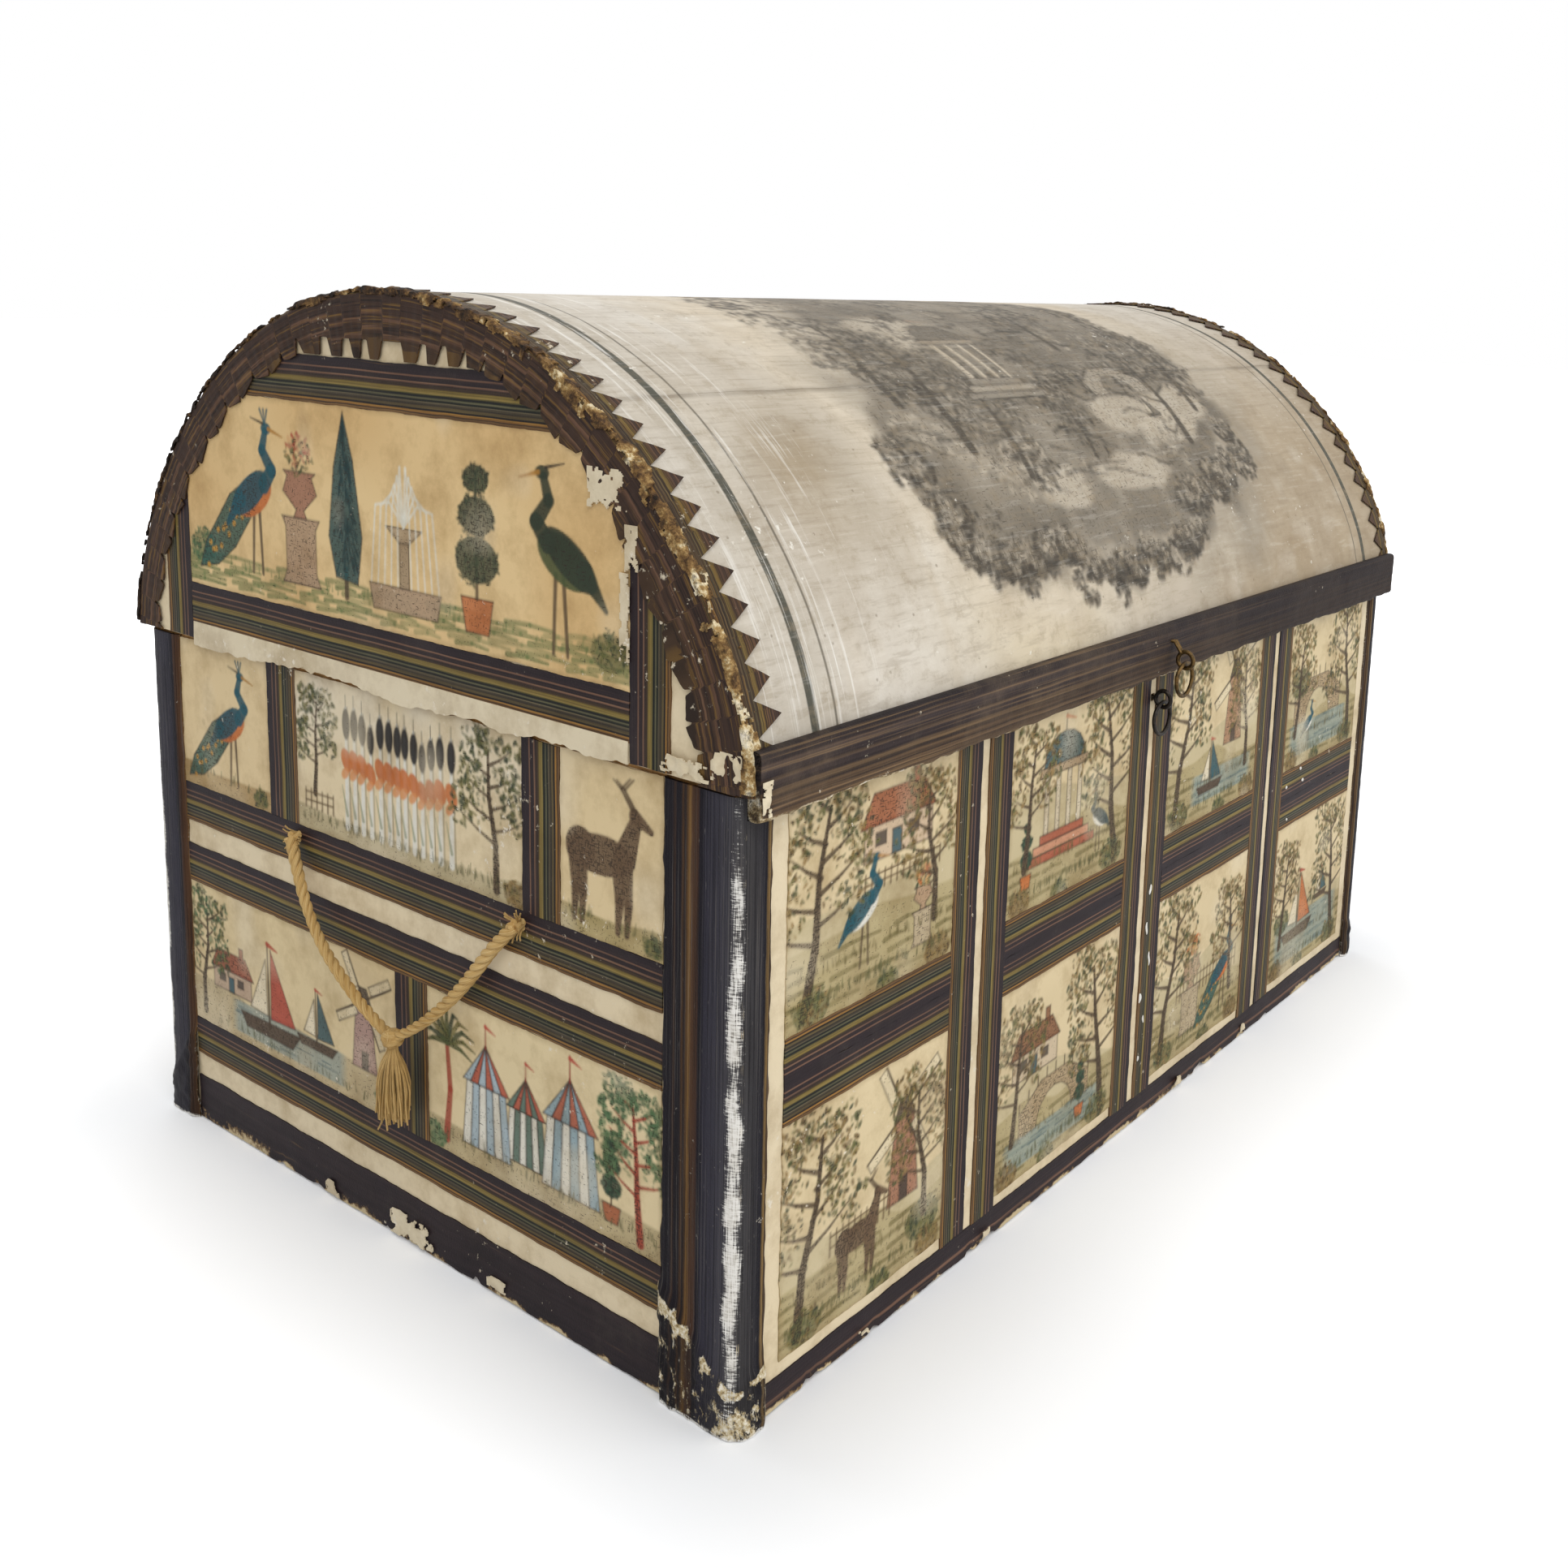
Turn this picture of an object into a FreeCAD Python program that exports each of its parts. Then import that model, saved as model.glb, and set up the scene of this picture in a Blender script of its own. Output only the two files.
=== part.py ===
"""Dome top trunk: thin boards covered with pasted papers, a bent pasteboard lid and a cord handle.

Millimetres. X runs along the length, -Y is the front, +Z is up.
The origin is the middle of the base board's underside, on the floor.
"""
import FreeCAD
import Part
import math
import os

Vec = FreeCAD.Vector
ORIGIN = Vec(0, 0, 0)
X_AXIS = Vec(1, 0, 0)
Y_AXIS = Vec(0, 1, 0)
Z_AXIS = Vec(0, 0, 1)

# Boards of the box
BOX_LENGTH = 400.0
BOX_DEPTH = 264.0
SEAM_HEIGHT = 170.0
FOOT_HEIGHT = 2.0
WALL_T = 8.0
END_T = 8.0
BASE_T = 9.0

# Lid
LID_RISE = 112.0
SEAM_GAP = 0.3
DOME_OVERHANG = 4.0
END_OVERHANG = 2.0
SPRING_DROP = 8.0
SHOULDER_R = 92.0
DOME_T = 3.0
LID_END_T = 9.0
RAIL_DEPTH = 12.0
RAIL_HEIGHT = 14.0
RIM_T = 4.0
RIM_LIP = 6.0
RIM_ABOVE_SEAM = 11.6
RIM_CLEARANCE = 0.4
BACK_BAND_HEIGHT = 14.0

# Papers
GROUND_T = 0.3
PRINT_T = 0.3
BAND_T = 0.4
LINING_T = 0.3
COVER_T = 0.3
PAPER_TOP_MARGIN = 1.5

# Corner wraps
WRAP_T = 1.6
WRAP_CORNER_R = 4.0
WRAP_TOP_MARGIN = 1.0
FRONT_WRAP_END_LEG = 26.5
FRONT_WRAP_FACE_LEG = 9.0
BACK_WRAP_END_LEG = 16.0
BACK_WRAP_FACE_LEG = 12.0
WRAP_FOOT_EXTRA = 1.2
WRAP_FOOT_HEIGHT = 20.0

# Papers on the long sides
LONG_BASE_BAND = 7.5
LONG_CREAM = 3.5
LONG_ROW_BAND = 24.0
SIDE_LINE = 3.0
SIDE_CREAM = 3.0
UPRIGHT_BAND = 12.0
UPRIGHT_CREAM = 4.0
COLUMNS = 4

# Papers on the ends of the box
END_BASE_BAND = 14.0
END_CREAM = 8.0
END_BAND = 13.0
END_UPRIGHT = 15.0
END_FRONT_PRINT = 38.0
END_BACK_PRINT = 49.5
END_LOWER_FRONT_PRINT = 95.5

# Papers on the ends of the lid
LID_CREAM = 5.2
LID_BAND = 13.0
LID_UPRIGHT = 14.0
LID_PRINT_FRONT_MARGIN = 40.5
LID_PRINT_BACK_MARGIN = 32.5
LID_PRINT_HEIGHT = 61.5
LID_TOP_BAND = 13.5

# Saw-tooth edging round the arch
EDGING_T = 0.5
EDGING_DOME_W = 12.0
EDGING_END_W = 13.0
TOOTH_DEPTH = 6.5
TOOTH_PITCH = 8.9
SNIP_DEPTH = 4.5
SNIP_PITCH = 9.0
SNIP_MOUTH = 5.0
SNIP_ROOT = 3.0

# Square cut brads in the boards, and headed nails in the hinges
BRAD_T = 1.6
BRAD_LENGTH = 24.0
CORNER_BRADS = 4
BASE_BRADS_LONG = 3
BASE_BRADS_END = 2
LEAF_NAIL_T = 1.2
LEAF_NAIL_HEAD = 2.4
LEAF_NAIL_HEAD_T = 0.4
LEAF_NAIL_LENGTH = 7.0

# Hinges
HINGE_OFFSET = 110.0
HINGE_WIDTH = 30.0
LEAF_T = 1.0
LEAF_REACH = 7.5
LEAF_NAIL_SPACING = 18.0
KNUCKLE_R = 2.0
KNUCKLE_CLEARANCE = 0.4
KNUCKLE_STANDOFF = 0.7
KNUCKLE_END_GAP = 0.2
PIN_R = 0.9
PIN_RUNNING = 0.08
PIN_SNUG = 0.02
PIN_PROUD = 0.5

# Staples and rings
EYE_R = 2.75
EYE_WIRE_R = 0.75
SHANK_W = 2.4
SHANK_CLEARANCE = 0.05
CLENCH_LENGTH = 7.0
CLENCH_T = 1.2
WIRE_FLAT_COUNT = 8
EYE_STANDOFF = 4.0
BOX_STAPLE_BELOW_SEAM = 14.5
LID_STAPLE_ABOVE_SEAM = 5.5
DROOP_START = 1.3
DROOP_LENGTH = 7.0
DROOP_ANGLE = 55.0
RING_R = 5.5
RING_WIRE_R = 0.7
RING_CLEARANCE = 0.3

# Cord handle on the left end
CORD_D = 4.2
CORD_HOLE_SPACING = 104.0
CORD_HOLE_IN_BAND = 9.25
CORD_HOLE_CLEARANCE = 0.3
CORD_STANDOFF = 0.5
CORD_STUB_GAP = 0.2
CORD_FLAT_COUNT = 8
STOP_R = 5.0
STOP_LENGTH = 5.2
KNOT_FLAT_COUNT = 12
KNOT_R = 5.2
KNOT_NECK_R = 2.8
KNOT_HALF_HEIGHT = 4.6
TASSEL_NECK_R = 3.2
TASSEL_HEAD_R = 4.8
TASSEL_WAIST_R = 4.0
TASSEL_SKIRT_R = 6.2
TASSEL_HEAD_H = 7.0
TASSEL_LENGTH = 24.0
# Each strand's route from its hole to the knot: out from the holes' axis, along Y, below the holes
BACK_STRAND = [
    (1.0, 47.5, 9.5),
    (1.9, 42.0, 19.0),
    (2.8, 33.0, 29.0),
    (3.5, 20.0, 37.0),
    (4.1, 8.5, 42.5),
]
FRONT_STRAND = [
    (0.9, -45.0, 7.0),
    (1.8, -38.5, 15.5),
    (2.7, -30.5, 25.0),
    (3.4, -21.0, 34.0),
    (4.0, -12.0, 41.0),
]
KNOT_POINT = (4.6, -3.5, 46.0)
STRAND_IN_KNOT = 2.6
ARC_SHARE = 0.45

# How far a cutting tool reaches past the piece that it cuts
CUT_MARGIN = 1.0

# Places worked out from the sizes above
HALF_L = BOX_LENGTH / 2
HALF_D = BOX_DEPTH / 2
INNER_L = HALF_L - END_T
INNER_D = HALF_D - WALL_T
LID_BOTTOM = SEAM_HEIGHT + SEAM_GAP
CROWN = SEAM_HEIGHT + LID_RISE
LID_HALF_L = HALF_L + END_OVERHANG
LID_INNER_L = LID_HALF_L - LID_END_T
PAPER_TOP = SEAM_HEIGHT - PAPER_TOP_MARGIN
WRAP_OUT = GROUND_T + WRAP_T
RIM_INNER = HALF_D + WRAP_OUT + RIM_CLEARANCE
RIM_OUTER = RIM_INNER + RIM_T
RIM_TOP = SEAM_HEIGHT + RIM_ABOVE_SEAM
BAND_OUT = GROUND_T + BAND_T
END_LOWER_BAND_Z = FOOT_HEIGHT + END_BASE_BAND + END_CREAM
END_LOWER_PRINT_Z = END_LOWER_BAND_Z + END_BAND
END_PRINT_H = (PAPER_TOP - END_LOWER_PRINT_Z - 2 * END_BAND - END_CREAM) / 2
END_MIDDLE_BAND_Z = END_LOWER_PRINT_Z + END_PRINT_H
END_UPPER_BAND_Z = END_MIDDLE_BAND_Z + END_BAND + END_CREAM
CORD_HOLE_HEIGHT = END_UPPER_BAND_Z + CORD_HOLE_IN_BAND

# The arch is three tangent arcs: two shoulders and a crown
ARCH_HALF = HALF_D + DOME_OVERHANG
SPRING_Z = SEAM_HEIGHT - SPRING_DROP
ARCH_RISE = CROWN - SPRING_Z
SHOULDER_Y = ARCH_HALF - SHOULDER_R
CROWN_R = (SHOULDER_Y ** 2 + ARCH_RISE ** 2 - SHOULDER_R ** 2) / (2 * (ARCH_RISE - SHOULDER_R))
CROWN_Z = CROWN - CROWN_R
CROWN_ANGLE = math.atan2(SHOULDER_Y, SPRING_Z - CROWN_Z)
CROWN_ARC = CROWN_R * CROWN_ANGLE


def box(x0, x1, y0, y1, z0, z1):
    """A block between two corners."""
    return Part.makeBox(x1 - x0, y1 - y0, z1 - z0, Vec(x0, y0, z0))


def rod(start, end, radius):
    """A round bar between two points."""
    along = end - start
    return Part.makeCylinder(radius, along.Length, start, along)


def mirrored(shape, axis):
    """The same piece on the other side of the plane square to an axis."""
    return shape.mirror(ORIGIN, axis)


def knee_height(offset):
    """Where the crown arc meets the shoulders, on the arch moved out by an offset."""
    return CROWN_Z + (CROWN_R + offset) * math.cos(CROWN_ANGLE)


def arch_half_at(z, offset):
    """Half width of the arch at a height, moved out by an offset."""
    if z >= knee_height(offset):
        return math.sqrt((CROWN_R + offset) ** 2 - (z - CROWN_Z) ** 2)
    return SHOULDER_Y + math.sqrt((SHOULDER_R + offset) ** 2 - (z - SPRING_Z) ** 2)


def arch_point(arc, offset):
    """Place and slope on the arch, at an arc length from the crown, front side negative."""
    side = -1.0 if arc < 0 else 1.0
    length = abs(arc)
    if length <= CROWN_ARC:
        angle = length / CROWN_R
        y = (CROWN_R + offset) * math.sin(angle)
        z = CROWN_Z + (CROWN_R + offset) * math.cos(angle)
    else:
        angle = CROWN_ANGLE + (length - CROWN_ARC) / SHOULDER_R
        y = SHOULDER_Y + (SHOULDER_R + offset) * math.sin(angle)
        z = SPRING_Z + (SHOULDER_R + offset) * math.cos(angle)
    return side * y, z, side * angle


def arch_length_to(z):
    """Arc length from the crown down to a height."""
    if z >= knee_height(0):
        return CROWN_R * math.acos((z - CROWN_Z) / CROWN_R)
    return CROWN_ARC + SHOULDER_R * (math.acos((z - SPRING_Z) / SHOULDER_R) - CROWN_ANGLE)


def arch_solid(offset, z_low, x0, x1):
    """All that lies under the arch, from a height up, between two places along the length."""
    half = arch_half_at(z_low, offset)
    radius = SHOULDER_R + offset
    top = Vec(x0, 0, CROWN + offset)

    def foot(side):
        return Vec(x0, side * half, z_low)

    def shoulder(angle, side):
        return Vec(x0, side * (SHOULDER_Y + radius * math.sin(angle)), SPRING_Z + radius * math.cos(angle))

    edges = [Part.LineSegment(foot(-1), foot(1)).toShape()]
    if z_low >= knee_height(offset):
        edges.append(Part.Arc(foot(-1), top, foot(1)).toShape())
    else:
        middle = (math.acos((z_low - SPRING_Z) / radius) + CROWN_ANGLE) / 2
        for side in (-1, 1):
            edges.append(Part.Arc(foot(side), shoulder(middle, side), shoulder(CROWN_ANGLE, side)).toShape())
        edges.append(Part.Arc(shoulder(CROWN_ANGLE, -1), top, shoulder(CROWN_ANGLE, 1)).toShape())
    profile = Part.Face(Part.Wire(Part.__sortEdges__(edges)))
    return profile.extrude(Vec(x1 - x0, 0, 0))


def arch_layer(inner, outer, z_low, x0, x1):
    """A bent sheet that follows the arch between two offsets."""
    return arch_solid(outer, z_low, x0, x1).cut(arch_solid(inner, z_low, x0, x1))


def on_face(face, u0, u1, z0, z1, under, over):
    """A flat piece on one side of the box, from one depth of paper to another."""
    if face == "front":
        return box(u0, u1, -HALF_D - over, -HALF_D - under, z0, z1)
    if face == "back":
        return box(u0, u1, HALF_D + under, HALF_D + over, z0, z1)
    if face == "left":
        return box(-HALF_L - over, -HALF_L - under, u0, u1, z0, z1)
    return box(HALF_L + under, HALF_L + over, u0, u1, z0, z1)


def square_bar(start, along, width, length):
    """A square bar that runs from a point along a direction."""
    bar = Part.makeBox(width, width, length, Vec(-width / 2, -width / 2, 0))
    bar.Placement = FreeCAD.Placement(start, FreeCAD.Rotation(Z_AXIS, along))
    return bar


def polygon_ring(centre, across, up, radius, flats):
    """The corners of a regular polygon about a centre."""
    turns = [2 * math.pi * (i + 0.5) / flats for i in range(flats)]
    return [centre + across * radius * math.cos(turn) + up * radius * math.sin(turn) for turn in turns]


def closed_wire(corners):
    """A closed outline through its corners."""
    return Part.makePolygon(corners + [corners[0]])


def flat_sided(rings, base, axis, flats):
    """A round piece drawn with flats: radius and distance along an axis of each ring, joined in order."""
    across = axis.cross(Y_AXIS)
    up = axis.cross(across)
    wires = [closed_wire(polygon_ring(base + axis * far, across, up, radius, flats)) for radius, far in rings]
    return Part.makeLoft(wires, True, True)


def hoop(centre, radius, wire_r, axis):
    """A hoop of wire about a level axis."""
    section = polygon_ring(centre + Z_AXIS * radius, axis, Z_AXIS, wire_r, WIRE_FLAT_COUNT)
    return Part.Face(closed_wire(section)).revolve(centre, axis, 360)


def cut_all(shape, tools):
    """A piece with several others taken out of it."""
    return shape.cut(Part.makeCompound(tools))


# Layout of the papers
def long_layout(leg):
    """Prints and bands of a long side between its corner wraps, as rectangles along X and up Z."""
    base = FOOT_HEIGHT + LONG_BASE_BAND
    low = base + LONG_CREAM
    line = HALF_L - leg - SIDE_LINE
    print_height = (PAPER_TOP - low - LONG_ROW_BAND) / 2
    pair = 2 * UPRIGHT_BAND + UPRIGHT_CREAM
    edge = line - SIDE_CREAM
    column = (2 * edge - (COLUMNS - 1) * pair) / COLUMNS
    row_low = low + print_height
    row_high = row_low + LONG_ROW_BAND
    prints = []
    bands = [(-line - SIDE_LINE, -line, base, PAPER_TOP), (line, line + SIDE_LINE, base, PAPER_TOP)]
    for i in range(COLUMNS):
        left = -edge + i * (column + pair)
        right = left + column
        prints.append((left, right, low, row_low))
        prints.append((left, right, row_high, PAPER_TOP))
        middle = (row_low + row_high) / 2
        bands.append((left, right, row_low, middle))
        bands.append((left, right, middle, row_high))
        if i < COLUMNS - 1:
            bands.append((right, right + UPRIGHT_BAND, low, PAPER_TOP))
            bands.append((right + pair - UPRIGHT_BAND, right + pair, low, PAPER_TOP))
    return prints, bands


def end_layout():
    """Prints and bands of an end of the box, as rectangles along Y and up Z."""
    front = -HALF_D + FRONT_WRAP_END_LEG
    back = HALF_D - BACK_WRAP_END_LEG
    lower = END_LOWER_PRINT_Z
    middle = END_MIDDLE_BAND_Z
    upper = END_UPPER_BAND_Z + END_BAND
    first = front + END_FRONT_PRINT
    third = back - END_BACK_PRINT
    split = front + END_LOWER_FRONT_PRINT
    prints = [
        (front, first, upper, PAPER_TOP),
        (first + END_UPRIGHT, third - END_UPRIGHT, upper, PAPER_TOP),
        (third, back, upper, PAPER_TOP),
        (front, split, lower, middle),
        (split + END_UPRIGHT, back, lower, middle),
    ]
    bands = [(front, back, z, z + END_BAND) for z in (END_LOWER_BAND_Z, middle, END_UPPER_BAND_Z)]
    bands.append((first, first + END_UPRIGHT, upper, PAPER_TOP))
    bands.append((third - END_UPRIGHT, third, upper, PAPER_TOP))
    bands.append((split, split + END_UPRIGHT, lower, middle))
    return prints, bands


def face_papers(face, layout):
    """The print sheets and the striped bands of one side of the box."""
    prints, bands = layout
    sheets = [on_face(face, *place, GROUND_T, GROUND_T + PRINT_T) for place in prints]
    strips = [on_face(face, *place, GROUND_T, BAND_OUT) for place in bands]
    return sheets, strips


# Box
def corner_wrap(end_leg, face_leg):
    """A rounded angle of layered paper over the front left corner, thicker at its foot."""
    def angle(extra, top):
        out = WRAP_OUT + extra
        radius = WRAP_CORNER_R + extra
        x0 = -HALF_L
        y0 = -HALF_D
        bend = radius * (1 - math.sqrt(0.5))
        a = Vec(x0 + face_leg, y0 - out, 0)
        b = Vec(x0 - out + radius, y0 - out, 0)
        c = Vec(x0 - out + bend, y0 - out + bend, 0)
        d = Vec(x0 - out, y0 - out + radius, 0)
        e = Vec(x0 - out, y0 + end_leg, 0)
        f = Vec(x0 - GROUND_T, y0 + end_leg, 0)
        g = Vec(x0 - GROUND_T, y0 - GROUND_T, 0)
        h = Vec(x0 + face_leg, y0 - GROUND_T, 0)
        edges = [Part.LineSegment(a, b).toShape(), Part.Arc(b, c, d).toShape()]
        for start, end in ((d, e), (e, f), (f, g), (g, h), (h, a)):
            edges.append(Part.LineSegment(start, end).toShape())
        return Part.Face(Part.Wire(edges)).extrude(Vec(0, 0, top))

    wrap = angle(0.0, SEAM_HEIGHT - WRAP_TOP_MARGIN).fuse(angle(WRAP_FOOT_EXTRA, WRAP_FOOT_HEIGHT))
    return wrap.removeSplitter()


def corner_nails():
    """Nails through the long boards into the edges of the end boards."""
    nails = []
    step = (SEAM_HEIGHT - FOOT_HEIGHT) / CORNER_BRADS
    for side in (-1, 1):
        for end in (-1, 1):
            for i in range(CORNER_BRADS):
                head = Vec(end * (HALF_L - END_T / 2), side * HALF_D, FOOT_HEIGHT + (i + 0.5) * step)
                nails.append(square_bar(head, Vec(0, -side, 0), BRAD_T, BRAD_LENGTH))
    return nails


def base_nails():
    """Nails through the four walls into the edges of the base board."""
    nails = []
    height = (FOOT_HEIGHT + BASE_T) / 2
    long_step = 2 * INNER_L / BASE_BRADS_LONG
    end_step = 2 * INNER_D / BASE_BRADS_END
    for side in (-1, 1):
        for i in range(BASE_BRADS_LONG):
            head = Vec(-INNER_L + (i + 0.5) * long_step, side * HALF_D, height)
            nails.append(square_bar(head, Vec(0, -side, 0), BRAD_T, BRAD_LENGTH))
        for i in range(BASE_BRADS_END):
            head = Vec(side * HALF_L, -INNER_D + (i + 0.5) * end_step, height)
            nails.append(square_bar(head, Vec(-side, 0, 0), BRAD_T, BRAD_LENGTH))
    return nails


def box_lining():
    """Plain paper pasted over the base and up the four walls inside."""
    floor = BASE_T + LINING_T
    return [
        box(-INNER_L, INNER_L, -INNER_D, INNER_D, BASE_T, floor),
        box(-INNER_L, INNER_L, -INNER_D, -INNER_D + LINING_T, floor, PAPER_TOP),
        box(-INNER_L, INNER_L, INNER_D - LINING_T, INNER_D, floor, PAPER_TOP),
        box(-INNER_L, -INNER_L + LINING_T, -INNER_D + LINING_T, INNER_D - LINING_T, floor, PAPER_TOP),
        box(INNER_L - LINING_T, INNER_L, -INNER_D + LINING_T, INNER_D - LINING_T, floor, PAPER_TOP),
    ]


def base_edge_bands():
    """Dark bands along the bottom edge of all four sides, between the corner wraps."""
    low = FOOT_HEIGHT
    bands = []
    for face, leg in (("front", FRONT_WRAP_FACE_LEG), ("back", BACK_WRAP_FACE_LEG)):
        end = HALF_L - leg
        bands.append(on_face(face, -end, end, low, low + LONG_BASE_BAND, GROUND_T, BAND_OUT))
    for face in ("left", "right"):
        front = -HALF_D + FRONT_WRAP_END_LEG
        back = HALF_D - BACK_WRAP_END_LEG
        bands.append(on_face(face, front, back, low, low + END_BASE_BAND, GROUND_T, BAND_OUT))
    return bands


# Hinges
HINGE_Y = arch_half_at(LID_BOTTOM, 0) + COVER_T + BAND_T + KNUCKLE_STANDOFF + KNUCKLE_R
HINGE_Z = SEAM_HEIGHT + SEAM_GAP / 2
LEAF_END_Y = HINGE_Y - KNUCKLE_R - KNUCKLE_CLEARANCE
LEAF_START_Y = HALF_D - LEAF_REACH
KNUCKLE_LENGTH = HINGE_WIDTH / 3


def leaf_nails(middle, z, up):
    """Two small nails that hold one hinge leaf to the edge it is let into."""
    y = (LEAF_START_Y + HALF_D) / 2
    nails = []
    for side in (-1, 1):
        top = Vec(middle + side * LEAF_NAIL_SPACING / 2, y, z)
        head = square_bar(top, Z_AXIS * up, LEAF_NAIL_HEAD, LEAF_NAIL_HEAD_T)
        nails.append(head.fuse(square_bar(top, Z_AXIS * up, LEAF_NAIL_T, LEAF_NAIL_LENGTH)))
    return nails


def leaf_plate(middle, z0, z1):
    """The flat of a leaf, which lies between the lid and the back wall."""
    half = HINGE_WIDTH / 2
    return box(middle - half, middle + half, LEAF_START_Y, LEAF_END_Y, z0, z1)


def knuckles(middle, spans, z0, z1, bore):
    """Rolled knuckles along the pin, each with the strip that joins it to its leaf."""
    pieces = []
    for x0, x1 in spans:
        roll = rod(Vec(middle + x0, HINGE_Y, HINGE_Z), Vec(middle + x1, HINGE_Y, HINGE_Z), KNUCKLE_R)
        pieces.append(roll)
        pieces.append(box(middle + x0, middle + x1, LEAF_END_Y, HINGE_Y, z0, z1))
    half = HINGE_WIDTH / 2 + CUT_MARGIN
    hole = rod(Vec(middle - half, HINGE_Y, HINGE_Z), Vec(middle + half, HINGE_Y, HINGE_Z), bore)
    return pieces, hole


def hinge_leaf(middle, outer_knuckles):
    """One leaf: the box leaf has the two outer knuckles, the lid leaf the middle one."""
    half = HINGE_WIDTH / 2
    inner = KNUCKLE_LENGTH / 2
    if outer_knuckles:
        z0, z1, bore = SEAM_HEIGHT - LEAF_T, SEAM_HEIGHT, PIN_R + PIN_SNUG
        spans = [(-half, -inner), (inner, half)]
    else:
        z0, z1, bore = LID_BOTTOM, LID_BOTTOM + LEAF_T, PIN_R + PIN_RUNNING
        spans = [(-inner + KNUCKLE_END_GAP, inner - KNUCKLE_END_GAP)]
    pieces, hole = knuckles(middle, spans, z0, z1, bore)
    return leaf_plate(middle, z0, z1).multiFuse(pieces).cut(hole).removeSplitter()


def hinge_pin(middle):
    """A plain pin that stands a little proud of the knuckles."""
    half = HINGE_WIDTH / 2 + PIN_PROUD
    return rod(Vec(middle - half, HINGE_Y, HINGE_Z), Vec(middle + half, HINGE_Y, HINGE_Z), PIN_R)


# Staples and rings
def clenched_ends(y, z):
    """The two flat points of a staple, bent over to both sides inside."""
    half = SHANK_W / 2
    return box(-CLENCH_LENGTH, CLENCH_LENGTH, y - CLENCH_T / 2, y + CLENCH_T / 2, z - half, z + half)


BOX_STAPLE_Z = SEAM_HEIGHT - BOX_STAPLE_BELOW_SEAM
BOX_EYE = Vec(0, -HALF_D - GROUND_T - EYE_STANDOFF, BOX_STAPLE_Z)
BOX_CLENCH_Y = -INNER_D + LINING_T + CLENCH_T / 2
LID_STAPLE_Z = LID_BOTTOM + LID_STAPLE_ABOVE_SEAM
DROOP = math.radians(DROOP_ANGLE)
LID_ELBOW = Vec(0, -RIM_OUTER - DROOP_START, LID_STAPLE_Z)
LID_EYE = LID_ELBOW + Vec(0, -math.cos(DROOP), -math.sin(DROOP)) * DROOP_LENGTH
RAIL_INNER = arch_half_at(LID_BOTTOM, -DOME_T) - RAIL_DEPTH
LID_CLENCH_Y = -RAIL_INNER + CLENCH_T / 2
RING_DROP = EYE_R - EYE_WIRE_R - RING_WIRE_R - RING_CLEARANCE


def shank_hole(z):
    """The square way of a staple's shank through the front, for cutting."""
    half = SHANK_W / 2 + SHANK_CLEARANCE
    return box(-half, half, -RIM_OUTER - CUT_MARGIN, -RAIL_INNER + CUT_MARGIN, z - half, z + half)


def box_staple():
    """A split eye through the front wall, its points clenched inside."""
    start = BOX_EYE + Y_AXIS * EYE_R
    shank = square_bar(start, Y_AXIS, SHANK_W, BOX_CLENCH_Y - start.y)
    return hoop(BOX_EYE, EYE_R, EYE_WIRE_R, X_AXIS).multiFuse([shank, clenched_ends(BOX_CLENCH_Y, BOX_STAPLE_Z)])


def lid_staple():
    """A split eye through the lid's rim and rail that droops over the seam."""
    to_elbow = (LID_ELBOW - LID_EYE).normalize()
    start = LID_EYE + to_elbow * EYE_R
    end = Vec(0, LID_CLENCH_Y, LID_STAPLE_Z)
    half = SHANK_W / 2
    above_neck = to_elbow.cross(X_AXIS) * -half
    above_shank = Z_AXIS * half
    mitre = (above_neck + above_shank) / (1 + above_neck.dot(above_shank) / half ** 2)
    outline = [start + above_neck, LID_ELBOW + mitre, end + above_shank]
    outline += [end - above_shank, LID_ELBOW - mitre, start - above_neck]
    corners = [corner - X_AXIS * half for corner in outline]
    shank = Part.Face(closed_wire(corners)).extrude(X_AXIS * SHANK_W)
    return hoop(LID_EYE, EYE_R, EYE_WIRE_R, X_AXIS).multiFuse([shank, clenched_ends(LID_CLENCH_Y, LID_STAPLE_Z)])


def ring(eye_centre):
    """A wire ring that hangs in a staple's eye."""
    axis = eye_centre - Z_AXIS * RING_DROP
    return hoop(axis - Z_AXIS * RING_R, RING_R, RING_WIRE_R, Y_AXIS)


# Cord handle
CORD_R = CORD_D / 2
CORD_AXIS_X = -HALF_L - BAND_OUT - CORD_R - CORD_STANDOFF


def route_point(out, along, drop):
    """A point of the handle's route."""
    return Vec(CORD_AXIS_X - out, along, CORD_HOLE_HEIGHT - drop)


KNOT = route_point(*KNOT_POINT)


def cord_holes():
    """The two holes of the handle's cord, for cutting."""
    holes = []
    for side in (-1, 1):
        y = side * CORD_HOLE_SPACING / 2
        start = Vec(-HALF_L - BAND_OUT - CUT_MARGIN, y, CORD_HOLE_HEIGHT)
        end = Vec(-INNER_L + LINING_T + CUT_MARGIN, y, CORD_HOLE_HEIGHT)
        holes.append(rod(start, end, CORD_R + CORD_HOLE_CLEARANCE))
    return holes


def cord_stop(side):
    """The cord's end inside the box: through its hole, then a round stopper knot."""
    outer = Vec(-HALF_L - BAND_OUT - CORD_STUB_GAP, side * CORD_HOLE_SPACING / 2, CORD_HOLE_HEIGHT)
    wall = -INNER_L + LINING_T - outer.x
    rings = [
        (CORD_R, 0),
        (CORD_R, wall),
        (STOP_R, wall + STOP_LENGTH / 4),
        (STOP_R, wall + STOP_LENGTH * 3 / 4),
        (CORD_R, wall + STOP_LENGTH),
    ]
    return flat_sided(rings, outer, X_AXIS, CORD_FLAT_COUNT)


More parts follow.
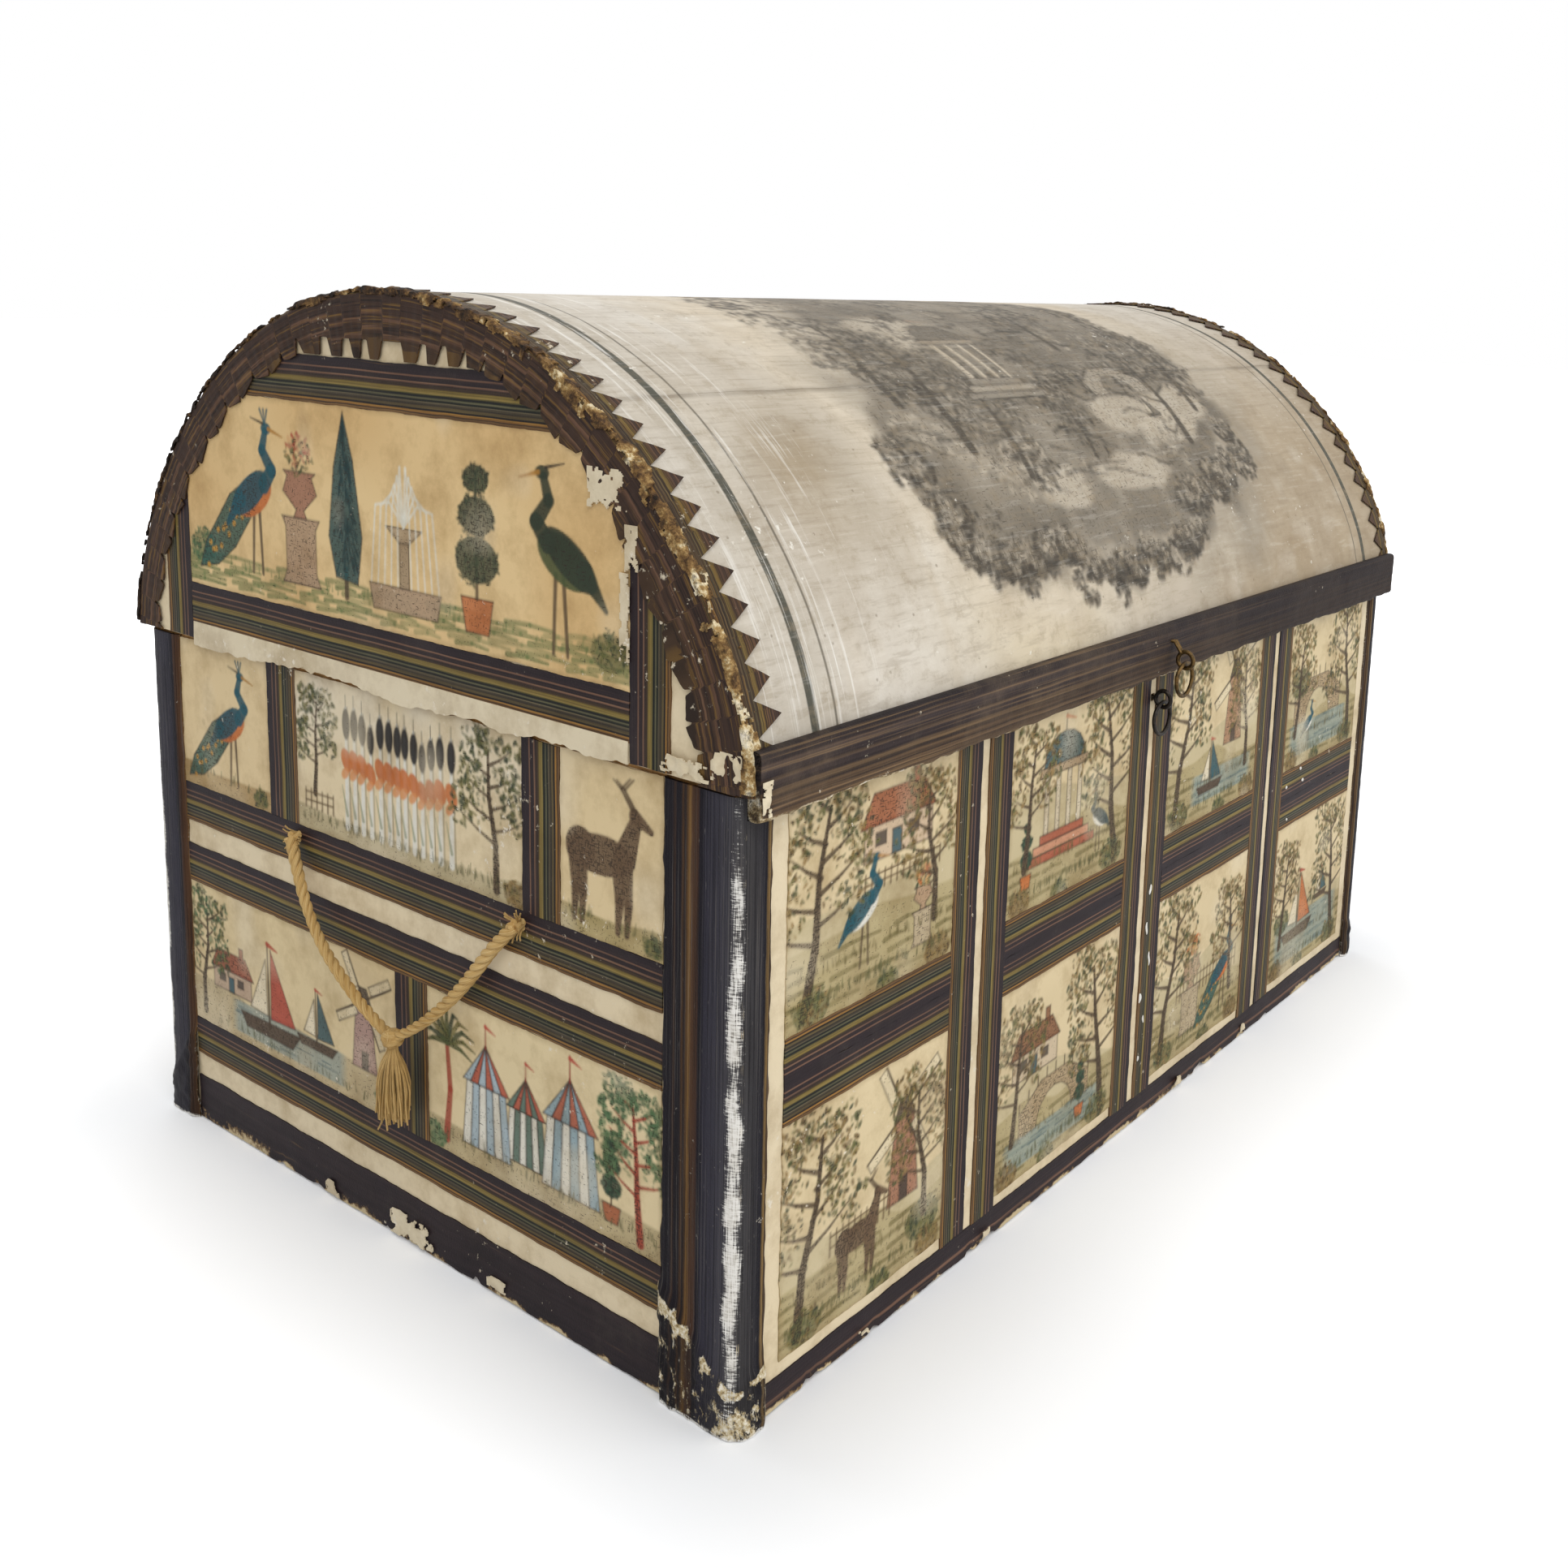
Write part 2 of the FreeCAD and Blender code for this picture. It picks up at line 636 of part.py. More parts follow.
def strand_route(side, points):
    """A strand's points from its hole to just inside the knot."""
    start = Vec(CORD_AXIS_X, side * CORD_HOLE_SPACING / 2, CORD_HOLE_HEIGHT)
    middle = [route_point(*point) for point in points]
    inward = (KNOT - middle[-1]).normalize()
    return [start] + middle + [KNOT - inward * (KNOT_R - STRAND_IN_KNOT)]


def rounded_path(points):
    """Straight runs joined by tangent arcs, each arc as large as its runs allow."""
    edges = []
    radii = []
    last = points[0]
    for before, corner, after in zip(points, points[1:], points[2:]):
        into = corner - before
        away = after - corner
        reach = ARC_SHARE * min(into.Length, away.Length)
        half_turn = into.getAngle(away) / 2
        radius = reach / math.tan(half_turn)
        radii.append(round(radius, 1))
        into.normalize()
        away.normalize()
        first = corner - into * reach
        final = corner + away * reach
        inward = (away - into).normalize()
        middle = corner + inward * (radius / math.cos(half_turn) - radius)
        edges.append(Part.LineSegment(last, first).toShape())
        edges.append(Part.Arc(first, middle, final).toShape())
        last = final
    edges.append(Part.LineSegment(last, points[-1]).toShape())
    return Part.Wire(edges), radii


def strand(name, side, points):
    """One strand of the handle, from the mouth of its hole into the knot."""
    route = strand_route(side, points)
    path, radii = rounded_path(route)
    away = (route[1] - route[0]).normalize()
    across = away.cross(X_AXIS).normalize()
    section = closed_wire(polygon_ring(route[0], across, away.cross(across), CORD_R, CORD_FLAT_COUNT))
    tube = path.makePipeShell([section], True, False)
    expected = Part.Face(section).Area * path.Length
    share = round(tube.Volume / expected, 4)
    print(name, "length", round(path.Length, 1), "radii", radii, "volume share", share)
    return tube


def handle_knot():
    """The round knot that joins the two strands."""
    bulge = KNOT_R * math.sqrt(0.5)
    rise = KNOT_HALF_HEIGHT * math.sqrt(0.5)
    rings = [
        (KNOT_NECK_R, -KNOT_HALF_HEIGHT),
        ((bulge + KNOT_R) / 2, -rise),
        (KNOT_R, 0),
        (bulge, rise),
        (KNOT_NECK_R, KNOT_HALF_HEIGHT),
    ]
    return flat_sided(rings, KNOT, Z_AXIS, KNOT_FLAT_COUNT)


def handle_tassel():
    """The tassel under the knot: a bound head, a tied waist and a skirt of threads."""
    rings = [
        (TASSEL_NECK_R, 0),
        (TASSEL_HEAD_R, TASSEL_HEAD_H / 2),
        (TASSEL_WAIST_R, TASSEL_HEAD_H),
        ((TASSEL_WAIST_R + TASSEL_SKIRT_R) / 2, TASSEL_HEAD_H + TASSEL_SKIRT_R - TASSEL_WAIST_R),
        (TASSEL_SKIRT_R, TASSEL_LENGTH),
    ]
    return flat_sided(rings, KNOT - Z_AXIS * KNOT_HALF_HEIGHT, -Z_AXIS, KNOT_FLAT_COUNT)


# Lid
def rim_pocket():
    """The space of the front rim band, for trimming the dome's lower edge."""
    reach = LID_HALF_L + CUT_MARGIN
    return box(-reach, reach, -RIM_OUTER - CUT_MARGIN, -RIM_INNER, LID_BOTTOM - CUT_MARGIN, RIM_TOP)


def hinge_pockets():
    """The shallow pockets that the lid leaves of the hinges are let into."""
    return [leaf_plate(side * HINGE_OFFSET, LID_BOTTOM, LID_BOTTOM + LEAF_T) for side in (-1, 1)]


def front_rim():
    """The band along the lid's front edge, which hangs below the seam as a lip."""
    low = SEAM_HEIGHT - RIM_LIP
    return box(-LID_HALF_L, LID_HALF_L, -RIM_OUTER, -RIM_INNER, low, RIM_TOP)


def rail(side):
    """A wooden strip inside the dome's lower edge, between the end boards."""
    outer = ARCH_HALF
    y0, y1 = sorted((side * RAIL_INNER, side * outer))
    block = box(-LID_INNER_L, LID_INNER_L, y0, y1, LID_BOTTOM, LID_BOTTOM + RAIL_HEIGHT)
    return block.common(arch_solid(-DOME_T, LID_BOTTOM, -LID_INNER_L, LID_INNER_L))


def rail_nails():
    """Nails through the lid's end boards into the ends of the rails."""
    nails = []
    y = RAIL_INNER + RAIL_DEPTH / 2
    for end in (-1, 1):
        for side in (-1, 1):
            head = Vec(end * LID_HALF_L, side * y, LID_BOTTOM + RAIL_HEIGHT / 2)
            nails.append(square_bar(head, Vec(-end, 0, 0), BRAD_T, BRAD_LENGTH))
    return nails


def lid_lining(rails):
    """Plain paper inside the dome and over the inner faces of its ends."""
    inner = DOME_T + LINING_T
    top_of_rail = LID_BOTTOM + RAIL_HEIGHT
    vault = arch_layer(-inner, -DOME_T, top_of_rail, -LID_INNER_L, LID_INNER_L)
    left = arch_solid(-inner, LID_BOTTOM, -LID_INNER_L, -LID_INNER_L + LINING_T).cut(Part.makeCompound(rails))
    return [vault, left, mirrored(left, X_AXIS)]


def lid_end_piece(u0, u1, z0, z1, thickness):
    """A flat piece of paper on the lid's left end, inside the edging."""
    x = -LID_HALF_L - GROUND_T
    sheet = box(x - thickness, x, u0, u1, z0, z1)
    inside_edging = arch_solid(-EDGING_END_W, LID_BOTTOM, x - thickness - CUT_MARGIN, x + CUT_MARGIN)
    return sheet.common(inside_edging)


def lid_end_papers():
    """The wide print and the striped bands of the lid's left end."""
    band_low = LID_BOTTOM + LID_CREAM
    print_low = band_low + LID_BAND
    print_high = print_low + LID_PRINT_HEIGHT
    front = -ARCH_HALF + LID_PRINT_FRONT_MARGIN
    back = ARCH_HALF - LID_PRINT_BACK_MARGIN
    picture = lid_end_piece(front, back, print_low, print_high, PRINT_T)
    places = [
        (front, back, band_low, print_low),
        (-ARCH_HALF, ARCH_HALF, print_high, print_high + LID_TOP_BAND),
        (front - LID_UPRIGHT, front, LID_BOTTOM, print_high),
        (back, back + LID_UPRIGHT, LID_BOTTOM, print_high),
    ]
    return picture, [lid_end_piece(*place, BAND_T) for place in places]


def along_arch(step, z_low):
    """Evenly spaced arc lengths from the crown down both sides to a height."""
    count = int(arch_length_to(z_low) / step)
    return [i * step for i in range(-count, count + 1)]


def arch_prism(arc, corners, depth):
    """A cutting prism set square on the arch: corners are along the arc and along X, cut inwards and out."""
    y, z, angle = arch_point(arc, 0)
    along = Vec(0, math.cos(angle), -math.sin(angle))
    outward = Vec(0, math.sin(angle), math.cos(angle))
    base = Vec(0, y, z) - outward * depth
    points = [base + along * u + X_AXIS * x for u, x in corners]
    return Part.Face(closed_wire(points)).extrude(outward * 2 * depth)


def bent_strip(inner, outer, x0, x1):
    """Stiff paper that follows the arch in flats, one to each tooth, between two offsets."""
    foot = arch_length_to(LID_BOTTOM)
    folds = [-foot] + along_arch(TOOTH_PITCH, LID_BOTTOM) + [foot]
    outside = [arch_point(arc, outer)[:2] for arc in folds]
    inside = [arch_point(arc, inner)[:2] for arc in reversed(folds)]
    corners = [Vec(x0, y, z) for y, z in outside + inside]
    return Part.Face(closed_wire(corners)).extrude(X_AXIS * (x1 - x0))


def snip(arc, x0, x1):
    """The wedge cut from the inner edge of the edging, between two tabs."""
    y, z, angle = arch_point(arc, -EDGING_END_W)
    along = Vec(0, math.cos(angle), -math.sin(angle))
    outward = Vec(0, math.sin(angle), math.cos(angle))
    foot = Vec(x0, y, z)
    low = foot - outward * CUT_MARGIN
    high = foot + outward * SNIP_DEPTH
    mouth = along * SNIP_MOUTH / 2
    root = along * SNIP_ROOT / 2
    return Part.Face(closed_wire([low - mouth, low + mouth, high + root, high - root])).extrude(X_AXIS * (x1 - x0))


def edging():
    """Folded paper edging of the left end: saw teeth over the dome, snipped tabs on the end."""
    fold_rise = TOOTH_PITCH ** 2 / (8 * min(SHOULDER_R, CROWN_R))
    inner = COVER_T + fold_rise
    outer = inner + EDGING_T
    end_x = -LID_HALF_L - GROUND_T
    tip_x = -LID_HALF_L + EDGING_DOME_W
    root_x = tip_x - TOOTH_DEPTH
    past_tip = tip_x + CUT_MARGIN
    half = TOOTH_PITCH / 2
    notch = [(-half, past_tip), (-half, tip_x), (0, root_x), (half, tip_x), (half, past_tip)]
    notches = [arch_prism(arc, notch, outer + CUT_MARGIN) for arc in along_arch(TOOTH_PITCH, RIM_TOP)]
    reach = ARCH_HALF + outer + CUT_MARGIN
    low = LID_BOTTOM - CUT_MARGIN
    front_trim = box(end_x, past_tip, -reach, 0, low, RIM_TOP)
    back_trim = box(end_x, past_tip, 0, reach, low, LID_BOTTOM + BACK_BAND_HEIGHT)
    over_dome = cut_all(bent_strip(inner, outer, end_x, tip_x), notches + [front_trim, back_trim])
    far_x = end_x - EDGING_T
    snips = [snip(arc, far_x - CUT_MARGIN, end_x + CUT_MARGIN) for arc in along_arch(SNIP_PITCH, RIM_TOP)]
    below = box(far_x - CUT_MARGIN, end_x + CUT_MARGIN, -reach, reach, LID_BOTTOM - EDGING_END_W, LID_BOTTOM)
    over_end = cut_all(bent_strip(2 * fold_rise - EDGING_END_W, outer, far_x, end_x), snips + [below])
    return over_end.fuse(over_dome)


def build_box(nodes):
    """All that stays with the box."""
    holes = cord_holes()
    corners = corner_nails()
    base = base_nails()
    staple_hole = shank_hole(BOX_STAPLE_Z)
    leaves = {"left": -HINGE_OFFSET, "right": HINGE_OFFSET}
    leaf_pins = [pin for x in leaves.values() for pin in leaf_nails(x, SEAM_HEIGHT, -1)]
    pockets = [leaf_plate(x, SEAM_HEIGHT - LEAF_T, SEAM_HEIGHT) for x in leaves.values()]

    front = box(-HALF_L, HALF_L, -HALF_D, -INNER_D, FOOT_HEIGHT, SEAM_HEIGHT)
    back = mirrored(front, Y_AXIS)
    left = box(-HALF_L, -INNER_L, -INNER_D, INNER_D, FOOT_HEIGHT, SEAM_HEIGHT)
    right = mirrored(left, X_AXIS)
    floor = box(-INNER_L, INNER_L, -INNER_D, INNER_D, 0, BASE_T)
    nodes["front_board"] = cut_all(front, corners + base + [staple_hole])
    nodes["back_board"] = cut_all(back, corners + base + pockets + leaf_pins)
    nodes["left_end_board"] = cut_all(left, corners + base + holes)
    nodes["right_end_board"] = cut_all(right, corners + base)
    nodes["base_board"] = cut_all(floor, base)
    nodes["corner_nails"] = corners
    nodes["base_nails"] = base

    front_wrap = corner_wrap(FRONT_WRAP_END_LEG, FRONT_WRAP_FACE_LEG)
    back_wrap = mirrored(corner_wrap(BACK_WRAP_END_LEG, BACK_WRAP_FACE_LEG), Y_AXIS)
    nodes["corner_wrap_front_left"] = front_wrap
    nodes["corner_wrap_front_right"] = mirrored(front_wrap, X_AXIS)
    nodes["corner_wrap_back_left"] = back_wrap
    nodes["corner_wrap_back_right"] = mirrored(back_wrap, X_AXIS)

    faces = {
        "front": (HALF_L, long_layout(FRONT_WRAP_FACE_LEG), [staple_hole]),
        "back": (HALF_L, long_layout(BACK_WRAP_FACE_LEG), []),
        "left": (HALF_D, end_layout(), holes),
        "right": (HALF_D, end_layout(), []),
    }
    for face, (reach, layout, tools) in faces.items():
        ground = on_face(face, -reach, reach, FOOT_HEIGHT, PAPER_TOP, 0, GROUND_T)
        sheets, strips = face_papers(face, layout)
        if tools:
            ground = cut_all(ground, tools)
            strips = [cut_all(strip, tools) for strip in strips]
            sheets = [cut_all(sheet, tools) for sheet in sheets]
        nodes["box_" + face + "_paper"] = ground
        nodes["box_" + face + "_prints"] = sheets
        nodes["box_" + face + "_bands"] = strips
    nodes["base_edge_bands"] = base_edge_bands()
    nodes["box_lining"] = [cut_all(sheet, holes + [staple_hole]) for sheet in box_lining()]

    nodes["box_staple"] = box_staple()
    nodes["cord_stops"] = [cord_stop(-1), cord_stop(1)]
    for side, x in leaves.items():
        nodes["box_hinge_leaf_" + side] = cut_all(hinge_leaf(x, True), leaf_pins)
    nodes["hinge_pins"] = [hinge_pin(x) for x in leaves.values()]
    nodes["box_hinge_nails"] = leaf_pins


def build_lid(nodes):
    """All that opens with the lid."""
    pocket = rim_pocket()
    hinge_cuts = hinge_pockets()
    leaves = {"left": -HINGE_OFFSET, "right": HINGE_OFFSET}
    leaf_pins = [pin for x in leaves.values() for pin in leaf_nails(x, LID_BOTTOM, 1)]
    nails = rail_nails()
    staple_hole = shank_hole(LID_STAPLE_Z)

    end = arch_solid(-DOME_T, LID_BOTTOM, -LID_HALF_L, -LID_INNER_L)
    nodes["lid_left_end"] = cut_all(end, nails)
    nodes["lid_right_end"] = cut_all(mirrored(end, X_AXIS), nails)
    shell = arch_layer(-DOME_T, 0, LID_BOTTOM, -LID_HALF_L, LID_HALF_L)
    nodes["dome_shell"] = cut_all(shell, [pocket, staple_hole] + hinge_cuts)
    cover = arch_layer(0, COVER_T, LID_BOTTOM, -LID_HALF_L, LID_HALF_L)
    nodes["dome_cover_paper"] = cut_all(cover, [pocket, staple_hole] + hinge_cuts)
    rails = [rail(-1), rail(1)]
    nodes["lid_front_rail"] = cut_all(rails[0], nails + [staple_hole])
    nodes["lid_back_rail"] = cut_all(rails[1], nails + hinge_cuts + leaf_pins)
    nodes["rail_nails"] = nails
    nodes["front_rim_band"] = front_rim().cut(staple_hole)
    band = arch_layer(COVER_T, COVER_T + BAND_T, LID_BOTTOM, -LID_HALF_L, LID_HALF_L)
    reach = ARCH_HALF + COVER_T + BAND_T + CUT_MARGIN
    back_strip = box(-LID_HALF_L, LID_HALF_L, 0, reach, LID_BOTTOM, LID_BOTTOM + BACK_BAND_HEIGHT)
    nodes["lid_back_band"] = cut_all(band.common(back_strip), hinge_cuts)

    ground = arch_solid(0, LID_BOTTOM, -LID_HALF_L - GROUND_T, -LID_HALF_L)
    picture, bands = lid_end_papers()
    folded = edging()
    for name, side in (("left", 1), ("right", -1)):
        for label, piece in (("paper", ground), ("print", picture), ("edging", folded)):
            nodes["lid_" + name + "_" + label] = piece if side > 0 else mirrored(piece, X_AXIS)
        nodes["lid_" + name + "_bands"] = bands if side > 0 else [mirrored(strip, X_AXIS) for strip in bands]
    nodes["lid_lining"] = lid_lining(rails)

    nodes["lid_staple"] = lid_staple()
    for side, x in leaves.items():
        nodes["lid_hinge_leaf_" + side] = cut_all(hinge_leaf(x, False), leaf_pins)
    nodes["lid_hinge_nails"] = leaf_pins


def build_loose(nodes):
    """The two rings and the cord handle, each free to swing."""
    nodes["box_ring"] = ring(BOX_EYE)
    nodes["lid_ring"] = ring(LID_EYE)
    nodes["handle_knot"] = handle_knot()
    nodes["handle_tassel"] = handle_tassel()
    nodes["handle_cord_back"] = strand("back strand", 1, BACK_STRAND)
    nodes["handle_cord_front"] = strand("front strand", -1, FRONT_STRAND)


def main():
    nodes = {}
    build_box(nodes)
    build_lid(nodes)
    build_loose(nodes)
    os.makedirs("parts", exist_ok=True)
    for name, shape in nodes.items():
        solid = Part.makeCompound(shape) if isinstance(shape, list) else shape
        solid.exportStep("parts/" + name + ".step")
    print("nodes", len(nodes))
    axes = {
        "hinge": Vec(0, HINGE_Y, HINGE_Z),
        "box ring": BOX_EYE - Z_AXIS * RING_DROP,
        "lid ring": LID_EYE - Z_AXIS * RING_DROP,
        "handle": Vec(CORD_AXIS_X, 0, CORD_HOLE_HEIGHT),
    }
    for label, point in axes.items():
        print("axis of", label, [round(value, 3) for value in point])


main()
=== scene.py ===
# %% [markdown]
# # Dome top trunk
# A small wooden box with a domed lid. Papers cover all of it: cream ground papers, coloured prints,
# striped bands, dark wraps at the corners and a saw-tooth edging folded over both arches.
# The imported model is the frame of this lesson. It gives every place in metres, so each new piece
# goes where its solid is, and only the looks are new.

import math

import bpy
import numpy as np
from mathutils import Matrix, Vector


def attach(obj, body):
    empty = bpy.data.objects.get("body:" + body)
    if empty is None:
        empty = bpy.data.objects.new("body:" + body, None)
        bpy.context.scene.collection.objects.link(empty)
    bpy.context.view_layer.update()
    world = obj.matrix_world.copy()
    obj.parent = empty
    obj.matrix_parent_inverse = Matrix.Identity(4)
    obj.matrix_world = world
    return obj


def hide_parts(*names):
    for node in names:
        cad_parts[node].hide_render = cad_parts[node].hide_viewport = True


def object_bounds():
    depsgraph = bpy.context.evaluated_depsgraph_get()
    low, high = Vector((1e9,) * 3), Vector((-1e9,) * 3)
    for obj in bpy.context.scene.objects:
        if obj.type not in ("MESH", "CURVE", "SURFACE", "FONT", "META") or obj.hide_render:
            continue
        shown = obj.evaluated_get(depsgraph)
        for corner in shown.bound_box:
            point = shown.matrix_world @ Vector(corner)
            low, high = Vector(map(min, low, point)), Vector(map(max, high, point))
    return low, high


MM = 0.001


def deselect():
    bpy.ops.object.select_all(action="DESELECT")


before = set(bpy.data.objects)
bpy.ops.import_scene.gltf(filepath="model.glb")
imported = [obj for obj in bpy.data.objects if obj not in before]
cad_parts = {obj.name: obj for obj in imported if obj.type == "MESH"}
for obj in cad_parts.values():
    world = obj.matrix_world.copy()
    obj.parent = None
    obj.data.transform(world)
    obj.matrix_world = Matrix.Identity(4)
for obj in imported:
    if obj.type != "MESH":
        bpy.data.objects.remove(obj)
cad_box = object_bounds()
print("nodes", len(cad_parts), "box of the model", cad_box)

# %% [markdown]
# ## Camera
# The camera stands where the photograph was taken: to the left of the front, a little above the
# lid. A longer lens from further back would flatten the box, so the distance is kept and the
# picture is framed with the lens shift, as a view camera does.

# %% Camera
FRAME_PIXELS = 1932
FOCAL_PIXELS = 1979.7
AXIS_PIXEL = (1128.4, 695.8)
CAMERA_PLACE = (-469.14, -376.99, 289.61)
AZIMUTH = math.radians(-53.672)
ELEVATION = math.radians(9.964)
ROLL = math.radians(1.949)
SENSOR = 36.0

away = Vector((
    math.sin(AZIMUTH) * math.cos(ELEVATION),
    -math.cos(AZIMUTH) * math.cos(ELEVATION),
    math.sin(ELEVATION),
))
level = Vector((math.cos(AZIMUTH), math.sin(AZIMUTH), 0.0))
upright = away.cross(level)
picture_right = level * math.cos(ROLL) + upright * math.sin(ROLL)
picture_up = upright * math.cos(ROLL) - level * math.sin(ROLL)
turned = Matrix((picture_right, picture_up, away)).transposed().to_4x4()
deselect()
bpy.ops.object.camera_add()
camera = bpy.context.active_object
camera.name = "photo_camera"
camera.matrix_world = Matrix.Translation(Vector(CAMERA_PLACE) * MM) @ turned
camera.data.sensor_width = SENSOR
camera.data.lens = FOCAL_PIXELS * SENSOR / FRAME_PIXELS
camera.data.shift_x = 0.5 - AXIS_PIXEL[0] / FRAME_PIXELS
camera.data.shift_y = AXIS_PIXEL[1] / FRAME_PIXELS - 0.5
camera.data.clip_start = 0.01
bpy.context.scene.camera = camera
bpy.context.scene.view_settings.view_transform = "Standard"
print("lens", round(camera.data.lens, 2), "shift", camera.data.shift_x, camera.data.shift_y)

# %% [markdown]
# ## Tools for materials
# Every finish here is built from nodes. A few small helpers make a node, set or link its sockets
# and return the output that the next node needs, so that a material reads like a recipe. They work
# on the tree that was opened last, which lies on the bench.
# Colours are written as they look on a screen and turned to linear values once.

# %% Node helpers
class Bench:
    """The node tree that the helpers work on, with its material and the shader's inputs."""

    tree = None
    material = None
    shader = None


def paint(code):
    """A screen colour such as 8a6a36 as a linear colour with full alpha."""
    parts = [int(code[i:i + 2], 16) / 255 for i in (0, 2, 4)]
    linear = [p / 12.92 if p <= 0.04045 else ((p + 0.055) / 1.055) ** 2.4 for p in parts]
    return (*linear, 1.0)


def set_socket(socket, value):
    if isinstance(value, bpy.types.NodeSocket):
        Bench.tree.links.new(value, socket)
    else:
        socket.default_value = value


def node(kind, **inputs):
    made = Bench.tree.nodes.new("ShaderNode" + kind)
    for name, value in inputs.items():
        set_socket(made.inputs[name.replace("_", " ")], value)
    return made


def maths(operation, first, second=0.0):
    made = node("Math")
    made.operation = operation
    set_socket(made.inputs[0], first)
    set_socket(made.inputs[1], second)
    return made.outputs[0]


def plus(first, second):
    return maths("ADD", first, second)


def times(first, second):
    return maths("MULTIPLY", first, second)


def scaled(value, factor, add=0.0):
    return plus(times(value, factor), add)


def flipped(value):
    return maths("SUBTRACT", 1.0, value)


def mix(factor, first, second, blend="MIX"):
    made = node("Mix")
    made.data_type = "RGBA"
    made.blend_type = blend
    set_socket(made.inputs[0], factor)
    set_socket(made.inputs[6], first)
    set_socket(made.inputs[7], paint(second) if isinstance(second, str) else second)
    return made.outputs[2]


def ramp(factor, stops):
    made = node("ValToRGB", Fac=factor)
    elements = made.color_ramp.elements
    elements.remove(elements[1])
    elements[0].position = stops[0][0]
    elements[0].color = paint(stops[0][1])
    for position, code in stops[1:]:
        elements.new(position).color = paint(code)
    return made.outputs[0]


def above(value, low, high):
    """0 below low, 1 above high, smooth between."""
    made = node("MapRange", Value=value, From_Min=low, From_Max=high)
    made.interpolation_type = "SMOOTHSTEP"
    return made.outputs[0]


def tint(colour, code, strength, value, low, high):
    """Lays a colour over another where a value rises from low to high, or falls if low is more."""
    mask = above(value, low, high) if low < high else flipped(above(value, high, low))
    return mix(scaled(mask, strength), colour, code)


def noise(place, scale, detail=3.0, roughness=0.55):
    return node("TexNoise", Vector=place, Scale=scale, Detail=detail, Roughness=roughness).outputs[0]


def streaks(place, across, along, detail=3.0, roughness=0.55, turn=0.0):
    """Noise on a place that is scaled by two factors, so that it runs in streaks."""
    drawn_out = node("Mapping", Vector=place, Scale=(across, along, 1.0), Rotation=(0.0, 0.0, turn))
    return noise(drawn_out.outputs[0], 1.0, detail, roughness)


def sheet_map():
    return node("UVMap").outputs[0]


def axes(place):
    return node("SeparateXYZ", Vector=place).outputs


def attribute(name):
    made = node("Attribute")
    made.attribute_name = name
    return made.outputs


def new_group(name, inputs, outputs):
    """Opens a node group whose sockets are given as labels and kinds."""
    Bench.tree = bpy.data.node_groups.new(name, "ShaderNodeTree")
    for direction, sockets in (("INPUT", inputs), ("OUTPUT", outputs)):
        for label, kind in sockets.items():
            Bench.tree.interface.new_socket(name=label, in_out=direction, socket_type="NodeSocket" + kind)
    start = Bench.tree.nodes.new("NodeGroupInput")
    end = Bench.tree.nodes.new("NodeGroupOutput")
    return Bench.tree, start.outputs, end.inputs


def use(group, **inputs):
    made = node("Group")
    made.node_tree = group
    for name, value in inputs.items():
        set_socket(made.inputs[name], value)
    return made.outputs


def new_material(name, roughness, specular):
    """Opens a material and returns its Object coordinates."""
    Bench.material = bpy.data.materials.new(name)
    Bench.material.use_nodes = True
    Bench.tree = Bench.material.node_tree
    Bench.shader = Bench.tree.nodes["Principled BSDF"].inputs
    Bench.shader["Roughness"].default_value = roughness
    Bench.shader["Specular IOR Level"].default_value = specular
    return node("TexCoord").outputs["Object"]


def dress(colour, height, distance, strength=0.6):
    """Links a colour and a bump to the shader and returns the finished material."""
    bump = node("Bump", Height=height, Strength=strength, Distance=distance)
    set_socket(Bench.shader["Base Color"], colour)
    set_socket(Bench.shader["Normal"], bump.outputs[0])
    return Bench.material


print("node helpers ready")

# %% [markdown]
# ## Shared effects
# The same few effects of age are on all the papers: the tooth of the sheet, brown stains, white
# scuffs where the surface is rubbed off, the fine strokes of the engraving and the stripes of the
# paper bands. Each is a node group that puts out a mask, a tone or a colour, so that every paper
# uses it with its own strength.

# %% Paper tooth, stains and scuffs
AGED_PLACE = {"Place": "Vector", "Amount": "Float"}
tooth_group, got, give = new_group("Paper tooth", {"Place": "Vector"}, {"Tone": "Float", "Height": "Float"})
set_socket(give["Tone"], noise(got["Place"], 55.0, 7.0, 0.68))
cockle = scaled(noise(got["Place"], 70.0, 2.0), 1.6)
set_socket(give["Height"], plus(noise(got["Place"], 1500.0, 3.0, 0.6), cockle))

stain_group, got, give = new_group("Age stains", AGED_PLACE, {"Mask": "Float"})
cloud = noise(got["Place"], 17.0, 8.0, 0.68)
reach = scaled(got["Amount"], -0.3, 0.72)
spread = node("MapRange", Value=cloud, From_Min=reach, From_Max=plus(reach, 0.22))
dots = node("TexVoronoi", Vector=got["Place"], Scale=95.0).outputs["Distance"]
freckle = times(flipped(above(dots, 0.03, 0.16)), above(cloud, 0.5, 0.62))
set_socket(give["Mask"], maths("MAXIMUM", spread.outputs[0], scaled(freckle, 0.5)))

scuff_group, got, give = new_group("White scuffs", AGED_PLACE, {"Mask": "Float"})
flake = noise(got["Place"], 330.0, 6.0, 0.7)
bias = scaled(noise(got["Place"], 23.0, 3.0), 0.5, -0.25)
bias = plus(bias, scaled(got["Amount"], 0.25))
set_socket(give["Mask"], above(plus(flake, bias), 0.71, 0.79))
print("groups", [g.name for g in bpy.data.node_groups])

# %% [markdown]
# Even lines would look like a printing screen, so the engraving is two sets of short strokes that
# cross, and more ink lets more of them through. The stripes are one ramp: a wide dark edge, thin
# brown lines, an ochre band and a set of fine green and gold lines at the other edge.

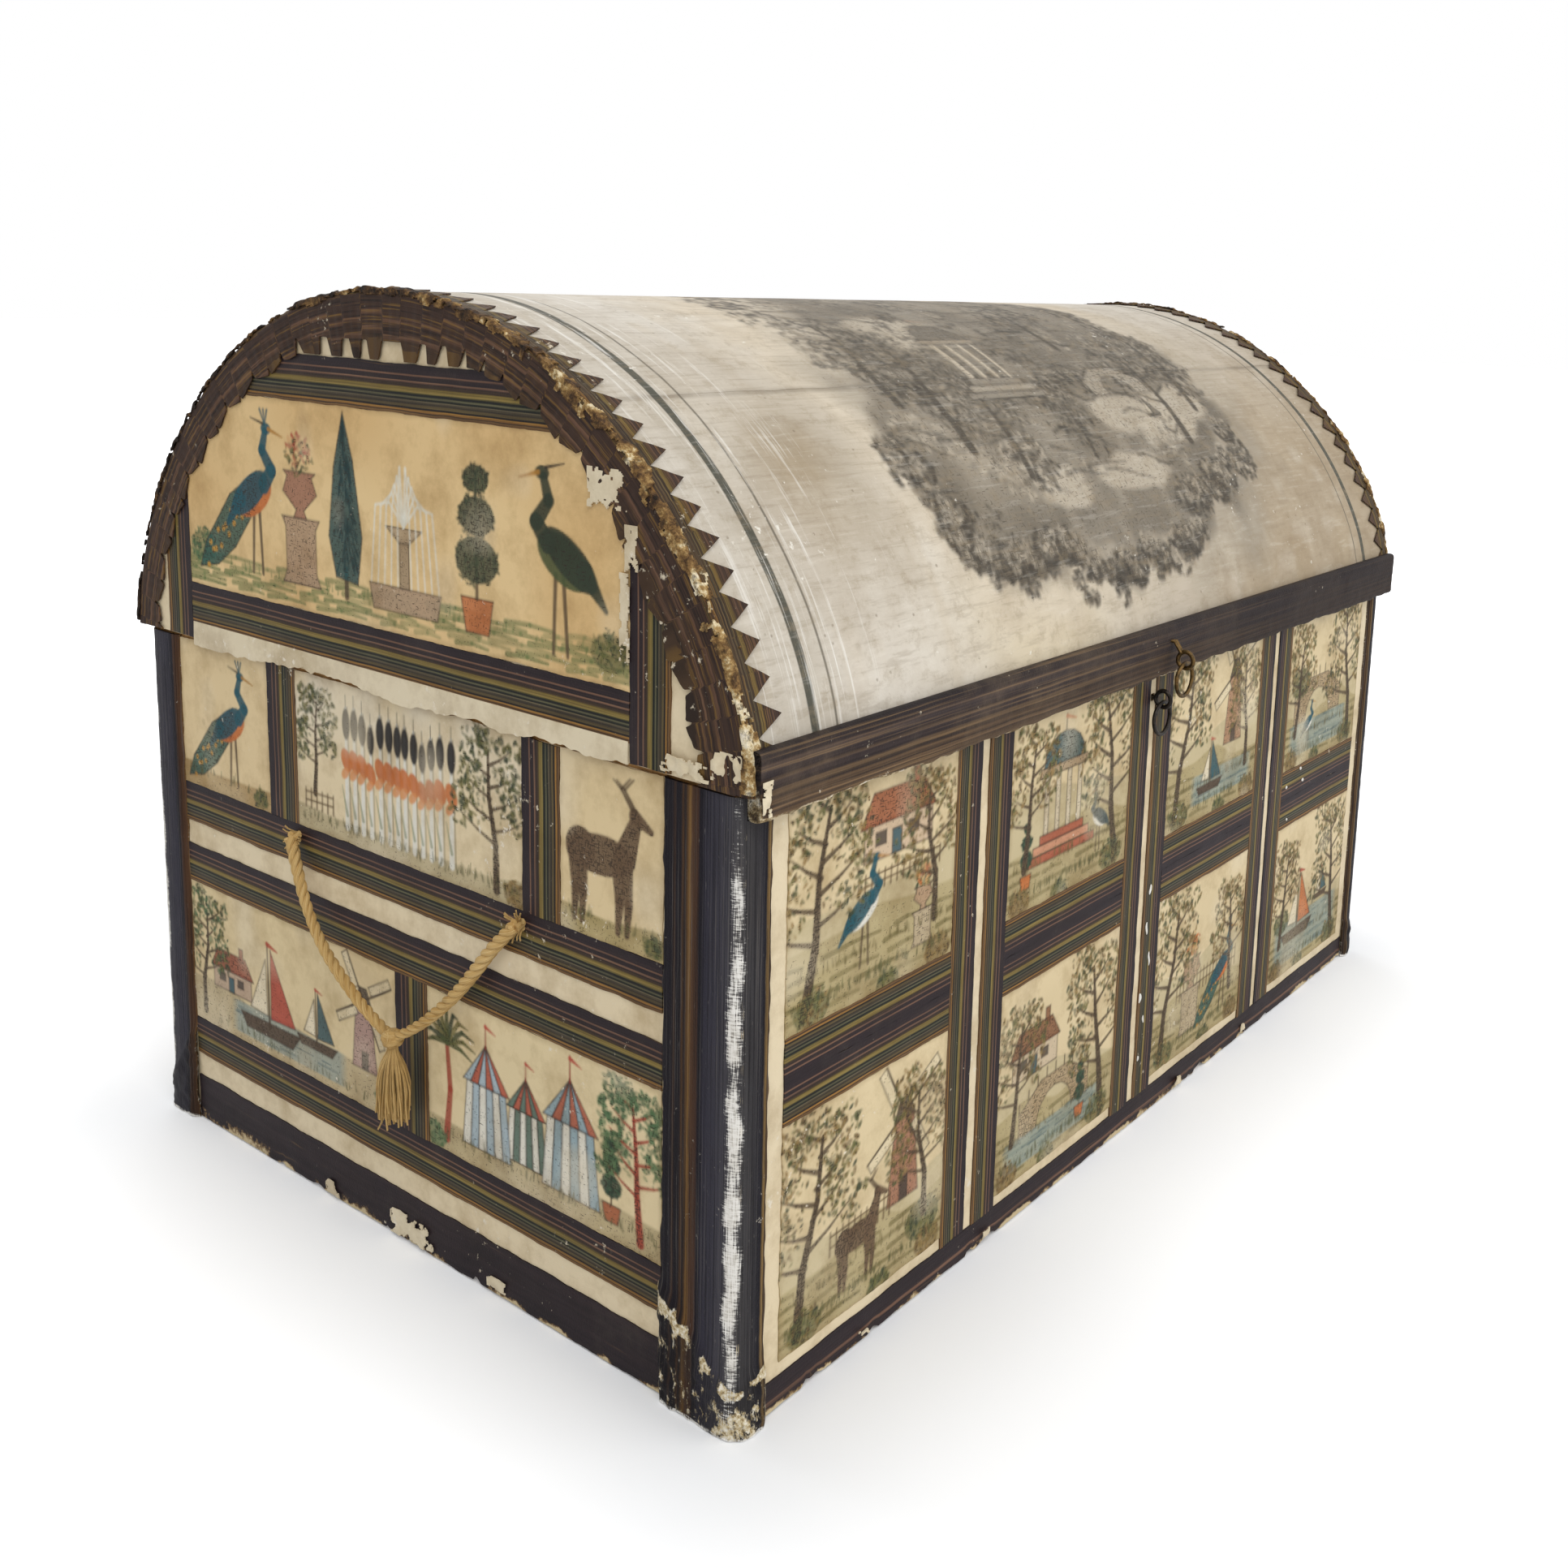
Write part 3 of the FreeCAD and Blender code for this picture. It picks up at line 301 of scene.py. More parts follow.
# %% Engraved strokes and striped paper
engrave_group, got, give = new_group(
    "Engraved strokes", {"Sheet": "Vector", "Ink": "Float"}, {"Mask": "Float"})
falling = streaks(got["Sheet"], 0.5, 2.3, 2.0, turn=0.5)
strokes = maths("MAXIMUM", falling, streaks(got["Sheet"], 2.1, 0.6, 2.0, turn=-0.3))
cut = above(plus(strokes, scaled(got["Ink"], 0.34)), 0.7, 0.78)
set_socket(give["Mask"], times(cut, above(got["Ink"], 0.02, 0.2)))

STRIPES = [
    (0.0, "261d21"), (0.2, "2c2124"), (0.215, "7a5a48"), (0.235, "6d5040"), (0.25, "2c2122"),
    (0.325, "2c2122"), (0.34, "80614c"), (0.36, "6d5040"), (0.38, "30241e"), (0.44, "403122"),
    (0.47, "7d6a34"), (0.54, "8d7942"), (0.56, "5a552e"), (0.575, "171a14"), (0.61, "1c2018"),
    (0.625, "5d5a42"), (0.645, "5d5a42"), (0.66, "1d2018"), (0.69, "1d2018"), (0.705, "6f644c"),
    (0.725, "4a4232"), (0.76, "332d24"), (0.79, "5e5033"), (0.82, "5e5033"), (0.835, "1c1814"),
    (0.86, "1c1814"), (0.875, "a07638"), (0.905, "8a6232"), (0.92, "241c16"), (0.945, "7d5d38"),
    (0.975, "6d5030"), (1.0, "1a1410"),
]
stripe_group, got, give = new_group(
    "Striped paper", {"Across": "Float", "Along": "Float"}, {"Color": "Color", "Line": "Float"})
run = node("CombineXYZ", X=got["Along"]).outputs[0]
drawn = plus(got["Across"], scaled(noise(run, 0.03, 2.0), 0.05, -0.025))
streak = node("CombineXYZ", X=scaled(drawn, 46.0), Y=scaled(got["Along"], 0.02)).outputs[0]
hair = noise(streak, 1.0, 3.0, 0.6)
striped = tint(ramp(drawn, STRIPES), "171115", 0.5, hair, 0.62, 0.36)
set_socket(give["Color"], tint(striped, "7c6138", 0.6, hair, 0.64, 0.78))
set_socket(give["Line"], hair)
print("stripes", len(STRIPES))

# %% [markdown]
# ## Paper materials
# The print paper reads the colours that are painted on each sheet's points, and lays the engraved
# strokes over them where the ink is. The ground paper is plain and aged. The striped paper reads a
# map that runs along and across each band. All of them get tooth, stains and scuffs.

# %% Print, ground and striped papers
def age(place, colour, stains, scuffs, stain_code="8a6a3c", scuff_code="ddd3c0", tone=0.55):
    """Lays tone, stains and scuffs over a colour; returns the colour and the tooth's height."""
    tooth = use(tooth_group, Place=place)
    shade = ramp(tooth["Tone"], [(0.3, "b9a98c"), (0.55, "ffffff"), (0.75, "ffffff")])
    colour = mix(tone, colour, shade, "MULTIPLY")
    stain = use(stain_group, Place=place, Amount=stains)["Mask"]
    colour = mix(scaled(stain, 0.45), colour, stain_code, "MULTIPLY")
    scuff = use(scuff_group, Place=place, Amount=scuffs)["Mask"]
    return mix(scuff, colour, scuff_code), tooth["Height"]


def printed(ink_code, strength, scale=1.0):
    """The painted colours of a sheet with engraved strokes over them."""
    painted = attribute("painted")
    sheet = node("Mapping", Vector=sheet_map(), Scale=(scale, scale, 1.0)).outputs[0]
    ink = use(engrave_group, Sheet=sheet, Ink=painted["Alpha"])["Mask"]
    return mix(scaled(ink, strength), painted["Color"], ink_code)


def print_material():
    place = new_material("print_paper", 0.6, 0.2)
    colour, height = age(place, printed("2b2118", 0.75), 0.3, 0.12)
    return dress(colour, height, 0.00012)


def ground_material(name, code, stains, scuffs):
    place = new_material(name, 0.7, 0.2)
    base = mix(noise(place, 9.0, 4.0), paint(code), "dccfb4")
    colour, height = age(place, base, stains, scuffs)
    return dress(colour, height, 0.00016)


def striped_material(name, scuffs, roughness, brown=0.0):
    place = new_material(name, roughness, 0.15)
    along, across, _ = axes(sheet_map())
    stripes = use(stripe_group, Across=across, Along=along)
    dust = noise(place, 30.0, 6.0, 0.7)
    colour = tint(stripes["Color"], "83796a", 0.12, dust, 0.5, 0.8)
    colour = mix(brown, colour, "4a3524")
    hairs = streaks(sheet_map(), 0.03, 38.0)
    colour = tint(colour, "80612f", brown * 1.2, hairs, 0.54, 0.66)
    colour = tint(colour, "17110f", brown * 1.4, hairs, 0.48, 0.36)
    colour, height = age(place, colour, 0.1, scuffs, "3a2c20", "c9bda6", 0.3)
    frays = noise(place, 420.0, 4.0, 0.7)
    torn = plus(scaled(attribute("torn")["Fac"], 0.7), scaled(frays, 0.6))
    pulp = ramp(torn, [(0.6, "54402a"), (0.68, "7d6443"), (0.75, "c3b18c")])
    colour = mix(above(torn, 0.6, 0.67), colour, pulp)
    set_socket(Bench.shader["Roughness"], scaled(dust, 0.3, roughness - 0.15))
    return dress(colour, plus(height, scaled(stripes["Line"], 0.4)), 0.00012)


print_paper = print_material()
ground_paper = ground_material("ground_paper", "dcc8a2", 0.45, 0.2)
torn_paper = ground_material("torn_paper", "d6c8aa", 0.6, 0.3)
striped_paper = striped_material("striped_paper", 0.08, 0.5)
edging_paper = striped_material("edging_paper", 0.2, 0.6, 0.45)
print("paper materials ready")

# %% [markdown]
# ## Tools for pieces
# A sheet of paper starts as a flat grid of its own size. Its edge is roughened as scissors leave
# it, its rim is extruded to the thickness of the paper, and then its points are laid on the wall
# or bent over the arch. The grid keeps a map in millimetres for patterns that follow the sheet.

# %% Points and maps of a piece
def unit(values):
    """Values held between 0 and 1."""
    return np.clip(values, 0, 1)


def bell(values, width):
    """1 where the values are 0, and less on both sides."""
    return np.exp(-(values / width) ** 2)


def read_rows(items, kind, size):
    flat = np.empty(len(items) * size, dtype=np.float32)
    items.foreach_get(kind, flat)
    return flat.reshape(-1, size).astype(float)


def read_points(obj):
    return read_rows(obj.data.vertices, "co", 3) / MM


def read_map(obj):
    return read_rows(obj.data.uv_layers.active.data, "uv", 2)


def face_middles(obj):
    return read_rows(obj.data.polygons, "center", 3) / MM


def write_points(obj, *parts):
    """Moves the points of a piece; they are given as rows or as X, Y and Z."""
    points = parts[0] if len(parts) == 1 else np.stack(parts, axis=1)
    obj.data.vertices.foreach_set("co", (points * MM).astype(np.float32).ravel())
    obj.data.update()


def write_map(obj, along, across):
    runs = np.stack([along, across], axis=1)
    obj.data.uv_layers.active.data.foreach_set("uv", runs.astype(np.float32).ravel())


def loop_points(obj):
    """For each face corner, the number of its point."""
    numbers = np.empty(len(obj.data.loops), dtype=np.int32)
    obj.data.loops.foreach_get("vertex_index", numbers)
    return numbers


def give_values(obj, name, values):
    layer = obj.data.attributes.new(name, "FLOAT", "POINT")
    layer.data.foreach_set("value", values.astype(np.float32))


# %% Sheets and their edges
def activate(obj):
    deselect()
    obj.select_set(True)
    bpy.context.view_layer.objects.active = obj


def edit(obj, *steps):
    """Runs mesh operators on a piece in edit mode, with all of its edges selected at the start."""
    activate(obj)
    bpy.ops.object.mode_set(mode="EDIT")
    bpy.ops.mesh.select_mode(type="EDGE")
    bpy.ops.mesh.select_all(action="SELECT")
    for step in steps:
        step()
    bpy.ops.object.mode_set(mode="OBJECT")


def flat_sheet(name, width, height, pitch, rows=None):
    """A grid in the XY plane with its middle at the origin, in millimetres."""
    deselect()
    columns = max(2, round(width / pitch))
    rows = rows or max(2, round(height / pitch))
    bpy.ops.mesh.primitive_grid_add(x_subdivisions=columns, y_subdivisions=rows, size=1.0)
    obj = bpy.context.active_object
    obj.name = name
    obj.data.name = name
    bpy.ops.transform.resize(value=(width * MM, height * MM, 1.0))
    bpy.ops.object.transform_apply(location=False, rotation=False, scale=True)
    return obj


def drop_rim(thickness):
    down = {"value": (0.0, 0.0, -thickness * MM)}
    return lambda: bpy.ops.mesh.extrude_edges_move(TRANSFORM_OT_translate=down)


def close_back():
    """Fills a selected rim and turns all faces outward."""
    bpy.ops.mesh.edge_face_add()
    bpy.ops.mesh.select_all(action="SELECT")
    bpy.ops.mesh.normals_make_consistent(inside=False)


def thin_sheet(name, width, height, pitch, thickness):
    """A flat sheet whose rim is extruded down and closed at the back; its points and its map."""
    sheet = flat_sheet(name, width, height, pitch)
    edit(sheet, bpy.ops.mesh.region_to_loop, drop_rim(thickness), close_back)
    return sheet, read_points(sheet), read_map(sheet)


def wobble(values, scale, seed, strength):
    """A smooth random curve through a row of values."""
    dice = np.random.RandomState(seed)
    knots = np.arange(np.floor(values.min() / scale) - 2, np.ceil(values.max() / scale) + 3) * scale
    return np.interp(values, knots, (dice.rand(len(knots)) - 0.5) * 2 * strength)


def rough_cut(points, width, height, seed, strength):
    """Moves the points near the four edges in and out, as a cut by hand does."""
    for axis, other, size, coarse in ((0, 1, width, 5.0), (1, 0, height, 6.0)):
        near = unit(np.abs(points[:, axis]) / (size / 2)) ** 12
        row = points[:, other] + 700 * np.sign(points[:, axis])
        shift = wobble(row, coarse, seed + axis, strength)
        shift = shift + wobble(row, 1.3, seed + axis + 2, strength * 0.4)
        points[:, axis] += shift * near
    return points


HALF_LONG = 200.0
HALF_DEEP = 132.0
LID_HALF = 202.0
WALLS = {
    "front": ((1, 0, 0), (0, -1, 0), HALF_DEEP),
    "back": ((-1, 0, 0), (0, 1, 0), HALF_DEEP),
    "left": ((0, -1, 0), (-1, 0, 0), HALF_LONG),
    "right": ((0, 1, 0), (1, 0, 0), HALF_LONG),
    "lid_left": ((0, -1, 0), (-1, 0, 0), LID_HALF),
    "lid_right": ((0, 1, 0), (1, 0, 0), LID_HALF),
}


def on_wall(points, wall, middle, height, out):
    """Lays flat points on a wall: X along it to the right, Y up, Z out of it."""
    right, outside, depth = (np.array(part, dtype=float) for part in WALLS[wall])
    placed = np.outer(points[:, 0] + middle, right) + np.outer(points[:, 2] + out + depth, outside)
    placed[:, 2] = points[:, 1] + height
    return placed


# %% Joining and finishing pieces
def finish_piece(obj, material, body, slot, *nodes):
    """Gives a finished piece its material and body and hides the solids that it stands for; slot is not
    used.
    """
    obj.data.materials.clear()
    obj.data.materials.append(material)
    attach(obj, body)
    if nodes:
        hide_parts(*nodes)
    return obj


def join(objects, name):
    activate(objects[0])
    for obj in objects:
        obj.select_set(True)
    if len(objects) > 1:
        bpy.ops.object.join()
    joined = bpy.context.active_object
    joined.name = name
    joined.data.name = name
    return joined


def solidify(obj, thickness, offset=-1.0):
    activate(obj)
    modifier = obj.modifiers.new("paper", "SOLIDIFY")
    modifier.thickness = thickness * MM
    modifier.offset = offset
    bpy.ops.object.modifier_apply(modifier=modifier.name)


def smooth(obj, degrees):
    activate(obj)
    bpy.ops.object.shade_smooth_by_angle(angle=math.radians(degrees))


def close_folded(obj, mirrored, thickness, degrees):
    """Gives a bent sheet its thickness and smooth shading; a mirrored one is turned first."""
    if mirrored:
        edit(obj, bpy.ops.mesh.flip_normals)
    solidify(obj, thickness)
    smooth(obj, degrees)


LATTICE = 64


def four_way(values, columns, rows, fx, fy):
    """Values between four neighbours of a grid."""
    low = values[rows[0], columns[0]] * (1 - fx) + values[rows[0], columns[1]] * fx
    high = values[rows[1], columns[0]] * (1 - fx) + values[rows[1], columns[1]] * fx
    return low * (1 - fy) + high * fy


def field(x, y, cell, seed):
    """Soft random clouds from -1 to 1 at points of a plane."""
    lattice = np.random.RandomState(seed).rand(LATTICE, LATTICE) * 2 - 1
    neighbours = []
    parts = []
    for places in (x, y):
        steps = np.asarray(places) / cell
        whole = np.floor(steps).astype(int)
        part = steps - whole
        neighbours.append((whole % LATTICE, (whole + 1) % LATTICE))
        parts.append(part * part * (3 - 2 * part))
    return four_way(lattice, *neighbours, *parts)


def clouds(x, y, *layers):
    """Soft random clouds of several sizes, each with its cell, seed and strength."""
    return sum(strength * field(x, y, cell, seed) for cell, seed, strength in layers)


def delete_ragged(obj, keep):
    """Deletes the faces whose keep value is below zero."""
    edit(obj, lambda: bpy.ops.mesh.select_mode(type="FACE"),
         lambda: bpy.ops.mesh.select_all(action="DESELECT"))
    obj.data.polygons.foreach_set("select", keep < 0)
    bpy.ops.object.mode_set(mode="EDIT")
    bpy.ops.mesh.delete(type="FACE")
    bpy.ops.object.mode_set(mode="OBJECT")


print("tools for pieces ready")

# %% [markdown]
# ## Cord handle
# A straw-coloured cord comes out of two holes in the left end, and both strands meet in a knot
# with a tassel under it. Each strand's line is a smooth NURBS spline through the route's points.
# A plain tube along it would look like wire, so three plies twist round the line, and the tassel
# is made of single threads.

# %% Routes of the two strands
CORD_X = -203.3
HOLE_Z = 116.0
HOLE_Y = 52.0
KNOT_PLACE = np.array((-207.9, -3.5, 70.0))
SHORT_OF_KNOT = 2.6
BACK_ROUTE = [
    (1.0, 47.5, 9.5), (1.9, 42.0, 19.0), (2.8, 33.0, 29.0), (3.5, 20.0, 37.0), (4.1, 8.5, 42.5)]
FRONT_ROUTE = [
    (0.9, -45.0, 7.0), (1.8, -38.5, 15.5), (2.7, -30.5, 25.0), (3.4, -21.0, 34.0), (4.0, -12.0, 41.0)]


def new_curve(kind, points):
    curve = bpy.data.curves.new("cord_line", "CURVE")
    curve.dimensions = "3D"
    spline = curve.splines.new(kind)
    spline.points.add(len(points) - 1)
    flat = np.ones((len(points), 4))
    flat[:, :3] = np.array(points) * MM
    spline.points.foreach_set("co", flat.ravel())
    holder = bpy.data.objects.new("cord_line", curve)
    bpy.context.scene.collection.objects.link(holder)
    return holder, curve, spline


def strand_line(side, route):
    """Points read from a NURBS line through a strand's route, in millimetres."""
    middle = [np.array((CORD_X - out, along, HOLE_Z - drop)) for out, along, drop in route]
    inward = KNOT_PLACE - middle[-1]
    inward = inward / np.linalg.norm(inward)
    start = np.array((CORD_X, side * HOLE_Y, HOLE_Z))
    holder, curve, spline = new_curve("NURBS", [start, *middle, KNOT_PLACE - inward * SHORT_OF_KNOT])
    spline.order_u = 3
    spline.use_endpoint_u = True
    spline.resolution_u = 16
    mesh = bpy.data.meshes.new_from_object(holder)
    line = np.array([v.co[:] for v in mesh.vertices]) / MM
    bpy.data.meshes.remove(mesh)
    bpy.data.objects.remove(holder)
    bpy.data.curves.remove(curve)
    return line


def line_length(line):
    return float(np.linalg.norm(np.diff(line, axis=0), axis=1).sum())


def way_along(line):
    """The way from the start of a line to each of its points."""
    return np.concatenate([[0], np.cumsum(np.linalg.norm(np.diff(line, axis=0), axis=1))])


back_line = strand_line(1, BACK_ROUTE)
front_line = strand_line(-1, FRONT_ROUTE)
print("strands", round(line_length(back_line), 2), round(line_length(front_line), 2), "mm")

# %% Straw material and twisted strands
def straw_material():
    place = new_material("straw_cord", 0.75, 0.2)
    hairs = streaks(sheet_map(), 2.0, 26.0, 4.0, 0.7)
    tone = ramp(hairs, [(0.25, "865f2b"), (0.42, "b58f52"), (0.58, "d0b178"), (0.75, "e8d4a6")])
    return dress(tint(tone, "7a5526", 0.35, noise(place, 160.0, 4.0), 0.5, 0.75), hairs, 0.0003, 0.8)


straw_cord = straw_material()


def tube(points, radius, sides=3, girth=None):
    """A tube along points, as a curve with a round bevel that is then made a mesh."""
    holder, curve, spline = new_curve("POLY", points)
    if girth is not None:
        spline.points.foreach_set("radius", girth)
    curve.bevel_depth = radius * MM
    curve.bevel_resolution = sides
    curve.use_fill_caps = True
    activate(holder)
    bpy.ops.object.convert(target="MESH")
    return bpy.context.active_object


PLY_COUNT = 3
PLY_R = 1.08
PLY_ORBIT = 0.98
CORD_LAY = 10.0
PLY_STEP = 0.55
GIRTH_WAYS = (0.0, 0.3, 0.62, 1.0)
BACK_GIRTH = (0.98, 0.8, 0.86, 0.8)
FRONT_GIRTH = (0.95, 1.0, 0.9, 0.72)


def directions(rows):
    return rows / np.linalg.norm(rows, axis=1)[:, None]


def ply_tube(line, turn, girths):
    """A helix round a line: one ply of a twisted cord that is worn thinner towards the knot."""
    run = way_along(line)
    marks = np.linspace(0, run[-1], max(4, int(run[-1] / PLY_STEP)))
    points = np.stack([np.interp(marks, run, line[:, i]) for i in range(3)], axis=1)
    ahead = directions(np.gradient(points, axis=0))
    side = directions(np.cross(ahead, (1.0, 0.0, 0.0)))
    angle = turn + marks * 2 * math.pi / CORD_LAY
    girth = np.interp(marks / run[-1], GIRTH_WAYS, girths)
    off_line = np.cos(angle)[:, None] * side + np.sin(angle)[:, None] * np.cross(ahead, side)
    return tube(points + PLY_ORBIT * girth[:, None] * off_line, PLY_R, girth=girth)


def twisted_strand(name, line, girths):
    turns = [number * 2 * math.pi / PLY_COUNT for number in range(PLY_COUNT)]
    return join([ply_tube(line, turn, girths) for turn in turns], name)


strand_back = twisted_strand("strand_back", back_line, BACK_GIRTH)
strand_front = twisted_strand("strand_front", front_line, FRONT_GIRTH)
print("plies", PLY_COUNT, "faces", len(strand_back.data.polygons))

# %% [markdown]
# The knot is the cord wound round itself. A ball would hide that, so five tilted loops of cord
# are laid over each other. The tassel hangs from it: single threads that fan out under the knot
# and draw in again a little at their ends, with one thread that strays.

# %% Knot and tassel
def loop_of_cord(place, radius, tilt, turn, thickness):
    angles = np.linspace(0, 2 * math.pi, 33)
    ring = np.stack([np.cos(angles) * radius, np.sin(angles) * radius, 0.35 * np.sin(3 * angles)], axis=1)
    spun = Matrix.Rotation(turn, 3, "Z") @ Matrix.Rotation(tilt, 3, "X")
    ring = ring @ np.array(spun).T
    ring[:, 2] *= LOOP_FLAT
    return tube(ring + place, thickness)


LOOP_FLAT = 0.8
KNOT_R = 2.1
KNOT_CORD_R = 1.25
KNOT_LOOPS = ((0.25, 0.0), (-0.5, 1.1), (0.75, 2.3), (1.35, 0.5), (1.2, 2.0))
loops = [loop_of_cord(KNOT_PLACE, KNOT_R, tilt, turn, KNOT_CORD_R) for tilt, turn in KNOT_LOOPS]
handle_knot = join(loops, "handle_knot_loops")

THREAD_COUNT = 130
THREAD_R = 0.31
TASSEL_TOP = KNOT_PLACE[2] - 1.6
TASSEL_FOOT = 43.5
STRAY_AWAY = 7.0
STRAY_FOOT = 38.5
FAN_DROPS = (0, 0.12, 0.25, 0.4, 0.6, 1.0)
FAN_WIDTHS = (1.4, 1.7, 3.4, 4.9, 5.7, 5.2)
thread_dice = np.random.RandomState(11)
drop = np.linspace(0, 1, 9)
threads = []
for number in range(THREAD_COUNT):
    angle = thread_dice.rand() * 2 * math.pi
    reach = math.sqrt(thread_dice.rand())
    foot = TASSEL_FOOT + thread_dice.rand() * 5.5 if number else STRAY_FOOT
    stray = 0.0 if number else STRAY_AWAY
    spread = np.interp(drop, FAN_DROPS, FAN_WIDTHS) * reach
    sway = (thread_dice.rand(2) - 0.5) * 1.4
    ripple = 0.25 * np.sin(drop * 9 + number)
    threads.append(tube(np.stack([
        KNOT_PLACE[0] + np.cos(angle) * spread * 0.72 + sway[0] * drop ** 2 * 0.6,
        KNOT_PLACE[1] + np.sin(angle) * spread + (sway[1] * 2.0 + stray) * drop ** 3 + ripple,
        TASSEL_TOP + (foot - TASSEL_TOP) * drop,
    ], axis=1), THREAD_R, 0))
handle_tassel = join(threads, "handle_tassel_threads")
for piece, node_name in ((handle_knot, "handle_knot"), (handle_tassel, "handle_tassel"),
                         (strand_back, "handle_cord_back"), (strand_front, "handle_cord_front")):
    smooth(piece, 60.0)
    finish_piece(piece, straw_cord, "handle_body", "straw_cord", node_name)
print("threads", THREAD_COUNT, "faces", len(handle_tassel.data.polygons))

# %% Ends of the cord at the holes
INNER_WALL = -191.5
HOLE_STUB_X = -203.2
STUB_STEPS = 24
STUB_ORBIT = 0.95
STOP_LOOPS = ((0.3, 0.4), (-0.6, 1.5), (1.3, 2.4))
FRAY_COUNT = 14
FRAY_X = -201.4
FRAY_ORBIT = 1.4
stop_pieces = []
for y in (-HOLE_Y, HOLE_Y):
    for number in range(PLY_COUNT):
        angle = np.linspace(0, 5.5, STUB_STEPS) + number * 2.1
        stop_pieces.append(tube(np.stack([
            np.linspace(INNER_WALL + 1.0, HOLE_STUB_X, STUB_STEPS),
            y + np.cos(angle) * STUB_ORBIT, HOLE_Z + np.sin(angle) * STUB_ORBIT], axis=1), PLY_R, 2))
    inner_knot = np.array((INNER_WALL + 3.2, y, HOLE_Z))
    stop_pieces += [loop_of_cord(inner_knot, 2.4, tilt, turn, 1.35) for tilt, turn in STOP_LOOPS]
    for _ in range(FRAY_COUNT):
        angle = thread_dice.rand() * 2 * math.pi
        length = 2.0 + thread_dice.rand() * 2.2
        tip = np.array((-1.2 - thread_dice.rand() * 1.4, math.cos(angle) * length, math.sin(angle) * length))
        root = np.array((FRAY_X, y + math.cos(angle) * FRAY_ORBIT, HOLE_Z + math.sin(angle) * FRAY_ORBIT))
        bow = root + tip * 0.6 + np.array((-0.4, 0, 0))
        stop_pieces.append(tube(np.array((root, bow, root + tip)), 0.24, 0))
cord_ends = join(stop_pieces, "cord_ends")
smooth(cord_ends, 60.0)
finish_piece(cord_ends, straw_cord, "box_body", "straw_cord", "cord_stops")
print("cord ends", len(cord_ends.data.polygons))

# %% [markdown]
# ## Painting the prints
# The trunk's sheets are engravings coloured by hand: thin dark strokes, clear washes of teal,
# olive, orange and brown on cream paper. Here they are garden and river views with trees, birds,
# urns and mills. Each is painted in code, in millimetres, on a canvas with one colour and one
# value of ink for each step of the grid, and then given to the sheet's points.

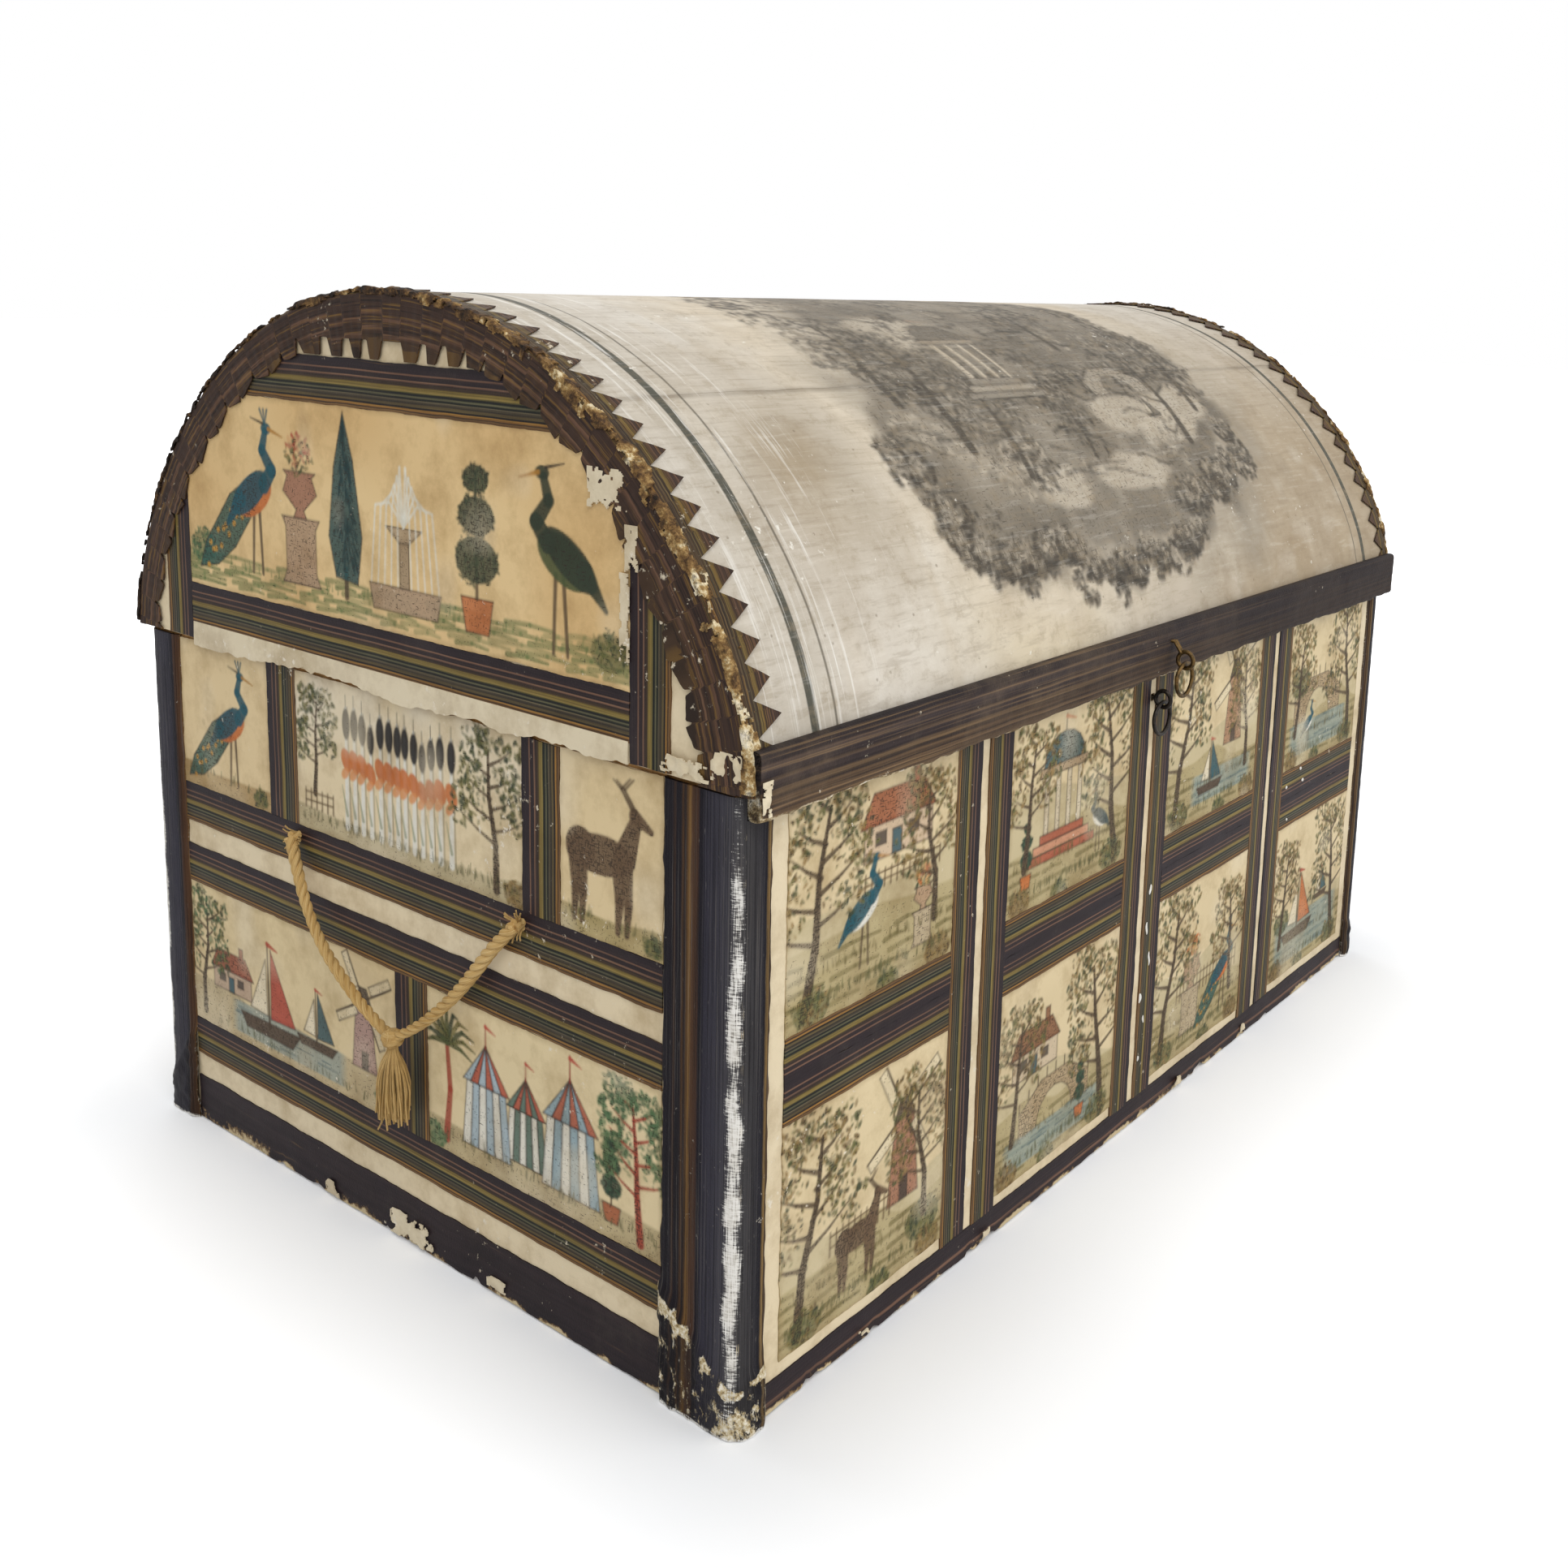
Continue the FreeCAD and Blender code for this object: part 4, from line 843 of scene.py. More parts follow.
# %% Canvas
class Canvas:
    """A sheet in millimetres, its corner at 0, 0, with colours and ink at even steps."""

    def __init__(self, width, height, step, seed, code):
        self.width = width
        self.height = height
        self.step = step
        self.x = np.linspace(0, width, int(round(width / step)) + 1)[None, :]
        self.y = np.linspace(0, height, int(round(height / step)) + 1)[:, None]
        self.colour = np.tile(np.array(paint(code)[:3]), (self.y.size, self.x.size, 1))
        self.ink = np.zeros((self.y.size, self.x.size))
        self.dice = np.random.RandomState(seed)

    def roll(self):
        return self.dice.rand()

    def window(self, x0, x1, y0, y1):
        c0 = int(np.clip(x0 / self.step, 0, self.x.size - 1))
        c1 = int(np.clip(x1 / self.step + 2, 1, self.x.size))
        r0 = int(np.clip(y0 / self.step, 0, self.y.size - 1))
        r1 = int(np.clip(y1 / self.step + 2, 1, self.y.size))
        return (slice(r0, r1), slice(c0, c1)), self.x[:, c0:c1], self.y[r0:r1]

    def lay(self, place, mask, code, ink=0.0):
        """Lays a wash of one colour where the mask is, and sets the ink under it."""
        target = np.array(paint(code)[:3])
        self.colour[place] += (target - self.colour[place]) * mask[..., None]
        if ink:
            self.ink[place] = np.maximum(self.ink[place], mask * ink)

    def wash(self, mask, code, ink=0.0):
        self.lay((slice(None), slice(None)), unit(mask), code, ink)

    def patchy(self, cell, tall=None):
        """Soft clouds from 0 to 1, about one cell wide and tall."""
        seed = self.dice.randint(1, 100000)
        x = self.x + 0 * self.y
        y = (self.y + 0 * self.x) * cell / (tall or cell)
        return 0.5 + 0.5 * field(x, y, cell, seed)

    def spot(self, x, y, rx, ry, code, strength=0.8, turn=0.0, ink=0.0):
        reach = max(rx, ry) + self.step
        place, px, py = self.window(x - reach, x + reach, y - reach, y + reach)
        dx = px - x
        dy = py - y
        along = dx * math.cos(turn) + dy * math.sin(turn)
        across = dy * math.cos(turn) - dx * math.sin(turn)
        inside = (1 - np.sqrt((along / rx) ** 2 + (across / ry) ** 2)) * min(rx, ry)
        self.lay(place, unit(0.5 + inside / self.step) * strength, code, ink)

    def line(self, points, thick, thin, code="33281d", strength=0.9, ink=0.0):
        """A brush line that goes from one thickness to another."""
        count = len(points) - 1
        for number in range(count):
            ax, ay = points[number]
            bx, by = points[number + 1]
            r0 = thick + (thin - thick) * number / count
            r1 = thick + (thin - thick) * (number + 1) / count
            reach = max(r0, r1) + self.step
            place, px, py = self.window(
                min(ax, bx) - reach, max(ax, bx) + reach, min(ay, by) - reach, max(ay, by) + reach)
            length = max((bx - ax) ** 2 + (by - ay) ** 2, 1e-6)
            t = unit(((px - ax) * (bx - ax) + (py - ay) * (by - ay)) / length)
            off_line = np.sqrt((px - ax - t * (bx - ax)) ** 2 + (py - ay - t * (by - ay)) ** 2)
            inside = r0 + (r1 - r0) * t - off_line
            self.lay(place, unit(0.5 + inside / self.step) * strength, code, ink)

    def shape(self, points, code, strength=0.88, ink=0.2, outline="3a2c20"):
        """A filled shape with a thin dark outline."""
        xs = [p[0] for p in points]
        ys = [p[1] for p in points]
        place, px, py = self.window(min(xs), max(xs), min(ys), max(ys))
        inside = np.zeros((py.size, px.size), dtype=bool)
        for (ax, ay), (bx, by) in zip(points, points[1:] + points[:1]):
            crosses = (ay > py) != (by > py)
            rise = by - ay if abs(by - ay) > 1e-9 else 1e-9
            inside ^= crosses & (px < ax + (py - ay) * (bx - ax) / rise)
        self.lay(place, inside * strength, code, ink)
        self.line(list(points) + [points[0]], 0.24, 0.24, outline, 0.75)


class Brush:
    """Draws one motif on a canvas; places and sizes are parts of its height, from its foot."""

    def __init__(self, canvas, x, y, size, face=1):
        self.canvas = canvas
        self.x = x
        self.y = y
        self.size = size
        self.face = face

    def at(self, points):
        return [(self.x + px * self.size * self.face, self.y + py * self.size) for px, py in points]

    def line(self, points, thick, thin, code, strength=0.9, ink=0.0):
        width = [max(part * self.size, 0.13) for part in (thick, thin)]
        self.canvas.line(self.at(points), *width, code, strength, ink)

    def spot(self, x, y, rx, ry, code, strength=0.9, turn=0.0, ink=0.0):
        place = self.at([(x, y)])[0]
        self.canvas.spot(*place, rx * self.size, ry * self.size, code, strength, turn * self.face, ink)

    def shape(self, points, code, ink=0.25, strength=0.9):
        self.canvas.shape(self.at(points), code, strength, ink)

    def box(self, x0, x1, y0, y1, code, ink=0.2):
        self.shape([(x0, y0), (x1, y0), (x1, y1), (x0, y1)], code, ink)

    def taper(self, half0, half1, y0, y1, code, ink):
        self.shape([(-half0, y0), (half0, y0), (half1, y1), (-half1, y1)], code, ink)

    def leaves(self, x, y, radius, count, codes, size=1.0, ink=0.5):
        place = self.at([(x, y)])[0]
        leaves(self.canvas, *place, radius * self.size, count, codes, size, ink)


print("canvas ready")

# %% [markdown]
# The motifs are drawn from the foot upwards. Leaves are many small dabs, because one flat shape
# would look cut out; trunks and branches are tapered lines; buildings are outlined shapes.

# %% Trees and ground
GREENS = ("4f5530", "666435", "3d472b", "7b7244", "34412e")
BROWNS = ("6f5831", "86703f", "5f4c2d", "94794a")
FRESH = ("4d6a45", "3f5a3c", "5f7a52")
BARK = "54432f"
TEAL = "1c4f5a"
DARK_TEAL = "163a42"
ORANGE = "c06c34"
ROSE = "ab7052"
INK = "26201c"
PALE = "d9d6ca"
STONE = "b3a183"


def leaves(c, x, y, radius, count, codes, size=1.0, ink=0.55):
    for _ in range(count):
        angle = c.roll() * 2 * math.pi
        reach = radius * math.sqrt(c.roll())
        long = size * (0.55 + 0.6 * c.roll())
        c.spot(x + reach * math.cos(angle), y + 0.8 * reach * math.sin(angle), long, long * 0.55,
               codes[c.dice.randint(len(codes))], 0.5 + 0.45 * c.roll(), c.roll() * 3.1, ink)


def leafy_tree(c, x, y, height, lean=0.0, codes=GREENS, bark=BARK, full=1.0):
    b = Brush(c, x, y, height)
    tilt = lean / height
    bend = 0.06 * (c.roll() - 0.5)
    stem = [(0, 0), (tilt * 0.3 + bend, 0.3), (tilt * 0.7 - bend, 0.6), (tilt, 0.9)]
    b.line(stem, 0.034, 0.01, bark, 0.95, 0.6)
    for number in range(9):
        t = 0.34 + 0.64 * number / 8
        side = 1 if number % 2 else -1
        reach = side * (0.34 - 0.2 * t) * (0.8 + 0.5 * c.roll())
        rise = 0.08 + 0.06 * c.roll()
        foot = (tilt * t, 0.9 * t)
        tip = (foot[0] + reach, foot[1] + rise)
        b.line([foot, (foot[0] + reach / 2, foot[1] + rise / 2 - 0.01), tip], 0.014, 0.004, bark, 0.9, 0.4)
        b.leaves(*tip, 0.12, int(44 * full), codes, 0.9 + height * 0.006)
        b.leaves(foot[0] + reach / 2, tip[1] + 0.03, 0.09, int(20 * full), codes, 0.9)
    b.leaves(tilt, 0.94, 0.1, int(50 * full), codes)


def bush(c, x, y, radius, codes=GREENS):
    c.spot(x, y + radius * 0.5, radius, radius * 0.7, codes[0], 0.6, 0.0, 0.5)
    leaves(c, x, y + radius * 0.6, radius, int(15 * radius), codes, 0.9)


def ground(c, level, code, ink=0.3, sway=2.0, strength=0.6):
    edge = level + sway * 2 * (c.patchy(18.0)[:1] - 0.5)
    c.wash(unit((edge - c.y) / 0.8) * (0.65 + 0.35 * c.patchy(7.0)) * strength, code, ink)


HATCH_FOOT = 0.15


def hatch(c, level, code, strips):
    """Ground in short level strokes, as a colourist leaves it."""
    for number in range(strips):
        y = level * (HATCH_FOOT + (1 - HATCH_FOOT) * number / strips)
        x = -4.0
        while x < c.width:
            length = 8 + 20 * c.roll()
            middle = (x + length * 0.5, y + 0.5)
            c.line([(x, y), middle, (x + length, y)], 0.85, 0.5, code, 0.4 + 0.4 * c.roll(), 0.35)
            x += length + 2 + 7 * c.roll()


def hills(c, level, rise, code, strength=0.35):
    c.wash(unit((level + rise * c.patchy(24.0)[:1] - c.y) / 0.6) * strength, code, 0.22)


def grass(c, x0, x1, y, count, code="54532f"):
    for _ in range(count):
        x = x0 + (x1 - x0) * c.roll()
        foot = y + 2.0 * (c.roll() - 0.5)
        tip = (x + 1.6 * (c.roll() - 0.5), foot + 1.4 + 1.8 * c.roll())
        c.line([(x, foot), tip], 0.3, 0.13, code, 0.75)


print("trees and ground ready")

# %% Birds and a hart
def wader(c, x, y, h, code=TEAL, face=1, belly=PALE):
    """A tall wading bird."""
    b = Brush(c, x, y, h, face)
    for foot, hip in ((-0.05, -0.02), (0.06, 0.04)):
        b.line([(foot, 0), (hip, 0.42)], 0.012, 0.016, BARK)
    b.spot(-0.02, 0.5, 0.22, 0.12, belly, 0.95, 0.5, 0.2)
    b.spot(-0.07, 0.51, 0.24, 0.1, code, 0.95, 0.6, 0.35)
    b.line([(-0.18, 0.46), (-0.34, 0.28)], 0.065, 0.015, code, 0.95, 0.3)
    b.line([(0.1, 0.58), (0.19, 0.68), (0.09, 0.8), (0.13, 0.92)], 0.06, 0.03, code, 0.95, 0.3)
    b.spot(0.14, 0.94, 0.055, 0.038, code, 0.95)
    b.line([(0.17, 0.94), (0.32, 0.9)], 0.014, 0.005, "a8762f")
    b.line([(0.11, 0.97), (-0.03, 1.0)], 0.01, 0.004, INK)


def peafowl(c, x, y, h, face=1):
    """A bird with a long train that hangs behind it."""
    b = Brush(c, x, y, h, face)
    b.shape([(0.02, 0.66), (-0.3, 0.48), (-0.6, 0.14), (-0.68, -0.04), (-0.46, 0.0), (-0.25, 0.14),
             (0.0, 0.42)], "2a574e", 0.5)
    for number in range(16):
        t = number / 15
        b.spot(-0.1 - 0.48 * t, 0.47 - 0.42 * t + 0.07 * math.sin(number * 2.4), 0.02, 0.02, "bd8c3a", 0.9)
    wader(c, x, y, h, TEAL, face, ORANGE)
    for tip in (0.08, 0.12, 0.16):
        b.line([(0.13, 0.96), (tip, 1.06)], 0.006, 0.01, TEAL)


def stag(c, x, y, h, code="66503a", face=1):
    """A hart that stands on the grass."""
    b = Brush(c, x, y, h, face)
    for at in (-0.26, -0.19, 0.14, 0.22):
        b.line([(at, 0), (at + 0.015, 0.2), (at, 0.42)], 0.024, 0.055, code, 0.95, 0.45)
    b.spot(-0.02, 0.47, 0.3, 0.135, code, 0.95, 0.06, 0.5)
    b.spot(-0.2, 0.48, 0.14, 0.14, code, 0.95, 0.0, 0.55)
    b.line([(0.2, 0.5), (0.3, 0.76)], 0.1, 0.05, code, 0.95, 0.5)
    b.line([(0.29, 0.79), (0.43, 0.72)], 0.052, 0.024, code, 0.95, 0.4)
    for root in (0.27, 0.3):
        b.line([(root, 0.82), (root - 0.1, 0.94), (root - 0.02, 1.02)], 0.014, 0.006, "4a3826")
        b.line([(root - 0.1, 0.94), (root - 0.17, 0.99)], 0.01, 0.005, "4a3826")


# %% Garden pieces
def urn(c, x, y, h, body="a98a6c", stand=STONE, blooms=(ORANGE, ROSE, "c9a06a")):
    """An urn of flowers on a stone stand."""
    b = Brush(c, x, y, h)
    b.shape([(-0.2, 0), (0.2, 0), (0.16, 0.08), (0.16, 0.36), (0.2, 0.42), (-0.2, 0.42), (-0.16, 0.36),
             (-0.16, 0.08)], stand, 0.4)
    b.shape([(-0.07, 0.42), (0.07, 0.42), (0.04, 0.47), (0.18, 0.58), (0.13, 0.68), (0.17, 0.71),
             (-0.17, 0.71), (-0.13, 0.68), (-0.18, 0.58), (-0.04, 0.47)], body, 0.35)
    b.leaves(0, 0.8, 0.15, int(h * 1.5), GREENS, 1.0)
    b.leaves(0, 0.85, 0.14, int(h * 1.1), blooms, 1.1, 0.1)


def topiary(c, x, y, h, pot=ORANGE, leaf=("2b4433", "375239", "24392b"), wide=1.0):
    """Clipped balls on a stem in a pot."""
    b = Brush(c, x, y, h)
    b.taper(0.1, 0.14, 0, 0.2, pot, 0.3)
    b.line([(0, 0.2), (0, 0.9)], 0.014, 0.01, BARK)
    for at, r in ((0.42, 0.15), (0.67, 0.125), (0.88, 0.09)):
        b.spot(0, at, r * wide, r * 0.9, leaf[0], 0.9, 0.0, 0.5)
        b.leaves(0, at, r * 1.05 * wide, int(16 * r * h), leaf, 0.8)


def cypress(c, x, y, h, code=TEAL, dark=DARK_TEAL, wide=1.0):
    """A tall narrow tree."""
    b = Brush(c, x, y, h)
    outline = [(-0.08, 0.1), (0.09, 0.08), (0.13, 0.34), (0.07, 0.75), (0, 1), (-0.08, 0.7), (-0.13, 0.32)]
    b.line([(0, 0), (0, 0.15)], 0.02, 0.018, BARK)
    b.shape([(px * wide, py) for px, py in outline], code, 0.4, 0.92)
    for number in range(int(h * 2)):
        t = c.roll()
        half = 0.11 * wide * (1 - t) ** 0.6
        foot = half * (c.roll() - 0.5) * 2
        b.line([(foot, 0.12 + 0.8 * t), (foot * 0.6, 0.19 + 0.8 * t)], 0.008, 0.004, dark, 0.7)


def fountain(c, x, y, h):
    b = Brush(c, x, y, h)
    b.taper(0.34, 0.38, 0, 0.17, "a98f74", 0.35)
    b.box(-0.05, 0.05, 0.17, 0.5, "9a8468", 0.3)
    b.taper(0.19, 0.05, 0.57, 0.47, "b09a7c", 0.3)
    for side in (-1, 1):
        for number in range(5):
            reach = side * (0.06 + 0.06 * number)
            b.line([(0, 0.58), (reach * 0.5, 0.97 - 0.06 * number), (reach, 0.7), (reach * 1.2, 0.18)],
                   0.01, 0.007, "dedccf", 0.75)


def fence(c, x, y, w, h, code="5f4a2e"):
    for at in (0.35, 0.8):
        c.line([(x, y + at * h), (x + w, y + at * h + 0.4)], 0.3, 0.3, code)
    count = int(w / 2.6)
    for number in range(count + 1):
        at = x + w * number / count
        c.line([(at, y), (at + 0.2, y + h)], 0.38, 0.28, code)


def bulrushes(c, x0, x1, y, h, count):
    """A rank of reeds with dark heads above orange lilies."""
    for number in range(count):
        x = x0 + (x1 - x0) * (number + 0.25 * c.roll()) / count
        b = Brush(c, x, y, h * (0.92 + 0.12 * c.roll()))
        b.line([(0, 0), (0.01, 1)], 0.03, 0.012, PALE, 0.95)
        b.line([(0.045, 0), (0.03, 1)], 0.006, 0.006, "4a4432", 0.75)
        b.spot(0.01, 0.86, 0.05, 0.13, "1e1b1c", 0.97, 0.0, 0.2)
        b.line([(0.01, 1), (0.01, 1.1)], 0.005, 0.004, INK)
        b.spot(0.005, 0.56, 0.065, 0.1, ORANGE, 0.92, 0.4)
        b.spot(-0.015, 0.45, 0.06, 0.04, "cf8a52", 0.85, 0.8)
        b.line([(0, 0.1), (-0.06, 0.34)], 0.016, 0.005, "8a8f72", 0.75)


def palm(c, x, y, h, trunk="9a3c2a"):
    b = Brush(c, x, y, h)
    b.line([(0, 0), (0.05, 0.4), (0.02, 0.75)], 0.036, 0.022, trunk, 0.9, 0.2)
    for number in range(11):
        angle = -0.5 + number * (math.pi + 1.0) / 10
        tip = (0.02 + 0.32 * math.cos(angle), 0.78 + 0.2 * math.sin(angle))
        middle = (0.02 + 0.18 * math.cos(angle), 0.82 + 0.17 * math.sin(angle))
        b.line([(0.02, 0.76), middle, tip], 0.03, 0.006, GREENS[number % 5], 0.9, 0.4)


print("birds and garden pieces ready")

# %% Buildings and boats
def cottage(c, x, y, w, wall="c7ae92", roof="9a5432"):
    b = Brush(c, x, y, w)
    b.box(0, 1, 0, 0.34, wall)
    b.shape([(-0.06, 0.32), (1.06, 0.32), (0.86, 0.62), (0.12, 0.62)], roof, 0.45)
    b.box(0.7, 0.8, 0.56, 0.76, roof, 0.3)
    for at in (0.16, 0.64):
        b.box(at, at + 0.15, 0.13, 0.25, "433a32")
    b.box(0.4, 0.54, 0, 0.23, TEAL)


def windmill(c, x, y, h, tower="a87f60"):
    b = Brush(c, x, y, h)
    b.taper(0.18, 0.11, 0, 0.62, tower, 0.4)
    b.taper(0.12, 0.05, 0.62, 0.78, "4d3f33", 0.45)
    b.box(-0.04, 0.05, 0, 0.17, "433a32")
    for number in range(4):
        angle = 0.5 + number * math.pi / 2
        cos, sin = math.cos(angle), math.sin(angle)
        near = (0.14 * cos, 0.66 + 0.14 * sin)
        tip = (0.47 * cos, 0.66 + 0.47 * sin)
        side = (-sin * 0.09, cos * 0.09)
        outer = [(end[0] + side[0], end[1] + side[1]) for end in (tip, near)]
        b.shape([near, tip, *outer], "d9caa8", 0.3, 0.8)
        b.line([(0, 0.66), tip], 0.013, 0.009, "433220")


def boat(c, x, y, w, sail=ORANGE, hull="4d3622"):
    b = Brush(c, x, y, w)
    b.shape([(-0.5, 0.14), (-0.4, 0), (0.38, 0), (0.52, 0.16)], hull, 0.45)
    b.line([(0, 0.1), (0, 0.97)], 0.02, 0.012, "433220")
    b.shape([(0.03, 0.2), (0.44, 0.22), (0.05, 0.92)], sail, 0.3)
    b.shape([(-0.03, 0.22), (-0.32, 0.24), (-0.04, 0.8)], "ddd0b4", 0.25)
    b.line([(0, 0.97), (0.17, 0.93)], 0.028, 0.008, "a83e2c")


def water(c, x0, x1, y, h, code="7f9594"):
    place, px, py = c.window(x0, x1, y, y + h)
    sides = unit((px - x0) / 4) * unit((x1 - px) / 4)
    c.lay(place, sides * unit((y + h - py) / 0.8) * 0.6, code, 0.15)
    for number in range(int(h * 1.5)):
        at = y + h * c.roll()
        start = x0 + (x1 - x0) * 0.8 * c.roll()
        c.line([(start, at), (start + 4 + 8 * c.roll(), at)], 0.28, 0.16, "41585d", 0.7)


def pavilion(c, x, y, w, roof=TEAL, steps=("a8553c", "c78d6e", "a8553c")):
    """A garden house on three coloured steps."""
    b = Brush(c, x, y, w)
    for number, code in enumerate(steps):
        inset = 0.5 - number * 0.09
        b.box(-inset, inset, number * 0.075, number * 0.075 + 0.07, code)
    for at in (-0.27, -0.11, 0.05, 0.21):
        b.box(at, at + 0.06, 0.22, 0.68, "cdbfa4", 0.3)
    b.box(-0.34, 0.34, 0.68, 0.75, "a58e70", 0.35)
    b.shape([(0.3 * math.cos(a), 0.75 + 0.25 * math.sin(a)) for a in np.linspace(0, math.pi, 9)], roof, 0.45)
    b.line([(0, 1), (0, 1.13)], 0.01, 0.007, "433220")
    b.line([(0, 1.11), (0.14, 1.07)], 0.018, 0.005, ORANGE)


def bridge(c, x, y, w, code="a8916f"):
    b = Brush(c, x, y, w)
    opening = [(0.26 * math.cos(a), 0.26 * math.sin(a)) for a in np.linspace(0, math.pi, 9)]
    b.shape([(-0.5, 0), (-0.5, 0.2), (-0.2, 0.37), (0.2, 0.37), (0.5, 0.2), (0.5, 0)] + opening, code, 0.5)
    for number in range(9):
        at = -0.5 + number / 8
        rise = 0.37 - max(0.0, abs(at) - 0.2) * 0.55
        b.line([(at, rise), (at, rise + 0.08)], 0.008, 0.008, "4d3c29")


def tent(c, x, y, w, h, code="9db0ba", top="ab4634"):
    """A striped garden tent with a pennant."""
    b = Brush(c, x, y, h)
    wide = w / h
    for number in range(6):
        a0 = (-0.5 + number / 6) * wide
        a1 = a0 + wide / 6
        b.shape([(a0, 0), (a1, 0), (a1 * 0.8, 0.55), (a0 * 0.8, 0.55)], code if number % 2 else PALE)
        b.shape([(a0 * 0.95, 0.55), (a1 * 0.95, 0.55), (0, 0.9)], top if number % 2 else code)
    b.line([(0, 0.88), (0, 1.08)], 0.01, 0.006, "8f2f22")
    b.line([(0, 1.06), (0.12, 1.02)], 0.018, 0.004, "b0372a")


print("buildings and boats ready")

# %% [markdown]
# ## The print sheets
# Each sheet is a piece of its own, so that its colours stay sharp. The view on it is put together
# from the motifs. The front has dense wooded views; the ends have single motifs on clear paper.

# %% Views on the long sides
FRONT_VIEWS = [
    (-1, [(cottage, (30, 37, 30)), (fence, (28, 29, 36, 5)), (wader, (31, 9, 31)), (urn, (57, 7, 24))]),
    (1, [(pavilion, (30, 13, 40)), (topiary, (10, 7, 22)), (wader, (53, 8, 22, DARK_TEAL, -1))]),
    (-1, [(windmill, (50, 24, 40)), (water, (18, 68, 6, 11)), (boat, (33, 9, 20, TEAL))]),
    (1, [(bridge, (30, 18, 46)), (water, (3, 62, 5, 13)), (bush, (12, 30, 9)), (wader, (22, 6, 20))]),
    (-1, [(windmill, (52, 22, 40, "9a6850")), (fence, (20, 20, 26, 7)), (stag, (32, 7, 29)),
          (bush, (62, 7, 8))]),
    (1, [(cottage, (8, 33, 26, "c3b094", "7f4f30")), (bridge, (34, 13, 42)), (water, (4, 64, 4, 10)),
         (topiary, (50, 6, 21))]),
    (-1, [(fence, (18, 21, 48, 8)), (urn, (29, 7, 40)), (peafowl, (56, 7, 33))]),
    (1, [(water, (3, 68, 5, 18)), (boat, (26, 13, 30)), (boat, (49, 24, 14, TEAL)), (bush, (10, 20, 7))]),
]
WOODED_CODE = "d8c59e"


def draw_all(c, things):
    for draw, place in things:
        draw(c, *place)


def paint_wooded(c, side, things):
    """A dense view: hills, ground and framing trees, with things between them."""
    level = c.height * 0.34
    trunk = 7.0 if side < 0 else c.width - 7.0
    c.wash(c.patchy(9.0) * 0.2, "b39e74", 0.1)
    hills(c, level, c.height * 0.24, "8f8a68", 0.35)
    ground(c, level, "94834f", 0.4, 4.0, 0.6)
    hatch(c, level * 0.9, "6d6238", 5)
    draw_all(c, things)
    leafy_tree(c, trunk, c.height * 0.05, c.height * 0.9, -side * 9.0, GREENS + BROWNS)
    far_trunk = c.width - trunk + side * 2
    leafy_tree(c, far_trunk, c.height * 0.2, c.height * 0.66, side * 4.0, BROWNS + GREENS[:2], BARK, 0.7)
    bush(c, trunk - side * 3.0, c.height * 0.01, 7.0, GREENS + BROWNS)
    bush(c, c.width - trunk, 0.0, 6.0, BROWNS)
    bush(c, c.width * 0.5 - side * 6, -2.0, 5.0, GREENS)
    grass(c, 2, c.width - 2, c.height * 0.08, 80)
    grass(c, 2, c.width - 2, c.height * 0.2, 50, "62562f")


# %% Views on the ends
def pale_sky(c):
    c.wash(unit((c.y - 22) / 20) * c.patchy(12.0) * 0.8, "ddd5c4")


def brown_patches(c):
    c.wash(unit(1.2 - c.patchy(30.0) * 1.6) * 0.45, "bf9558")


